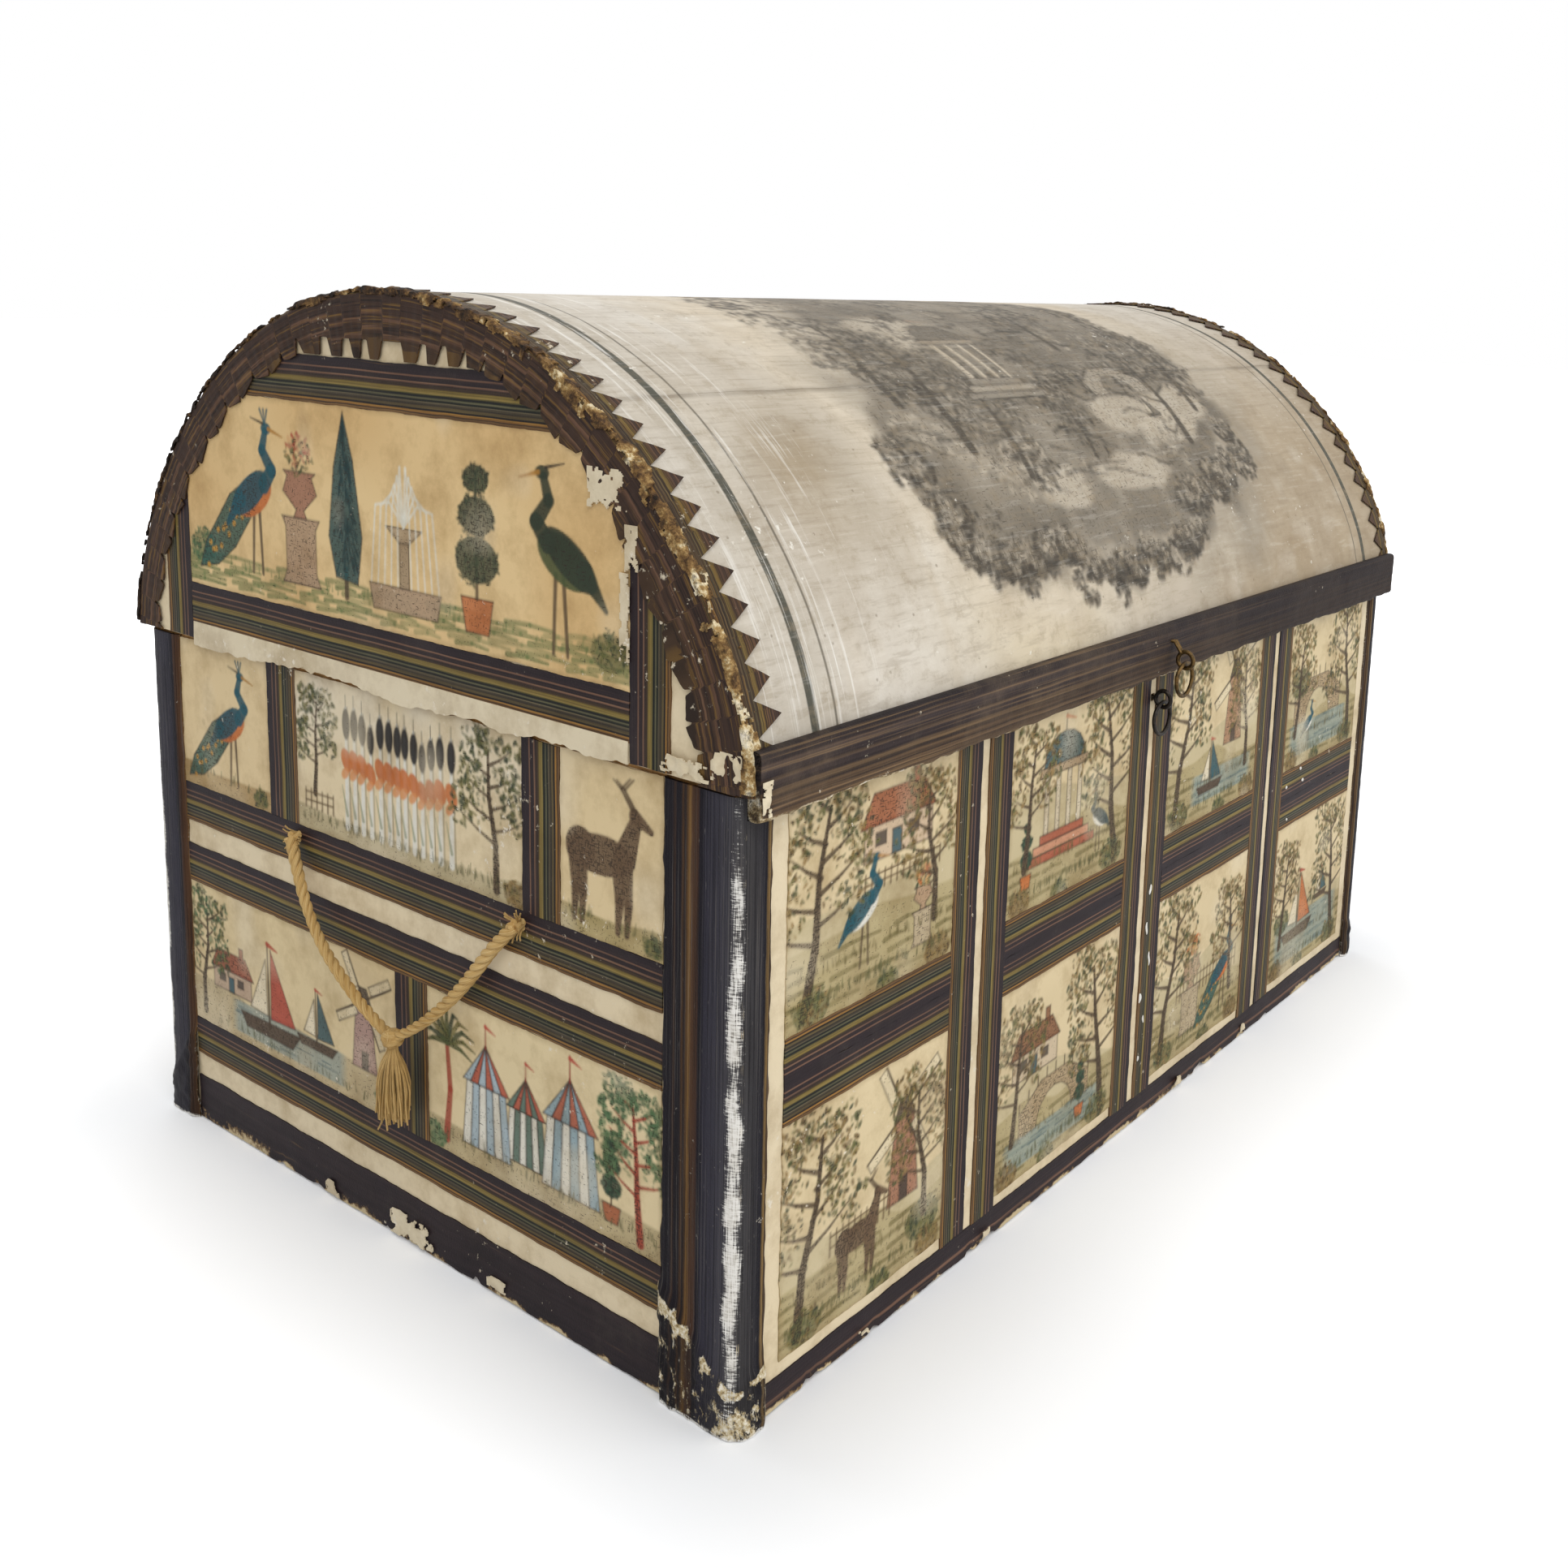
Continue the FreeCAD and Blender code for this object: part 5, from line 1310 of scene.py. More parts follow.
END_VIEWS = {
    "bird_field": ("d9c297", [
        (ground, (7.0, "94743f", 0.3, 1.5, 0.8)), (peafowl, (29, 4.5, 39)), (grass, (2, 47, 5, 24)),
        (bush, (44, 1, 4.0)),
    ]),
    "reeds": ("dac8a4", [
        (pale_sky, ()), (ground, (7.0, "847a55", 0.4, 2.0, 0.65)), (bulrushes, (25, 77, 5.0, 36.0, 13)),
        (leafy_tree, (93, 3.0, 43, -3.0, GREENS, BARK, 0.7)),
        (leafy_tree, (9, 12.0, 32, 2.0, GREENS, BARK, 0.6)),
        (fence, (4, 7, 14, 6)), (bush, (101, 1, 5.0, BROWNS)), (grass, (2, 102, 4, 70)),
    ]),
    "hart": ("d9c398", [
        (ground, (8.0, "867740", 0.4, 1.5, 0.8)), (stag, (16, 4.0, 41)), (grass, (2, 37, 5, 26)),
        (bush, (35, 1, 4.0)),
    ]),
    "river": ("d6c298", [
        (ground, (15.0, "99896a", 0.42, 2.0, 0.65)), (water, (22, 86, 3, 11)),
        (cottage, (12, 15, 22, "b39a84", "8f4430")), (boat, (44, 6, 33, "a8382a")),
        (boat, (70, 10, 21, TEAL)), (windmill, (95, 12, 34, "a5847c")),
        (leafy_tree, (6, 4, 40, 3.0, FRESH + GREENS, BARK, 0.7)), (bush, (106, 2, 6, FRESH)),
        (grass, (2, 108, 3, 40)),
    ]),
    "tents": ("d9c69d", [
        (ground, (9.0, "90805a", 0.42, 2.0, 0.7)), (tent, (43, 8, 17, 29, "47675f")),
        (tent, (26, 6, 21, 36)), (tent, (61, 6, 23, 38, "86a0ab", "a8523e")), (palm, (8, 4, 40)),
        (topiary, (77, 5, 25, "a05634")), (leafy_tree, (88, 3, 42, -3.0, FRESH, "9a3c2a")),
        (bush, (3, 1, 5.0, FRESH)), (grass, (2, 94, 5, 60)),
    ]),
    "garden": ("dfc28f", [
        (brown_patches, ()), (hatch, (12.0, "5f7040", 7)), (grass, (4, 195, 8, 60, "5f7040")),
        (bush, (8, 9, 7.0, FRESH)), (peafowl, (38, 8.0, 47)),
        (urn, (61, 7.5, 47, "9a6a55", "a98c70", ("a84a34", ROSE, "c99a6a"))),
        (cypress, (83, 7.0, 53, "1a4a4c", "122f31", 1.15)), (fountain, (110, 6.0, 42)),
        (topiary, (141, 5.5, 47, "bd6f40", ("394330", "434a31", "2e3727"), 1.25)),
        (wader, (174, 5.0, 49, "2c3526", -1, "46502f")), (bush, (192, 5, 7.0)),
    ]),
}
print("views", len(FRONT_VIEWS) + len(END_VIEWS))

# %% [markdown]
# The arch of the lid is three arcs. Sheets on the lid's ends are trimmed inside it, and the dome
# paper, the edging and the back band are bent over it, so its shape is one function of the way
# along the arc, counted from the crown towards the front.

# %% Arch of the lid
CROWN_R = 140.571
CROWN_Z = 141.429
CROWN_ANGLE = 1.13338
CROWN_ARC = CROWN_R * CROWN_ANGLE
SHOULDER_R = 92.0
SHOULDER_Y = 44.0
SPRING_Z = 162.0
LID_BOTTOM = 170.3
FOOT_ARC = CROWN_ARC + SHOULDER_R * (math.acos((LID_BOTTOM - SPRING_Z) / SHOULDER_R) - CROWN_ANGLE)


def arch(run, offset):
    """Y and Z of points on the arch at a way along it (front positive) and an offset outwards."""
    far = np.abs(run) > CROWN_ARC
    angle = np.where(far, CROWN_ANGLE + (np.abs(run) - CROWN_ARC) / SHOULDER_R, np.abs(run) / CROWN_R)
    radius = np.where(far, SHOULDER_R, CROWN_R) + offset
    y = np.where(far, SHOULDER_Y, 0.0) + radius * np.sin(angle)
    z = np.where(far, SPRING_Z, CROWN_Z) + radius * np.cos(angle)
    return -np.sign(run) * y, z


def inside_arch(points, offset):
    """Pulls points of a lid end that are outside the arch back to it."""
    y, z = arch(np.linspace(-FOOT_ARC - 12, FOOT_ARC + 12, 1200), offset)
    points[:, 2] = np.minimum(points[:, 2], np.interp(points[:, 1], y[::-1], z[::-1]))
    return points


print("arc from crown to foot", round(FOOT_ARC, 2))

# %% Make a print sheet
PRINT_T = 0.3
CANVAS_PART = 0.95
MAP_APART = 60.0
GROUND_T = 0.3
FINE = 0.42
COARSE = 0.75


def look_up(values, canvas, x, y):
    """A canvas value at points in millimetres, between its steps."""
    neighbours = []
    parts = []
    for places, marks in ((x, canvas.x), (y, canvas.y)):
        steps = np.clip(places / canvas.step, 0, marks.size - 1.001)
        whole = steps.astype(int)
        neighbours.append((whole, whole + 1))
        parts.append((steps - whole)[:, None])
    return four_way(values, *neighbours, *parts)


def give_colours(obj, canvas, x, y):
    """Gives the canvas's colours to the points of a piece, with the ink as their alpha."""
    values = np.concatenate([canvas.colour, canvas.ink[..., None]], axis=2)
    layer = obj.data.color_attributes.new("painted", "FLOAT_COLOR", "POINT")
    layer.data.foreach_set("color", look_up(values, canvas, x, y).astype(np.float32).ravel())


def painted_view(width, height, step, view, number):
    """A canvas with a view on it, browned along its edges and rubbed pale in places."""
    code, things = END_VIEWS.get(view, (WOODED_CODE, None))
    canvas = Canvas(width, height, step, 100 + number, code)
    if things:
        draw_all(canvas, things)
    else:
        paint_wooded(canvas, *FRONT_VIEWS[number % len(FRONT_VIEWS)])
    margin = np.minimum(np.minimum(canvas.x, width - canvas.x), np.minimum(canvas.y, height - canvas.y))
    canvas.wash(unit(1 - margin / (0.8 + 1.8 * canvas.patchy(6.0))) * 0.35, "8a7047")
    canvas.wash(unit(canvas.patchy(16.0) - 0.68) * 1.5, "dccfb4")
    return canvas


def paste(sheet, points, wall, u0, u1, v0, v1, out, inset=0.0):
    """Lays a sheet in a window of a wall; on the lid's ends it stays inside the arch."""
    points = on_wall(points, wall, (u0 + u1) / 2, (v0 + v1) / 2, out)
    write_points(sheet, inside_arch(points, -inset) if wall.startswith("lid") else points)


def print_sheet(name, wall, u0, u1, v0, v1, view, number, pitch):
    width = u1 - u0
    height = v1 - v0
    canvas = painted_view(width, height, pitch * CANVAS_PART, view, number)
    sheet, points, runs = thin_sheet(name, width, height, pitch, PRINT_T)
    give_colours(sheet, canvas, points[:, 0] + width / 2, points[:, 1] + height / 2)
    write_map(sheet, runs[:, 0] * width + MAP_APART * number, runs[:, 1] * height)
    points = rough_cut(points, width, height, number, 0.3)
    paste(sheet, points, wall, u0, u1, v0, v1, GROUND_T + PRINT_T, 10.0)
    body = wall.split("_")[0] if wall.startswith("lid") else "box"
    node_name = wall + "_print" if body == "lid" else "box_%s_prints" % wall
    return finish_piece(sheet, print_paper, body + "_body", "print_paper", node_name)


# %% Lay the prints on the walls
ROW_LOW = (13.0, 78.75)
ROW_HIGH = (102.75, 168.5)
FRONT_COLUMNS = ((-185.0, -113.5), (-85.5, -14.0), (14.0, 85.5), (113.5, 185.0))
BACK_COLUMNS = ((-182.0, -112.0), (-84.0, -14.0), (14.0, 84.0), (112.0, 182.0))
END_ROW_HIGH = (119.75, 168.5)
END_ROW_LOW = (37.0, 85.75)
END_SHEETS = (
    ((66.5, 116.0), END_ROW_HIGH, "bird_field"),
    ((-52.5, 51.5), END_ROW_HIGH, "reeds"),
    ((-105.5, -67.5), END_ROW_HIGH, "hart"),
    ((5.0, 116.0), END_ROW_LOW, "river"),
    ((-105.5, -10.0), END_ROW_LOW, "tents"),
)
LID_PRINT = ((-95.5, 103.5), (188.5, 250.0))
ENDS = (("left", -1, FINE), ("right", 1, COARSE))


def along_end(turn, y0, y1):
    """Two places along Y as places along an end wall, the lesser one first."""
    return sorted((turn * y0, turn * y1))


sheets = []
for wall, columns, pitch in (("front", FRONT_COLUMNS, FINE), ("back", BACK_COLUMNS, COARSE)):
    for row in (ROW_HIGH, ROW_LOW):
        for column in columns:
            number = len(sheets)
            name = "print_%s_%d" % (wall, number % 8 + 1)
            sheets.append(print_sheet(name, wall, *column, *row, "wooded", number, pitch))
for wall, turn, pitch in ENDS:
    for ys, row, view in END_SHEETS:
        name = "print_%s_%s" % (wall, view)
        sheets.append(print_sheet(name, wall, *along_end(turn, *ys), *row, view, len(sheets), pitch))
    place = (*along_end(turn, *LID_PRINT[0]), *LID_PRINT[1])
    sheets.append(print_sheet("print_lid_" + wall, "lid_" + wall, *place, "garden", len(sheets), pitch))
print("sheets", len(sheets), "faces", sum(len(s.data.polygons) for s in sheets))

# %% [markdown]
# ## Striped bands
# Narrow bands cut from one striped paper frame every print. Each is a thin strip whose map runs
# along it in millimetres and across it from 0 to 1, so the stripes follow the strip whichever way
# it lies. Neighbouring strips are mirrored, as the paper was turned when it was cut.

# %% Bands on the walls
BAND_T = 0.4
BAND_PITCH = 1.6
BAND_APART = 410.0
BAND_W = 12.0
END_BAND_W = 13.0
END_EDGES = (-105.5, 116.0)
FOOT_TOP = 9.5


def band(number, wall, u0, u1, v0, v1, flip=False):
    """One strip; the stripes run along its longer side, with the dark edge first."""
    width = u1 - u0
    height = v1 - v0
    strip, points, runs = thin_sheet("band", width, height, BAND_PITCH, BAND_T)
    along = runs[:, 0] * width if width >= height else runs[:, 1] * height
    across = runs[:, 1] if width >= height else runs[:, 0]
    across = 1 - across if flip else across
    write_map(strip, along + BAND_APART * number, 0.02 + across * 0.96)
    points = rough_cut(points, width, height, 700 + number, 0.22)
    points[:, 2] += wobble(points[:, 0] + points[:, 1], 11.0, number, 0.06) * (points[:, 2] > -0.1)
    paste(strip, points, wall, u0, u1, v0, v1, GROUND_T + BAND_T, 8.0)
    return strip


def band_set(name, wall, strips, first, body, node_name):
    made = [band(first + number, wall, *strip) for number, strip in enumerate(strips)]
    finish_piece(join(made, name), striped_paper, body, "striped_paper", node_name)
    return first + len(strips)


def long_wall_strips(columns):
    strips = []
    low = ROW_LOW[1]
    high = ROW_HIGH[0]
    for u0, u1 in columns:
        strips += [(u0, u1, low, low + BAND_W, True), (u0, u1, high - BAND_W, high, False)]
    tall = (FOOT_TOP, ROW_HIGH[1])
    for number, ((_, left), (right, _)) in enumerate(zip(columns, columns[1:])):
        strips += [(left, left + BAND_W, *tall, True), (right - BAND_W, right, *tall, number < 2)]
    return strips


def end_strips(turn):
    full = along_end(turn, *END_EDGES)
    lows = (END_ROW_LOW[0] - END_BAND_W, END_ROW_LOW[1], END_ROW_HIGH[0] - END_BAND_W)
    strips = [(*full, low, low + END_BAND_W, True) for low in lows]
    gaps = (((-10.0, 5.0), END_ROW_LOW), ((-67.5, -52.5), END_ROW_HIGH), ((51.5, 66.5), END_ROW_HIGH))
    return strips + [(*along_end(turn, *ys), *row, False) for ys, row in gaps]


def lid_end_strips(turn):
    places = (
        (LID_PRINT[0], (175.5, 188.5), True), ((-71.5, 76.0), (250.0, 263.5), True),
        ((-109.5, -95.5), (170.5, 250.0), turn > 0), ((103.5, 117.5), (170.5, 250.0), turn < 0),
    )
    return [(*along_end(turn, *ys), *row, flip) for ys, row, flip in places]


count = 1
for wall, columns in (("front", FRONT_COLUMNS), ("back", BACK_COLUMNS)):
    strips = long_wall_strips(columns)
    count = band_set("bands_" + wall, wall, strips, count, "box_body", "box_%s_bands" % wall)
for wall, turn, pitch in ENDS:
    count = band_set("bands_" + wall, wall, end_strips(turn), count, "box_body", "box_%s_bands" % wall)
    name = "lid_" + wall
    count = band_set("bands_" + name, name, lid_end_strips(turn), count, "lid_body", name + "_bands")
print("strips", count - 1)

# %% Bands along the foot and at the back of the lid
FOOT_Z = 0.5


def foot_band(wall, u0, u1, v1, number):
    """A dark band along the bottom edge, chipped along its foot."""
    width = u1 - u0
    height = v1 - FOOT_Z
    strip, points, runs = thin_sheet("foot_band", width, height, 0.9, BAND_T)
    across = 0.02 + (0.3 * (1 - runs[:, 1]) if wall in ("front", "back") else 0.16 * runs[:, 1])
    write_map(strip, runs[:, 0] * width + 330.0 * number, across)
    run = points[:, 0]
    tear = wobble(run, 2.2, 40 + number, 1.0) + wobble(run, 9.0, 50 + number, 1.0)
    low = unit(0.5 - points[:, 1] / height) ** 3
    points[:, 1] += unit(tear - 0.9) * low * 2.4
    frayed = unit(1 - (points[:, 1] + height / 2) / 3.0) * (0.55 + wobble(run, 6.0, 70 + number, 0.6))
    rubbed = unit(1 - (points[:, 1] / height + 0.5) / 0.6) * (0.4 + wobble(run, 9.0, 80 + number, 0.3))
    give_values(strip, "torn", unit(np.maximum(frayed, rubbed)))
    points = rough_cut(points, width, height, 60 + number, 0.25)
    paste(strip, points, wall, u0, u1, FOOT_Z, v1, GROUND_T + BAND_T)
    return strip


FOOT_BANDS = (
    ("front", -191.0, 191.0, FOOT_TOP), ("back", -188.0, 188.0, FOOT_TOP),
    ("left", -116.0, 105.5, 16.0), ("right", -105.5, 116.0, 16.0),
)
foot_strips = [foot_band(*place, number) for number, place in enumerate(FOOT_BANDS)]
finish_piece(join(foot_strips, "foot_bands"), striped_paper, "box_body", "striped_paper", "base_edge_bands")

BACK_BAND_W = 15.0
BACK_BAND_RISE = 14.3
back_strip = flat_sheet("lid_back_strip", 2 * LID_HALF, BACK_BAND_W, 2.0)
runs = read_map(back_strip)
write_map(back_strip, runs[:, 0] * 2 * LID_HALF, 0.04 + runs[:, 1] * 0.92)
points = rough_cut(read_points(back_strip), 2 * LID_HALF, BACK_BAND_W, 77, 0.2)
way = FOOT_ARC - (points[:, 1] / BACK_BAND_W + 0.5) * BACK_BAND_RISE
y, z = arch(-way, 0.75)
write_points(back_strip, -points[:, 0], y, np.maximum(z, LID_BOTTOM))
solidify(back_strip, BAND_T)
finish_piece(back_strip, striped_paper, "lid_body", "striped_paper", "lid_back_band")
print("foot bands and back band ready")

# %% [markdown]
# ## Corner wraps
# Dark layered paper is folded round each corner. It is rubbed white along the ridge, lined brown
# where it meets the prints, and torn at the foot. One strip is bent round the corner, made
# thicker at the foot and crumpled there; a plain L would be too sharp.

# %% Corner paper material
WRAP_SPAN = 40.0
WRAP_START = 28.0
# Lines across the wrap from the end's edge to the long side's edge. The grey lightens to a peak on the bend
# just before the ridge, and that peak is a painted highlight.
WRAP_LINES_AND_RIDGE_HIGHLIGHT = [
    (0.02, "3f3024"), (0.04, "17131a"), (0.13, "19151b"), (0.15, "3b2a20"), (0.165, "17131a"),
    (0.205, "1a1519"), (0.22, "4a331f"), (0.24, "1b1619"), (0.262, "5c4226"), (0.28, "7a5a30"),
    (0.295, "4d3523"), (0.345, "402b20"), (0.36, "14111a"), (0.38, "17141c"), (0.4, "2c2a35"),
    (0.5, "36343d"), (0.58, "424047"), (0.6625, "4a484a"), (0.72, "413f40"), (0.79, "302e31"),
    (0.845, "1c1a22"), (0.86, "15131a"), (0.872, "6e5632"), (0.885, "876b40"), (0.895, "2a201c"),
    (0.908, "6b5032"), (0.922, "251c1a"), (0.94, "574430"), (0.955, "241b1c"), (1.0, "251d20"),
]


def corner_material():
    place = new_material("corner_paper", 0.6, 0.12)
    runs = sheet_map()
    parts = axes(runs)
    colour = ramp(scaled(parts[0], 1 / WRAP_SPAN, WRAP_START / WRAP_SPAN), WRAP_LINES_AND_RIDGE_HIGHLIGHT)
    streak = streaks(runs, 1.3, 0.035, 6.0, 0.7)
    colour = tint(colour, "5f5a5e", 0.3, streak, 0.55, 0.78)
    colour = tint(colour, "110f14", 0.6, streak, 0.48, 0.3)
    lines = streaks(runs, 2.6, 0.012, 2.0, 0.6)
    colour = tint(colour, "0e0c0f", 0.6, lines, 0.5, 0.36)
    colour = tint(colour, "6a6560", 0.45, lines, 0.56, 0.7)
    scratch = streaks(runs, 3.2, 0.16, 3.0, 0.6, turn=0.12)
    colour = tint(colour, "9a948c", 0.55, scratch, 0.68, 0.74)
    colour = mix(scaled(attribute("foot")["Fac"], 0.45), colour, "120d0c")
    shreds = streaks(runs, 0.42, 0.2, 6.0, 0.7)
    torn = plus(scaled(attribute("torn_foot")["Fac"], 0.55), scaled(shreds, 0.9))
    torn = above(torn, 0.74, 0.82)
    flecks = streaks(runs, 0.9, 0.6, 5.0, 0.7, turn=0.1)
    pulp = ramp(flecks, [(0.34, "4a3a24"), (0.43, "a8936a"), (0.52, "cdbf9f"), (0.62, "e6e0d2")])
    colour = mix(torn, colour, pulp)
    fibres = streaks(runs, 0.35, 1.9, 5.0, 0.7)
    fray = plus(scaled(fibres, 0.55), scaled(scratch, 0.45))
    bare = plus(scaled(attribute("worn")["Fac"], 0.45), scaled(fray, 0.9))
    bare = above(bare, 0.69, 0.81)
    white = ramp(fray, [(0.31, "6f685e"), (0.41, "c1bbb0"), (0.53, "ebe8e2")])
    colour = mix(bare, colour, white)
    colour, tooth = age(place, colour, 0.05, 0.06, "3a2c20", "cfc7b8", 0.2)
    relief = plus(tooth, plus(streak, plus(bare, torn)))
    return dress(colour, relief, 0.0003)


corner_paper = corner_material()

# %% Wrap the corners
WRAP_OUT = 1.9
FOOT_OUT = 1.2
FOOT_TOPS = (31.0, 19.0, 14.0, 16.0)
WRAP_TOP = 169.0
CORNER_R = 5.9
WRAP_T = 0.9
BEND = CORNER_R * math.pi / 2
WEAR_HEIGHTS = (0, 14, 25, 50, 100, 122, 150, 169)
WEAR = (0.5, 0.6, 0.88, 1.06, 1.0, 0.84, 0.6, 0.4)


def corner_wrap(name, side_x, side_y, end_leg, long_leg, pitch, seed):
    """A strip from the edge on the end, round the corner, to the edge on the long side."""
    straight = end_leg + WRAP_OUT - CORNER_R
    total = straight + BEND + long_leg + WRAP_OUT - CORNER_R
    strip = flat_sheet(name, total, WRAP_TOP, pitch)
    runs = read_map(strip)
    ridge = straight + BEND / 2
    write_map(strip, runs[:, 0] * total - ridge, runs[:, 1] * WRAP_TOP)
    points = read_points(strip)
    way = points[:, 0] + total / 2
    height = points[:, 1] + WRAP_TOP / 2
    edge = np.minimum(way, total - way)
    way = way + np.where(edge < 1.2, wobble(height + 300 * (way > total / 2), 4.0, seed, 0.45), 0.0)
    torn_top = np.interp(way - ridge, (-end_leg, -6.0, 1.0, 8.0), FOOT_TOPS)
    torn_top = torn_top + wobble(way, 5.0, seed + 6, 3.2)
    foot = 1 / (1 + np.exp((height - torn_top) * 1.6))
    lip_half = np.interp(way - ridge, (-end_leg, 0.0), (4.4, 2.2))
    lip = bell(height - torn_top + lip_half * 0.8, lip_half)
    lip = lip * (0.72 + 0.7 * field(way, height, 3.0, seed + 9))
    lip = np.maximum(lip, 0.7 * unit(1 - edge / 2.5) * foot)
    crushed = unit((15.0 - height) / 8.0) * bell(way - ridge, 11.0)
    torn = np.maximum(np.maximum(np.clip(lip, 0, 0.9), 0.7 * crushed), 0.45 * foot)
    crumple = clouds(way, height, (2.8, seed + 1, 0.4), (1.5, seed + 2, 0.25))
    out = FOOT_OUT * foot * (0.75 + 0.6 * crumple) + 0.16 * crumple - 1.35 * unit(1 - edge / 1.6)
    angle = unit((way - straight) / BEND) * math.pi / 2
    before = np.minimum(way - straight, 0)
    after = np.maximum(way - straight - BEND, 0)
    x = HALF_LONG + WRAP_OUT - CORNER_R + (CORNER_R + out) * np.cos(angle) - after
    y = HALF_DEEP + WRAP_OUT - CORNER_R + (CORNER_R + out) * np.sin(angle) + before
    z = np.clip(height + (height < 1.0) * wobble(way, 2.0, seed + 5, 0.6), 0.05, WRAP_TOP)
    write_points(strip, side_x * x, side_y * y, z)
    shift = 0.35 * field(height, 0 * height, 12.0, seed + 7)
    rubbed = bell(way - ridge + 2.0 - shift, 3.0)
    rubbed = rubbed * (0.9 + 0.35 * field(way, height, 7.0, seed + 8))
    rubbed = rubbed * np.interp(height, WEAR_HEIGHTS, WEAR)
    worn = np.maximum(rubbed, 0.9 * unit(1 - height / 2.5))
    give_values(strip, "worn", np.maximum(worn, 0.5 * unit(1 - edge / 0.7)))
    give_values(strip, "foot", foot)
    give_values(strip, "torn_foot", torn * (1.0 if name.endswith("front_left") else 0.5))
    close_folded(strip, side_x * side_y < 0, WRAP_T, 50.0)
    return finish_piece(strip, corner_paper, "box_body", "corner_paper", "corner_" + name)


WRAPS = (
    ("front_left", -1, -1, 26.5, 9.0, 0.55), ("front_right", 1, -1, 26.5, 9.0, 0.8),
    ("back_left", -1, 1, 16.0, 12.0, 0.8), ("back_right", 1, 1, 16.0, 12.0, 0.8),
)
for name, *place in WRAPS:
    corner_wrap("wrap_" + name, *place, 900 + len(name))
print("corner wraps ready")

# %% [markdown]
# ## Dome paper
# Two large sheets cover the dome and meet in a seam below the crown. The paper is grey and brown
# with age; a vignette of trees and water is printed in the middle, in grey ink only. It is painted
# flat and then bent over the arch. Border lines, streaks and specks are finer than the grid, so
# they are in the material.

# %% Dome paper material
BORDER_STRIPE = (0.1762, 0.1792)
BORDER_LINE = (0.1691, 0.1699)
LINE_SOFT = 0.0003


def dome_material():
    place = new_material("dome_paper", 0.6, 0.2)
    colour = printed("463d31", 0.6, 0.62)
    parts = axes(place)
    patches = noise(place, 130.0, 5.0, 0.7)
    shake = scaled(noise(place, 40.0), 0.001, -0.0005)
    side = plus(maths("ABSOLUTE", parts[0]), shake)
    for (low, high), strength, code in ((BORDER_STRIPE, 1.0, "4f4e44"), (BORDER_LINE, 0.85, "5f594c")):
        rises = above(side, low - LINE_SOFT, low + LINE_SOFT)
        falls = flipped(above(side, high - LINE_SOFT, high + LINE_SOFT))
        line = times(rises, falls)
        line = times(line, above(patches, 0.2, 0.42))
        colour = mix(scaled(line, strength), colour, code)
    laid = streaks(place, 60.0, 1100.0, 4.0, 0.7)
    colour = tint(colour, "8c7d67", 0.3, laid, 0.5, 0.68)
    colour = tint(colour, "ece6da", 0.12, laid, 0.46, 0.32)
    mottle = noise(place, 170.0, 6.0, 0.75)
    colour = tint(colour, "94846a", 0.3, mottle, 0.5, 0.66)
    brushed = streaks(place, 500.0, 28.0, 4.0, 0.7)
    left = flipped(above(parts[0], -0.17, -0.1))
    white = above(plus(brushed, scaled(left, 0.1)), 0.64, 0.76)
    white = times(white, left)
    colour = mix(scaled(white, 0.7), colour, "e6e2da")
    specks = node("TexVoronoi", Vector=place, Scale=210.0).outputs["Distance"]
    speck = flipped(above(specks, 0.06, 0.14))
    speck = times(speck, above(patches, 0.5, 0.6))
    colour = mix(scaled(speck, 0.5), colour, "6d5f4a")
    colour, height = age(place, colour, 0.12, 0.1, "8f7b5c", "e0dbd0", 0.3)
    return dress(colour, plus(height, scaled(white, 0.5)), 0.00016)


dome_paper = dome_material()

# %% Tones of the dome paper
DOME_STEP = 0.8
dome = Canvas(2 * LID_HALF, 2 * FOOT_ARC, DOME_STEP, 41, "d3ccc0")
across = dome.x - LID_HALF
front_way = FOOT_ARC - dome.y
toward_right = unit((across + 70) / 150) * unit((front_way - 10) / 110)
dome.wash(toward_right * (0.85 + 0.15 * dome.patchy(20.0)), "a18f74")
dome.wash(unit((front_way - 120) / 40) * bell(across + 70, 40) * 0.8, "d0c09f")
brown_zone = bell(across + 146, 26) * bell(front_way - 112, 40)
dome.wash(brown_zone * (0.75 + 0.25 * dome.patchy(9.0, 30.0)), "9c8b70")
left_side = unit((-across - 160) / 14) * (0.4 + 0.6 * dome.patchy(7.0, 34.0))
dome.wash(left_side * 0.7, "b0a797")
dome.wash(dome.patchy(34.0) ** 2 * 0.2, "a59784")
dome.wash(unit(dome.patchy(5.0, 26.0) - 0.6) * 0.6 + 0 * across, "c0b096")
dome.wash(unit(dome.patchy(10.0) - 0.6) * 0.5, "e0dace")
dome.wash(bell(front_way - 83.0, 1.0) * (0.3 + 0.4 * dome.patchy(14.0)), "6b6153")
print("dome canvas", dome.colour.shape)

# %% The vignette on the dome
GREYS = ("40382d", "4d4537", "5a5143", "332c23", "675e50")
LIGHT_GREYS = ("8f8576", "a39987", "847b6d", "b3a998")
VIGNETTE = (-3.0, 74.0)
VIGNETTE_HALF = (116.0, 87.0)
SQUARE = 2.8


def vignette_reach(x, way):
    """1 at the rim of a rounded rectangle round the middle of the vignette, 0 in its middle."""
    wide = np.abs((x - VIGNETTE[0]) / VIGNETTE_HALF[0]) ** SQUARE
    return (wide + np.abs((way - VIGNETTE[1]) / VIGNETTE_HALF[1]) ** SQUARE) ** (1 / SQUARE)


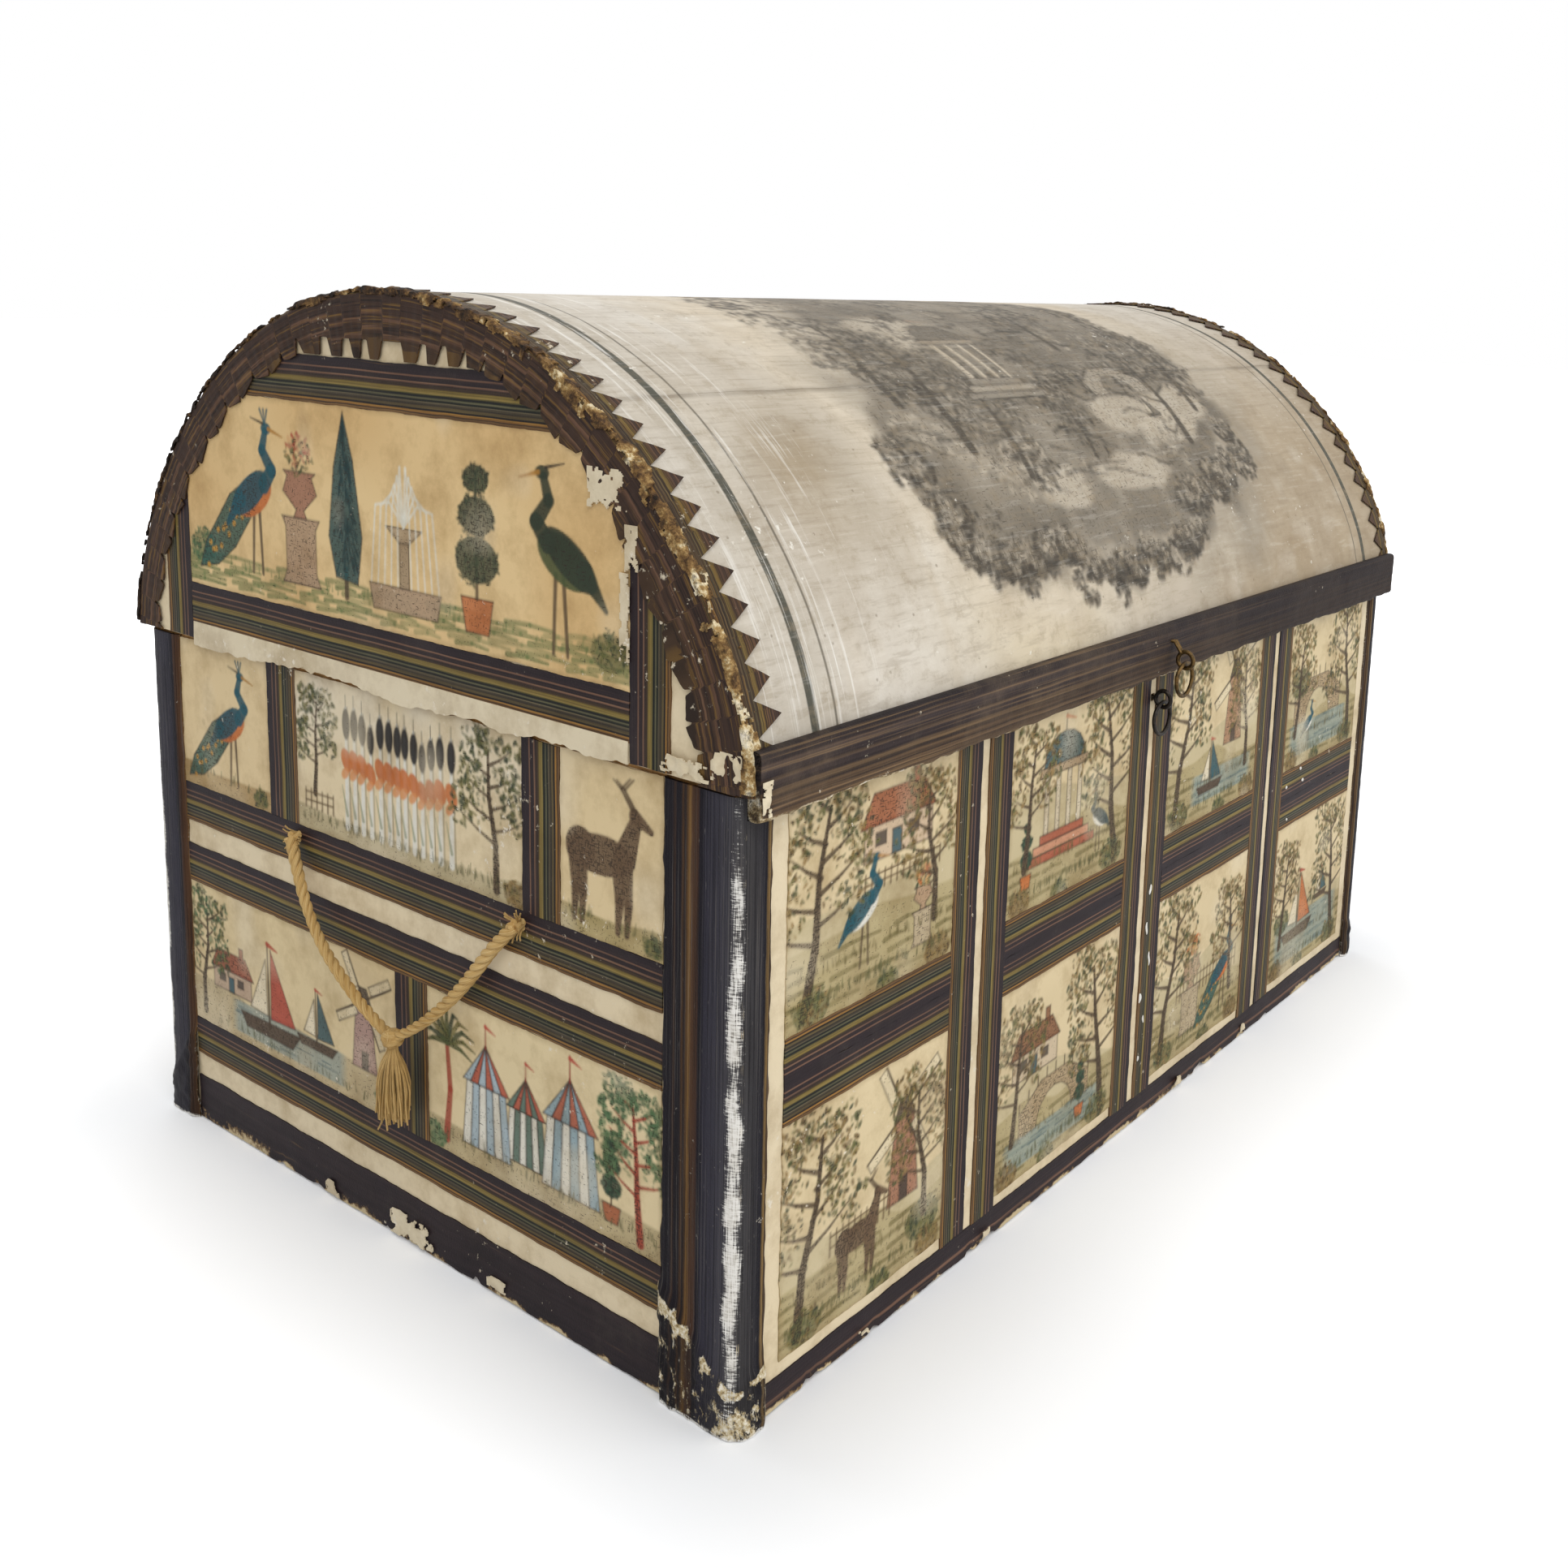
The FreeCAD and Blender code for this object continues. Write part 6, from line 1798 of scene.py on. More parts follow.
oval = vignette_reach(across, front_way) + 0.2 * (dome.patchy(24.0) - 0.5)
oval = oval + 0.12 * (dome.patchy(8.0) - 0.5)
fading = 0.1 + 0.3 * unit((-across - 30) / 60) * unit((105 - front_way) / 30)
inside = unit((1.0 - oval) / fading)
dome.wash(inside * (0.72 + 0.28 * dome.patchy(16.0)), "6f6657", 0.35)
dome.wash(inside * unit(dome.patchy(11.0) - 0.5) * 1.3, "6f685d", 0.6)
dome.wash(inside * unit(dome.patchy(7.0, 14.0) - 0.6) * 1.1, "a8a194", 0.2)
PALE_PATHS = (
    (-30, 129, 20, 8), (20, 127, 26, 9), (35, 103, 24, 12), (80, 102, 26, 12), (58, 112, 20, 9),
    (-40, 50, 26, 16),
)
for x, way, wide, tall in PALE_PATHS:
    pond = np.sqrt(((across - x) / wide) ** 2 + ((front_way - way) / tall) ** 2)
    pond = pond + 0.5 * (dome.patchy(9.0) - 0.5)
    dome.wash(unit((1.0 - pond) / 0.25) * inside * 0.75, "bfb6a6", 0.05)


def grove(x, way, radius, count, codes, size, ink=0.6):
    leaves(dome, x + LID_HALF, FOOT_ARC - way, radius, count, codes, size, ink)


def along_path(places, spacing):
    """Points at even steps along a path on the dome."""
    path = np.array(places, dtype=float)
    run = way_along(path)
    marks = np.arange(0, run[-1] + 0.1, spacing)
    return zip(np.interp(marks, run, path[:, 0]), np.interp(marks, run, path[:, 1]))


# %% Trees and banks of the vignette
DARK_BANKS = (
    (((-104, 108), (-96, 132), (-100, 142), (-74, 149)), 7.0, 100),
    (((-74, 148), (-40, 153), (-14, 158), (24, 156), (50, 150)), 7.0, 110),
    (((47, 141), (70, 135), (95, 130), (104, 116)), 8.0, 110),
    (((-90, 70), (-66, 92), (-60, 118), (-30, 122)), 8.0, 46),
    (((100, 96), (104, 70), (96, 40), (80, 10)), 9.0, 46),
    (((-100, 40), (-92, 10), (-60, -6), (-20, -10)), 9.0, 34),
    (((-20, -10), (30, -12), (70, -2)), 9.0, 34),
    (((-6, 92), (26, 84), (60, 84)), 6.0, 34),
)
for path, radius, leaf_count in DARK_BANKS:
    for x, way in along_path(path, radius * 0.9):
        x += 8.0 * (dome.roll() - 0.5)
        way += 8.0 * (dome.roll() - 0.5)
        leaf_part = 0.45 + 0.75 * dome.roll()
        grove(x, way, radius * (0.7 + 0.6 * dome.roll()), int(leaf_count * leaf_part), GREYS[:4], 1.7)
        grove(x, way - 2.0, radius * 0.8, leaf_count // 3, LIGHT_GREYS, 1.3, 0.15)
for x, way in along_path(((-88, 102), (-70, 110), (-50, 126)), 4.0):
    grove(x, way, 9.0, 42, LIGHT_GREYS, 1.7, 0.25)
for _ in range(46):
    x = VIGNETTE[0] + VIGNETTE_HALF[0] * (1.6 * dome.roll() - 0.8)
    way = VIGNETTE[1] + VIGNETTE_HALF[1] * (1.5 * dome.roll() - 0.75)
    radius = 6.0 + 7.0 * dome.roll()
    grove(x, way, radius, 26, LIGHT_GREYS if dome.roll() < 0.45 else GREYS, 1.5, 0.3)
for _ in range(90):
    x = VIGNETTE[0] + VIGNETTE_HALF[0] * (1.5 * dome.roll() - 0.9)
    way = VIGNETTE[1] + VIGNETTE_HALF[1] * (1.4 * dome.roll() - 0.8)
    long = 10.0 + 18.0 * dome.roll()
    sag = 6.0 * (dome.roll() - 0.5)
    tilt = 8.0 * (dome.roll() - 0.3)
    stroke = []
    for part in (0, 0.25, 0.5, 0.75, 1):
        rise = FOOT_ARC - way - part * tilt + sag * math.sin(part * 5)
        stroke.append((x + LID_HALF + part * long, rise))
    dome.line(stroke, 0.9, 0.4, GREYS[dome.dice.randint(4)], 0.55, 0.5)
SPRIGS = (
    (-86, 154), (-71, 158), (-58, 155), (-44, 160), (-40, 166), (-21, 168), (8, 160), (30, 158), (-5, 157),
)
for x, way in SPRIGS:
    grove(x, way, 4.5, 26, GREYS, 1.5, 0.4)
VIGNETTE_TREES = (
    (-66, 112, 62), (-84, 92, 52), (-44, 124, 48), (70, 118, 60), (92, 104, 50), (40, 66, 48), (0, 120, 30),
)
for x, way, height in VIGNETTE_TREES:
    leafy_tree(dome, x + LID_HALF, FOOT_ARC - way, height, 5.0, GREYS + LIGHT_GREYS[:2], "4f493f", 0.6)
pavilion(dome, LID_HALF - 22, FOOT_ARC - 92, 46, "6d665a", ("8f887b", "a59d8e", "8f887b"))
bridge(dome, LID_HALF + 50, FOOT_ARC - 94, 40, "a39b8c")
boat(dome, LID_HALF + 58, FOOT_ARC - 106, 10, "6d665a", "4f493f")
shades = dome.colour.mean(axis=2, keepdims=True)
grey_mix = (unit((1.25 - oval) / 0.2) * 0.85)[..., None]
dome.colour = dome.colour * (1 - grey_mix) + grey_mix * shades * np.array((1.12, 0.97, 0.75))
print("vignette painted")

# %% Bend the dome paper over the arch
COVER_OUT = 0.3
SEAM_WAY = 82.0
FINE_BACK_WAY = -44.0
FINE_PART = 0.63
SHEET_WAYS = (
    ("dome_cover_low", (SEAM_WAY, FOOT_ARC), (0.0, 1.0), 0.72, None),
    ("dome_cover_high", (-FOOT_ARC, FINE_BACK_WAY, SEAM_WAY + 0.6), (0.0, 1 - FINE_PART, 1.0), 1.45, 226),
)
for number, (name, ways, parts, pitch, rows) in enumerate(SHEET_WAYS):
    cover = flat_sheet(name, 2 * LID_HALF, ways[-1] - ways[0], pitch, rows)
    edit(cover, bpy.ops.mesh.region_to_loop, drop_rim(COVER_OUT))
    points = read_points(cover)
    numbers = loop_points(cover)
    x = points[:, 0]
    way = np.interp(0.5 - points[:, 1] / (ways[-1] - ways[0]), parts, ways)
    give_colours(cover, dome, x + LID_HALF, FOOT_ARC - way)
    write_map(cover, x[numbers], way[numbers])
    torn = unit(1 - np.abs(way - SEAM_WAY) / 2.5) * wobble(x, 7.0, 61, 0.5)
    swell = wobble(x - 0.4 * way, 31.0, 3, 0.12) + wobble(way + 0.2 * x, 23.0, 4, 0.1) + 0.14 * number
    lift = COVER_OUT + points[:, 2] + unit(swell) * (points[:, 2] > -0.1)
    y, z = arch(way + torn, lift)
    write_points(cover, x, y, np.maximum(z, LID_BOTTOM))
    smooth(cover, 50.0)
    finish_piece(cover, dome_paper, "lid_body", "dome_paper", "dome_cover_paper")
    print(name, len(cover.data.polygons))

# %% [markdown]
# ## Saw-tooth edging
# A strip of striped paper is folded over each arch: its outer side is cut in saw teeth that lie on
# the dome, its inner side is snipped into tabs that lie on the end. The teeth and tabs are made
# by moving the edge rows of a grid in and out, while the map keeps the true distance from the
# fold, so the stripes run along the arch and the teeth cut them. At the crown the tabs stand apart
# and the ground paper shows between them.

# %% Fold the edging
TOOTH_PITCH = 8.9
TOOTH_COUNT = 43
STEPS_PER_TOOTH = 16
TOOTH_TIP = 12.6
TOOTH_ROOT = 4.6
TAB_W = 13.0
SNIP_PITCH = 9.0
GAP_DEPTH = 5.2
EDGING_T = 0.45
OVER_DOME = 0.75
OVER_END = 0.85
BAND_RADIUS = 122.07
CROWN_GAPS = (
    (-43.7, 4.6, 0.0), (-29.8, 6.2, 3.9), (-18.5, 6.4, 3.9), (-9.4, 5.2, 3.1), (4.1, 12.9, 9.8),
    (19.1, 5.3, 2.8), (28.5, 6.1, 2.5), (37.8, 3.5, 0.6), (46.4, 2.0, 0.0),
)


def tooth_reach(way, dice):
    """How far the teeth reach over the dome."""
    marks = (np.arange(2 * TOOTH_COUNT + 1) - TOOTH_COUNT) * TOOTH_PITCH / 2
    tips = np.where(np.arange(marks.size) % 2 == TOOTH_COUNT % 2, TOOTH_ROOT, TOOTH_TIP)
    return np.interp(way, marks, tips + (dice.rand(marks.size) - 0.5) * 1.3)


def tab_reach(way, snips, dice):
    """How far the tabs reach down the end, and the number of the tab at each point."""
    tab = np.searchsorted(snips, way)
    part = (way - snips[np.clip(tab - 1, 0, snips.size - 1)]) / SNIP_PITCH
    reach = TAB_W - 1.2 + 2.4 * np.where(tab % 2, part, 1 - part) + (dice.rand(60) - 0.5)[tab]
    gap = np.min(np.abs(way[:, None] - snips[None, :]), axis=1)
    reach = reach - 2.2 * unit((0.9 - gap) / 0.6) + 4.0 * unit((way - 90) / 40)
    crown = np.abs(way) < 50
    at_band = CROWN_R - BAND_RADIUS / np.cos(np.clip(way, -60, 60) / CROWN_R) + 0.3
    reach = np.where(crown, np.maximum(TAB_W, at_band), reach)
    for middle, mouth, root in CROWN_GAPS:
        reach = reach - GAP_DEPTH * unit((mouth / 2 - np.abs(way - middle)) / (mouth / 2 - root / 2))
    return reach, tab


def edging(name, side, seed):
    strip = flat_sheet(name, TOOTH_PITCH * TOOTH_COUNT, 2.0, TOOTH_PITCH / STEPS_PER_TOOTH, 26)
    points = read_points(strip)
    dice = np.random.RandomState(seed)
    way = points[:, 0]
    row = points[:, 1]
    reach_dome = tooth_reach(way, dice)
    snips = np.sort(np.arange(-22, 23) * SNIP_PITCH + (dice.rand(45) - 0.5) * 2.0)
    reach_end, tab = tab_reach(way, snips, dice)
    over = np.where(row >= 0, row * reach_dome, row * reach_end)
    shift = (dice.rand(60) - 0.5)[tab] * 0.22
    lift = 0.12 * np.sin(way * 1.7) + wobble(way, 3.1, seed + 1, 0.18)
    fold = 0.35 * (1 - np.abs(np.clip(over / 0.9, -1, 1))) ** 2
    radial = np.where(over >= 0, OVER_DOME + lift * 0.4, over + OVER_DOME) - fold
    end_out = OVER_END + lift * unit(-over / 6) * 0.5
    x = LID_HALF + end_out - np.where(over >= 0, over + fold, 0.0)
    y, z = arch(way, radial)
    write_points(strip, side * x, y, np.maximum(z, LID_BOTTOM + 0.05))
    on_dome = 0.96 - 0.9 * over / TOOTH_TIP
    on_end = np.minimum(0.04 - 0.38 * over / TAB_W + shift * 0.6, 0.43)
    across = np.clip(np.where(over >= 0, on_dome, on_end), 0.02, 0.98)
    numbers = loop_points(strip)
    write_map(strip, way[numbers] + 400 + 37.0 * tab[numbers], across[numbers])
    close_folded(strip, side < 0, EDGING_T, 35.0)
    return strip


for wall, side in (("left", -1), ("right", 1)):
    strip = edging("edging_" + wall, side, 300 + side)
    finish_piece(strip, edging_paper, "lid_body", "edging_paper", "lid_%s_edging" % wall)
print("teeth on each arch", TOOTH_COUNT)

# %% [markdown]
# ## Worn ridge
# Along both arches the fold has split: layers of brown and cream paper stand up in ragged scraps,
# narrow and dark at the crown, wider and paler towards the front. A strip over the fold is
# crumpled, random faces are deleted to leave scraps, and a thickness is given to what is left.
# A bump alone would keep the outline too clean.

# %% Tear the ridge
RIDGE_HALF = 6.0
RIDGE_T = 0.5
RIDGE_OUT = 1.1
RIDGE_WAYS = (-190, -60, 20, 80, 150, 190)
RIDGE_WIDTHS = (1.2, 1.4, 1.8, 2.4, 3.0, 3.4)
RIDGE_TONES = [
    (0.36, "1d150f"), (0.44, "4a3521"), (0.52, "7d5f38"), (0.58, "a88a58"), (0.63, "d6c59f"),
    (0.75, "ece3d0"),
]


def torn_ridge_material():
    place = new_material("torn_ridge", 0.8, 0.2)
    coarse = noise(place, 150.0, 6.0, 0.72)
    toward_front = axes(place)[1]
    tone = plus(coarse, scaled(toward_front, -0.75, -0.05))
    colour = ramp(tone, RIDGE_TONES)
    fine = noise(place, 480.0, 4.0, 0.7)
    colour = tint(colour, "35271a", 0.75, fine, 0.5, 0.66)
    return dress(colour, plus(coarse, fine), 0.0009, 0.9)


torn_ridge = torn_ridge_material()


def ragged_ridge(name, side, seed):
    strip = flat_sheet(name, 2 * FOOT_ARC - 2.0, 2 * RIDGE_HALF, 0.5)
    middles = face_middles(strip)
    half = np.interp(middles[:, 0], RIDGE_WAYS, RIDGE_WIDTHS)
    rag = 0.75 * field(middles[:, 0], middles[:, 1] * 2.0, 6.0, seed)
    rag = rag + 0.5 * field(middles[:, 0], middles[:, 1], 1.7, seed + 1)
    delete_ragged(strip, 0.7 - np.abs(middles[:, 1] - 0.3) / half + rag)
    points = read_points(strip)
    way = points[:, 0]
    over = points[:, 1]
    crumple = clouds(way, over, (4.0, seed + 2, 0.4), (1.3, seed + 3, 0.35))
    radial = np.where(over >= 0, RIDGE_OUT + crumple, over + RIDGE_OUT + crumple * 0.2)
    x = LID_HALF + 1.15 + np.where(over >= 0, -over, crumple * 0.7)
    y, z = arch(way, radial)
    write_points(strip, side * x, y, np.maximum(z, LID_BOTTOM + 0.1))
    close_folded(strip, side < 0, RIDGE_T, 60.0)
    return finish_piece(strip, torn_ridge, "lid_body", "edging_paper")


ridges = [ragged_ridge("torn_ridge_left", -1, 70), ragged_ridge("torn_ridge_right", 1, 80)]
print("ridge scraps", [len(r.data.polygons) for r in ridges])

# %% [markdown]
# ## Rim of the lid
# The front edge of the lid is a stiff band that hangs a little over the box. It is covered with
# the striped paper, dented, and torn pale along its foot and at its left end. A grid is rolled
# into a tube of that section, so that the dents can go anywhere along it.

# %% Rim material
RIM_BOTTOM = 164.0
RIM_TOP = 181.6
RIM_FRONT = -138.3
RIM_BACK = -134.3
RIM_TALL = RIM_TOP - RIM_BOTTOM
RIM_DEEP = RIM_BACK - RIM_FRONT
RIM_LINES = [
    (0.0, "64503e"), (0.12, "55422f"), (0.15, "372a22"), (0.19, "6b543d"), (0.23, "33271f"),
    (0.3, "5c4733"), (0.34, "2c221d"), (0.42, "66513a"), (0.46, "2d2322"), (0.56, "3a2f2e"),
    (0.6, "5f4c3a"), (0.64, "2a2122"), (0.76, "3d3332"), (0.8, "54443a"), (0.85, "2a2122"),
    (1.0, "1f191b"),
]
RIM_PULP = [(0.36, "3f2f1e"), (0.45, "8a7450"), (0.55, "cdbd9c"), (0.66, "e8e2d6")]


def rim_material():
    place = new_material("rim_board", 0.6, 0.15)
    parts = axes(place)
    height = scaled(parts[2], 1 / (RIM_TALL * MM), -RIM_BOTTOM / RIM_TALL)
    sway = scaled(streaks(place, 12.0, 0.0), 0.12, -0.06)
    colour = ramp(plus(height, sway), RIM_LINES)
    hairs = noise(node("Mapping", Vector=place, Scale=(9.0, 0.0, 1500.0)).outputs[0], 1.0, 3.0)
    colour = tint(colour, "1e1717", 0.55, hairs, 0.52, 0.35)
    colour = tint(colour, "8a6f4e", 0.5, hairs, 0.53, 0.66)
    dust = noise(place, 26.0, 6.0, 0.7)
    colour = tint(colour, "806d58", 0.4, dust, 0.42, 0.75)
    # Painted shade: the rim is darkened towards its right end.
    colour = tint(colour, "1f1717", 0.85, parts[0], -0.16, 0.12)
    scraps = noise(place, 190.0, 6.0, 0.75)
    bare = plus(scaled(attribute("worn")["Fac"], 0.7), scaled(scraps, 0.6))
    bare = above(bare, 0.68, 0.78)
    torn = ramp(noise(place, 300.0, 5.0, 0.75), RIM_PULP)
    colour, tooth = age(place, mix(bare, colour, torn), 0.05, 0.04, "3a2c20", "c9bda6", 0.2)
    return dress(colour, plus(tooth, bare), 0.0003)


rim_board = rim_material()

# %% Roll the rim
around = 2 * (RIM_DEEP + RIM_TALL)
rim = flat_sheet("lid_rim", 2 * LID_HALF, around, 1.1)
points = read_points(rim)
x = points[:, 0]
way = points[:, 1] + around / 2
marks = np.array((0.0, RIM_DEEP, RIM_DEEP + RIM_TALL, 2 * RIM_DEEP + RIM_TALL, around))
section_y = np.interp(way, marks, (RIM_BACK, RIM_FRONT, RIM_FRONT, RIM_BACK, RIM_BACK))
section_z = np.interp(way, marks, (RIM_BOTTOM, RIM_BOTTOM, RIM_TOP, RIM_TOP, RIM_BOTTOM))
near_corner = np.min(np.abs(way[:, None] - marks[None, :4]), axis=1)
round_in = 0.45 * unit(1 - near_corner / 1.6) ** 2
middle_y = (RIM_FRONT + RIM_BACK) / 2
section_y -= np.sign(section_y - middle_y) * round_in
section_z -= np.sign(section_z - (RIM_TOP + RIM_BOTTOM) / 2) * round_in
dents = field(x, section_z, 13.0, 21) * 0.18 + field(x, section_z * 3, 4.0, 22) * 0.1
section_y += dents * unit((middle_y - section_y) / 2.0)
low_side = unit((RIM_BOTTOM + 3.0 - section_z) / 3.0)
section_z += low_side * (wobble(x, 3.4, 23, 0.45) + wobble(x, 14.0, 24, 0.35) + 0.35)
write_points(rim, x, section_y, section_z)
worn = unit((RIM_BOTTOM + 2.8 - section_z) / 2.2)
worn = worn * (0.5 + 0.4 * field(x, 0 * x, 16.0, 25) + 0.5 * unit((-130 - x) / 30))
torn_end = unit((x + LID_HALF - 3.5) / -3.5)
torn_end = torn_end * np.clip((RIM_BOTTOM + 11.0 - section_z) / 6.0, 0.2, 1)
worn = np.maximum(worn, 0.75 * torn_end)
give_values(rim, "worn", np.maximum(worn, 0.3 * unit(section_z - RIM_TOP + 1.0)))
edit(rim, lambda: bpy.ops.mesh.remove_doubles(threshold=0.00002), bpy.ops.mesh.region_to_loop, close_back)
smooth(rim, 45.0)
finish_piece(rim, rim_board, "lid_body", "rim_board", "front_rim_band")
print("rim", len(rim.data.polygons))

# %% [markdown]
# ## Torn paper
# Scraps of the ground paper show where layers came off: a wavy strip along the seam of the ends,
# crumpled bits at the near corner under the lid, and chips along the foot.

# %% Torn strips and scraps
SCRAP_T = 0.3
SCRAP_PITCH = 0.4
SEAM_TALL = 7.9
SEAM_Z = 171.95
SEAM_OUT = 0.75


def seam_strip(turn):
    """A thin strip along the seam of a lid's end; its lower edge is torn in waves."""
    u0, u1 = along_end(turn, -95.0, 103.0)
    seed = 400 + turn
    strip, points, _ = thin_sheet("seam", u1 - u0, SEAM_TALL, 0.7, 0.25)
    run = points[:, 0]
    low = unit(0.5 - points[:, 1] / SEAM_TALL)
    tear = wobble(run, 17.0, seed, 1.0) + wobble(run, 5.0, seed + 1, 0.6) + wobble(run, 1.4, seed + 2, 0.3)
    points[:, 1] += low * 2.6 * np.clip(0.5 + 0.5 * tear, 0, 1.2)
    curl = 0.12 + 0.3 * low * unit(wobble(run, 9.0, seed + 3, 1.0))
    points[:, 2] += (points[:, 2] > -0.1) * curl
    wall = "lid_left" if turn < 0 else "lid_right"
    write_points(strip, on_wall(points, wall, (u0 + u1) / 2, SEAM_Z, SEAM_OUT))
    return strip


def scrap(wall, along, height, out, width, tall, rise, seed):
    """A small ragged scrap of paper on a wall, crumpled by its rise."""
    made = flat_sheet("scrap", width, tall, SCRAP_PITCH)
    middles = face_middles(made)
    rim_way = np.maximum(np.abs(middles[:, 0]) / width, np.abs(middles[:, 1]) / tall) * 2
    rag = clouds(middles[:, 0], middles[:, 1], (2.2, seed, 0.9), (0.9, seed + 3, 0.4))
    delete_ragged(made, 0.85 - rim_way + rag * (0.25 + 0.75 * rim_way))
    points = read_points(made)
    points[:, 2] = rise * clouds(points[:, 0], points[:, 1], (3.2, seed + 1, 1.0), (1.3, seed + 2, 0.5))
    write_points(made, on_wall(points, wall, along, height, out))
    solidify(made, SCRAP_T, 0.0)
    smooth(made, 60.0)
    return made


LID_SCRAPS = (
    ("lid_left", 116.0, 173.6, 1.6, 18.0, 4.5, 0.6, 501),
    ("lid_left", 129.0, 176.5, 1.7, 9.0, 7.0, 0.9, 502),
    ("front", -200.0, 170.0, 6.9, 3.6, 9.0, 0.5, 503),
    ("lid_left", 88.0, 238.0, 1.2, 14.0, 10.0, 0.1, 504),
    ("lid_left", 96.5, 224.0, 1.2, 4.5, 12.0, 0.1, 505),
    ("lid_left", 94.0, 207.0, 1.1, 3.4, 22.0, 0.08, 506),
)
BOX_SCRAPS = (
    ("left", 1.5, 5.0, 1.2, 21.0, 8.0, 0.3, 532),
    ("left", -39.0, 3.5, 1.2, 7.0, 4.5, 0.3, 513), ("left", 40.0, 4.0, 1.2, 8.0, 3.4, 0.3, 514),
    ("front", -90.0, 3.6, 1.4, 4.0, 2.4, 0.5, 515), ("front", 36.0, 3.2, 1.6, 6.0, 3.0, 0.7, 516),
    ("front", 92.0, 3.4, 1.5, 5.0, 2.8, 0.6, 517), ("front", -150.0, 3.0, 1.4, 5.0, 2.4, 0.4, 518),
)
lid_torn = [seam_strip(-1), seam_strip(1)] + [scrap(*place) for place in LID_SCRAPS]
finish_piece(join(lid_torn, "torn_papers_lid"), torn_paper, "lid_body", "ground_paper")
box_torn = [scrap(*place) for place in BOX_SCRAPS]
finish_piece(join(box_torn, "torn_papers_box"), torn_paper, "box_body", "ground_paper")
print("scraps", len(LID_SCRAPS) + len(BOX_SCRAPS))

# %% [markdown]
# ## Rings and staples
# A loose ring hangs in the eye of a split staple on the lid, another on the box. Rings are tori
# with a little unevenness, as forged wire has. The legs of the staples go into the wood.

# %% Metal and rings
def metal_material(name, dark, light, roughness):
    place = new_material(name, roughness, 0.5)
    Bench.shader["Metallic"].default_value = 0.85
    rust = noise(place, 420.0, 6.0, 0.7)
    colour = ramp(rust, [(0.35, dark), (0.6, light), (0.72, "4a3322")])
    set_socket(Bench.shader["Roughness"], scaled(rust, 0.4, roughness - 0.2))
    return dress(colour, rust, 0.0002)


iron = metal_material("iron", "1b1816", "3d3732", 0.45)
brass = metal_material("brass", "352a1a", "6d5530", 0.45)


def torus(place, radius, wire, turn):
    deselect()
    bpy.ops.mesh.primitive_torus_add(
        major_radius=radius * MM, minor_radius=wire * MM, major_segments=56, minor_segments=14,
        location=[p * MM for p in place], rotation=turn)
    made = bpy.context.active_object
    bpy.ops.object.transform_apply(location=True, rotation=True, scale=True)
    from_middle = read_points(made) - np.array(place)
    spin = np.arctan2(from_middle[:, 2], from_middle[:, 0] + from_middle[:, 1])
    write_points(made, np.array(place) + from_middle * (1 + 0.018 * np.sin(3 * spin + radius))[:, None])
    return made


LEVEL = math.pi / 2
RING_R = 5.5
RING_WIRE = 0.7
EYE_R = 2.75
EYE_WIRE = 0.75
LEG_APART = 0.62
HANG = 1.0
BOX_EYE = (0.0, -136.3, 155.5)
LID_EYE = (0.0, -143.615, 170.066)
LID_ELBOW = (0.0, -139.6, 175.8)
for name, eye, metal, slot in (("box_ring", BOX_EYE, iron, "iron"), ("lid_ring", LID_EYE, brass, "brass")):
    hoop = torus((eye[0], eye[1], eye[2] - HANG - RING_R), RING_R, RING_WIRE, (LEVEL, 0.0, 0.0))
    hoop.name = name + "_hoop"
    smooth(hoop, 60.0)
    finish_piece(hoop, metal, name + "_body", slot, name)

# %% Staples
def staple(name, eye, legs, body, metal, slot):
    """An eye, two legs side by side and their points bent over inside."""
    parts = [torus(eye, EYE_R, EYE_WIRE, (0.0, LEVEL, 0.0))]
    for side in (-1, 1):
        leg = [(p[0] + side * LEG_APART, p[1], p[2]) for p in legs]
        x, y, z = leg[-1]
        point = [(x + side * 2.0, y + 0.3, z), (x + side * 6.0, y + 0.2, z + 0.3)]
        parts.append(tube(leg + point, 0.6, 2))
    made = join(parts, name + "_eye")
    smooth(made, 50.0)
    return finish_piece(made, metal, body, slot, name)


BOX_LEG = [(0.0, BOX_EYE[1] + EYE_R, BOX_EYE[2]), (0.0, -128.0, BOX_EYE[2]), (0.0, -123.2, BOX_EYE[2])]
staple("box_staple", BOX_EYE, BOX_LEG, "box_body", iron, "iron")
droop = np.array(LID_ELBOW) - np.array(LID_EYE)
lid_start = np.array(LID_EYE) + droop * EYE_R / np.linalg.norm(droop)
LID_LEG = [tuple(lid_start), LID_ELBOW, (0.0, -134.0, LID_ELBOW[2]), (0.0, -120.2, LID_ELBOW[2])]
staple("lid_staple", LID_EYE, LID_LEG, "lid_body", brass, "brass")
print("rings and staples ready")

# %% [markdown]
# A few white drips of glue or wax dried on the front. Each is a small flattened drop, set on the
# paper at its own place.

# %% Drips
def drip_material():
    place = new_material("white_drip", 0.35, 0.5)
    spots = noise(place, 300.0, 3.0)
    return dress(ramp(spots, [(0.3, "cfcac0"), (0.7, "eeece6")]), spots, 0.0001)


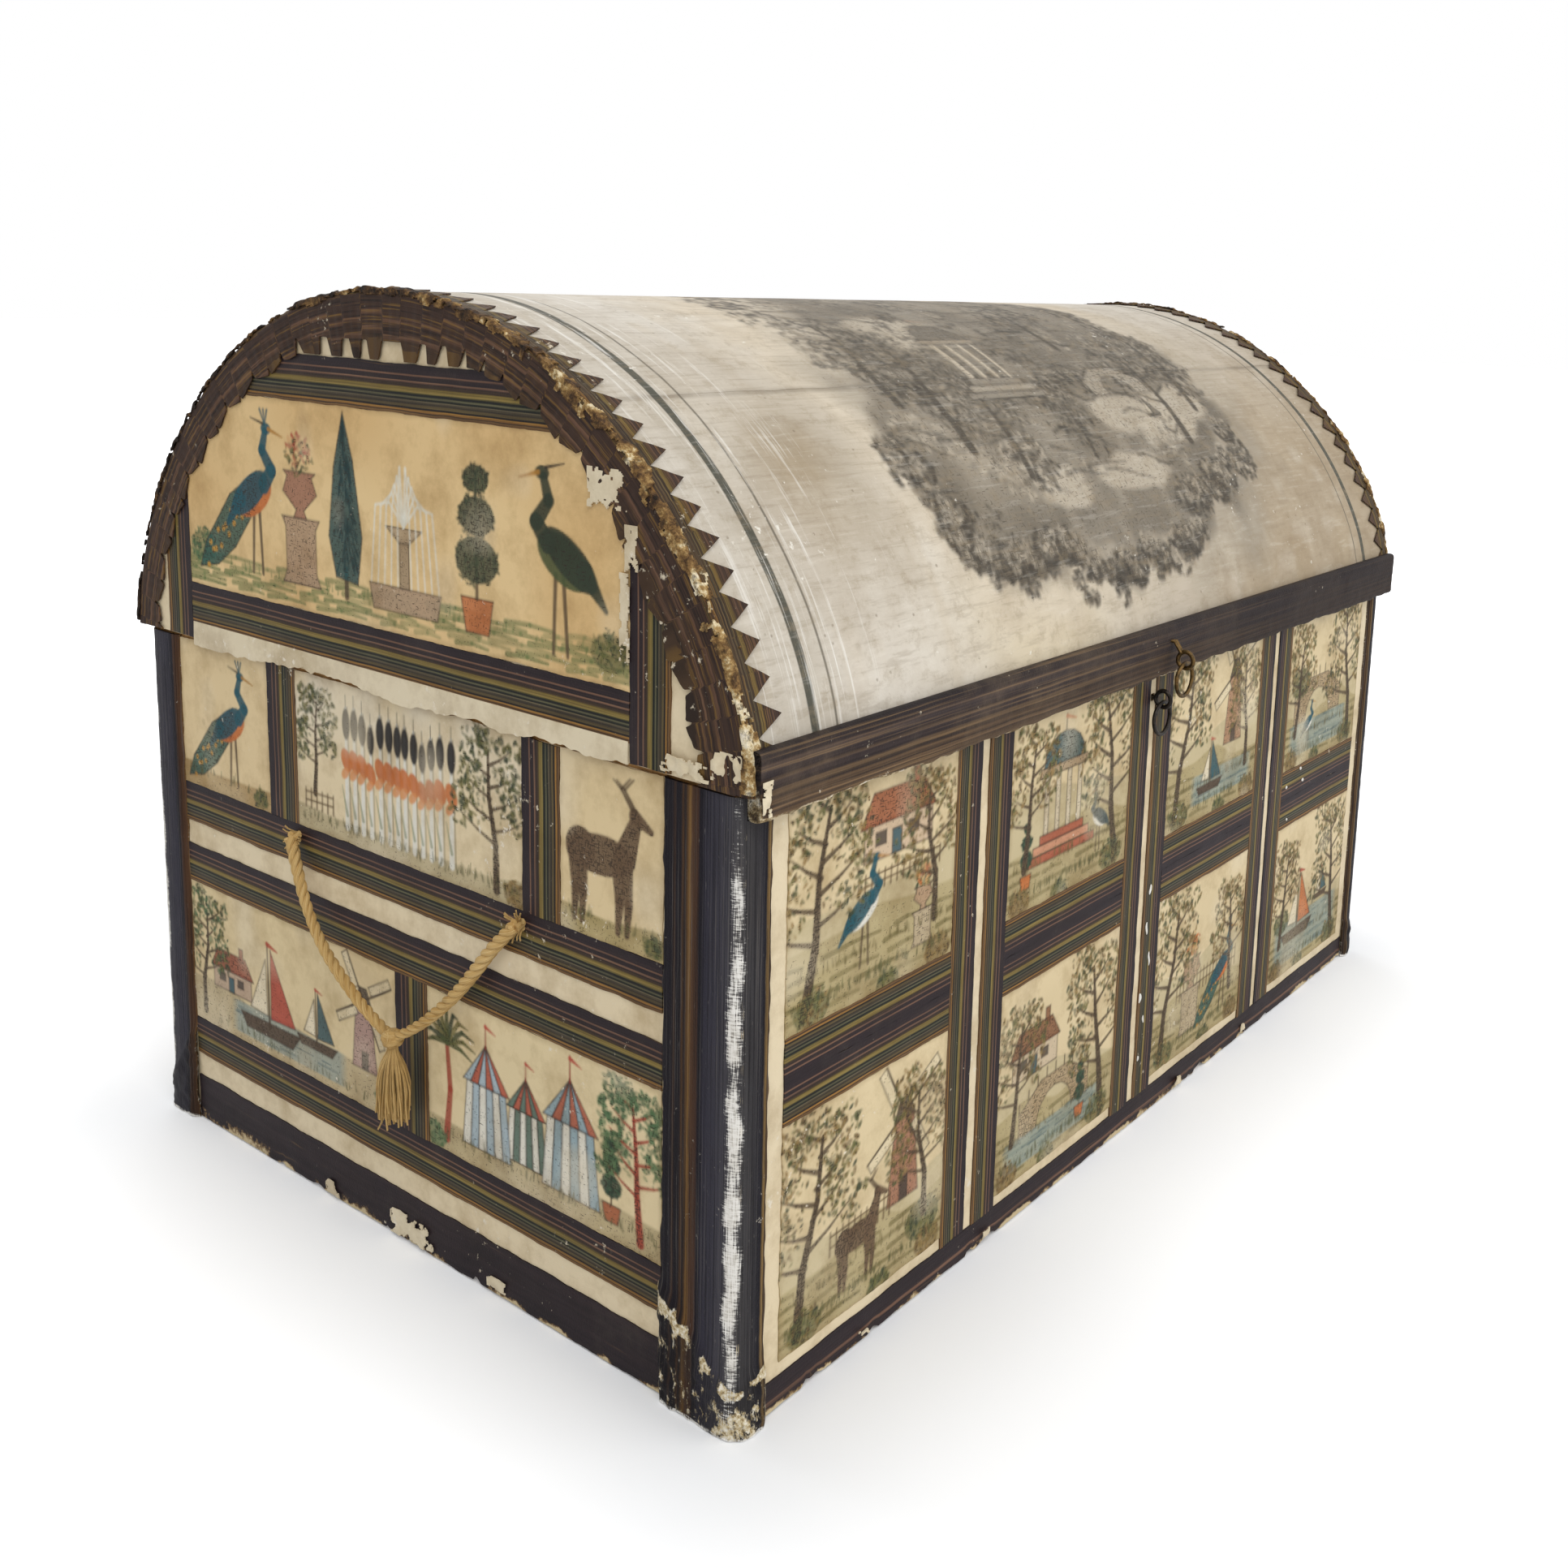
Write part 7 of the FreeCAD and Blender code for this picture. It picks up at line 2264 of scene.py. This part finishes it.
DRIP_DEEP = 0.3
DRIP_Y = -132.8
DRIPS = (
    (6.0, 86.0, 0.7, 1.8), (5.0, 72.0, 0.6, 2.4), (8.0, 60.0, 0.55, 2.7), (3.0, 47.0, 0.9, 1.8),
    (6.5, 38.0, 0.5, 1.5), (4.0, 24.0, 0.55, 1.0), (118.0, 96.0, 0.7, 0.7), (131.0, 101.0, 0.9, 0.7),
    (134.0, 95.5, 1.0, 0.7), (120.0, 82.0, 0.6, 0.6),
)
beads = []
for x, z, wide, long in DRIPS:
    deselect()
    place = (x * MM, DRIP_Y * MM, z * MM)
    bpy.ops.mesh.primitive_uv_sphere_add(segments=14, ring_count=9, radius=1.0, location=place)
    bead = bpy.context.active_object
    bpy.ops.transform.resize(value=(wide * MM, DRIP_DEEP * MM, long * MM))
    bpy.ops.object.transform_apply(location=True, rotation=True, scale=True)
    points = read_points(bead)
    points[:, 0] += 0.35 * np.sin(points[:, 2] * 1.1)
    write_points(bead, points)
    beads.append(bead)
drips = join(beads, "white_drips")
smooth(drips, 60.0)
finish_piece(drips, drip_material(), "box_body", "print_paper")
print("drips", len(DRIPS))

# %% [markdown]
# ## The solids that stay
# Boards, shell, rails, linings, hinges and nails are already the right shape. They only get a
# finish: pine with its grain, pasteboard, a veined lining paper and iron.

# %% Wood, board and lining
def pine_material():
    place = new_material("pine", 0.7, 0.25)
    rings = streaks(place, 12.0, 160.0, 5.0, 0.6)
    colour = ramp(rings, [(0.3, "6d4c2c"), (0.5, "96703f"), (0.7, "b08a55")])
    colour, tooth = age(place, colour, 0.3, 0.02, "4a3320", "c7b08a", 0.3)
    return dress(colour, plus(rings, scaled(tooth, 0.2)), 0.0003)


def lining_material():
    """Old cream paper with faint grey veins, as marbled paper has."""
    place = new_material("lining_paper", 0.75, 0.2)
    swirl = maths("ABSOLUTE", scaled(noise(place, 42.0, 4.0, 0.55), 1.0, -0.5))
    vein = scaled(flipped(above(swirl, 0.006, 0.03)), 0.4)
    base = mix(noise(place, 8.0, 4.0), paint("c9bb9c"), "d8ccb2")
    colour, tooth = age(place, mix(vein, base, "77807c"), 0.5, 0.12)
    return dress(colour, tooth, 0.0002)


PAPERED = ("box_front_paper", "box_back_paper", "box_left_paper", "box_right_paper", "lid_left_paper",
           "lid_right_paper")
WOODEN = ("front_board", "back_board", "left_end_board", "right_end_board", "base_board", "lid_left_end",
          "lid_right_end", "lid_front_rail", "lid_back_rail")
FINISHES = (
    (pine_material(), WOODEN),
    (ground_material("pasteboard", "a58b62", 0.5, 0.05), ("dome_shell",)),
    (ground_paper, PAPERED),
    (lining_material(), ("box_lining", "lid_lining")),
    (iron, [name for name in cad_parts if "nails" in name or "hinge" in name]),
)
for material, names in FINISHES:
    for name in names:
        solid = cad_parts[name]
        solid.data.materials.clear()
        solid.data.materials.append(material)
print("solids with a finish", sum(len(names) for material, names in FINISHES))

# %% [markdown]
# ## Floor and light
# The photograph has a white ground with a soft shadow. The floor is pale, and only for the camera
# a little light is added to it, more with the distance, so it turns white while the shadow stays.
# The glow is lower close to the box, which is a painted contact shadow, and lower still round the
# front-left corner, which is a painted shadow there.
# Broad lamps give the papers about the colour that is written for them.

# %% Floor, world and lamps
CONTACT_GLOW = 0.13
NEAR_GLOW = 0.33
CORNER_SHADE = 0.1
SHADED_CORNER = (-0.16, -0.165, 0.0)
FAR_GLOW = 1.0
NEAR_GAP = 0.07
FAR_GAPS = (0.12, 0.9)
SHADE_REACH = (0.02, 0.16)
FLOOR_SIZE = 14.0
FLOOR_UNDER = 0.0002
deselect()
bpy.ops.mesh.primitive_plane_add(size=FLOOR_SIZE, location=(0.0, 0.0, cad_box[0][2] - FLOOR_UNDER))
floor = bpy.context.active_object
floor.name = "studio_floor"
place = new_material("studio_floor", 0.9, 0.1)
Bench.shader["Base Color"].default_value = (0.89, 0.9, 0.915, 1.0)
Bench.shader["Emission Color"].default_value = (1.0, 1.0, 1.0, 1.0)
flat = axes(place)
beyond = []
for axis, half in (("X", HALF_LONG), ("Y", HALF_DEEP)):
    past = maths("SUBTRACT", maths("ABSOLUTE", flat[axis]), half * MM)
    beyond.append(maths("POWER", maths("MAXIMUM", past, 0.0), 2.0))
gap = maths("SQRT", plus(beyond[0], beyond[1]))
# Painted contact shadow: the glow is least where the floor meets the box and rises over NEAR_GAP.
glow = scaled(above(gap, 0.0, NEAR_GAP), NEAR_GLOW - CONTACT_GLOW, CONTACT_GLOW)
glow = plus(glow, scaled(above(gap, *FAR_GAPS), FAR_GLOW - NEAR_GLOW))
# Painted shadow: the glow is lowered by CORNER_SHADE round the front-left corner of the box.
from_corner = node("VectorMath", Vector=place)
from_corner.operation = "DISTANCE"
from_corner.inputs[1].default_value = SHADED_CORNER
clear = above(from_corner.outputs["Value"], *SHADE_REACH)
glow = plus(glow, scaled(clear, CORNER_SHADE, -CORNER_SHADE))
seen = node("LightPath").outputs["Is Camera Ray"]
set_socket(Bench.shader["Emission Strength"], times(seen, glow))
floor.data.materials.append(Bench.material)

SKY_LIGHT = 0.5
world = bpy.data.worlds.new("studio")
bpy.context.scene.world = world
world.use_nodes = True
Bench.tree = world.node_tree
sky = Bench.tree.nodes["Background"].inputs
sky["Color"].default_value = (1.0, 1.0, 1.0, 1.0)
rays = node("LightPath").outputs
bright = maths("MAXIMUM", rays["Is Glossy Ray"], rays["Is Transmission Ray"])
bright = maths("MAXIMUM", rays["Is Camera Ray"], bright)
set_socket(sky["Strength"], scaled(bright, 1.0 - SKY_LIGHT, SKY_LIGHT))
LAMP_AIM = Vector((0.0, 0.0, 0.14))
LAMPS = (
    ("key", (-0.9, -1.0, 1.6), 1.3, 16.5), ("fill", (0.6, -1.6, 0.9), 1.4, 10.5),
    ("back", (0.2, 1.2, 1.4), 1.5, 8.5),
)
for name, place, size, power in LAMPS:
    deselect()
    bpy.ops.object.light_add(type="AREA", location=place)
    lamp = bpy.context.active_object
    lamp.name = "lamp_" + name
    lamp.data.size = size
    lamp.data.energy = power
    lamp.rotation_euler = (LAMP_AIM - Vector(place)).to_track_quat("-Z", "Y").to_euler()
print("lamps", len(LAMPS))
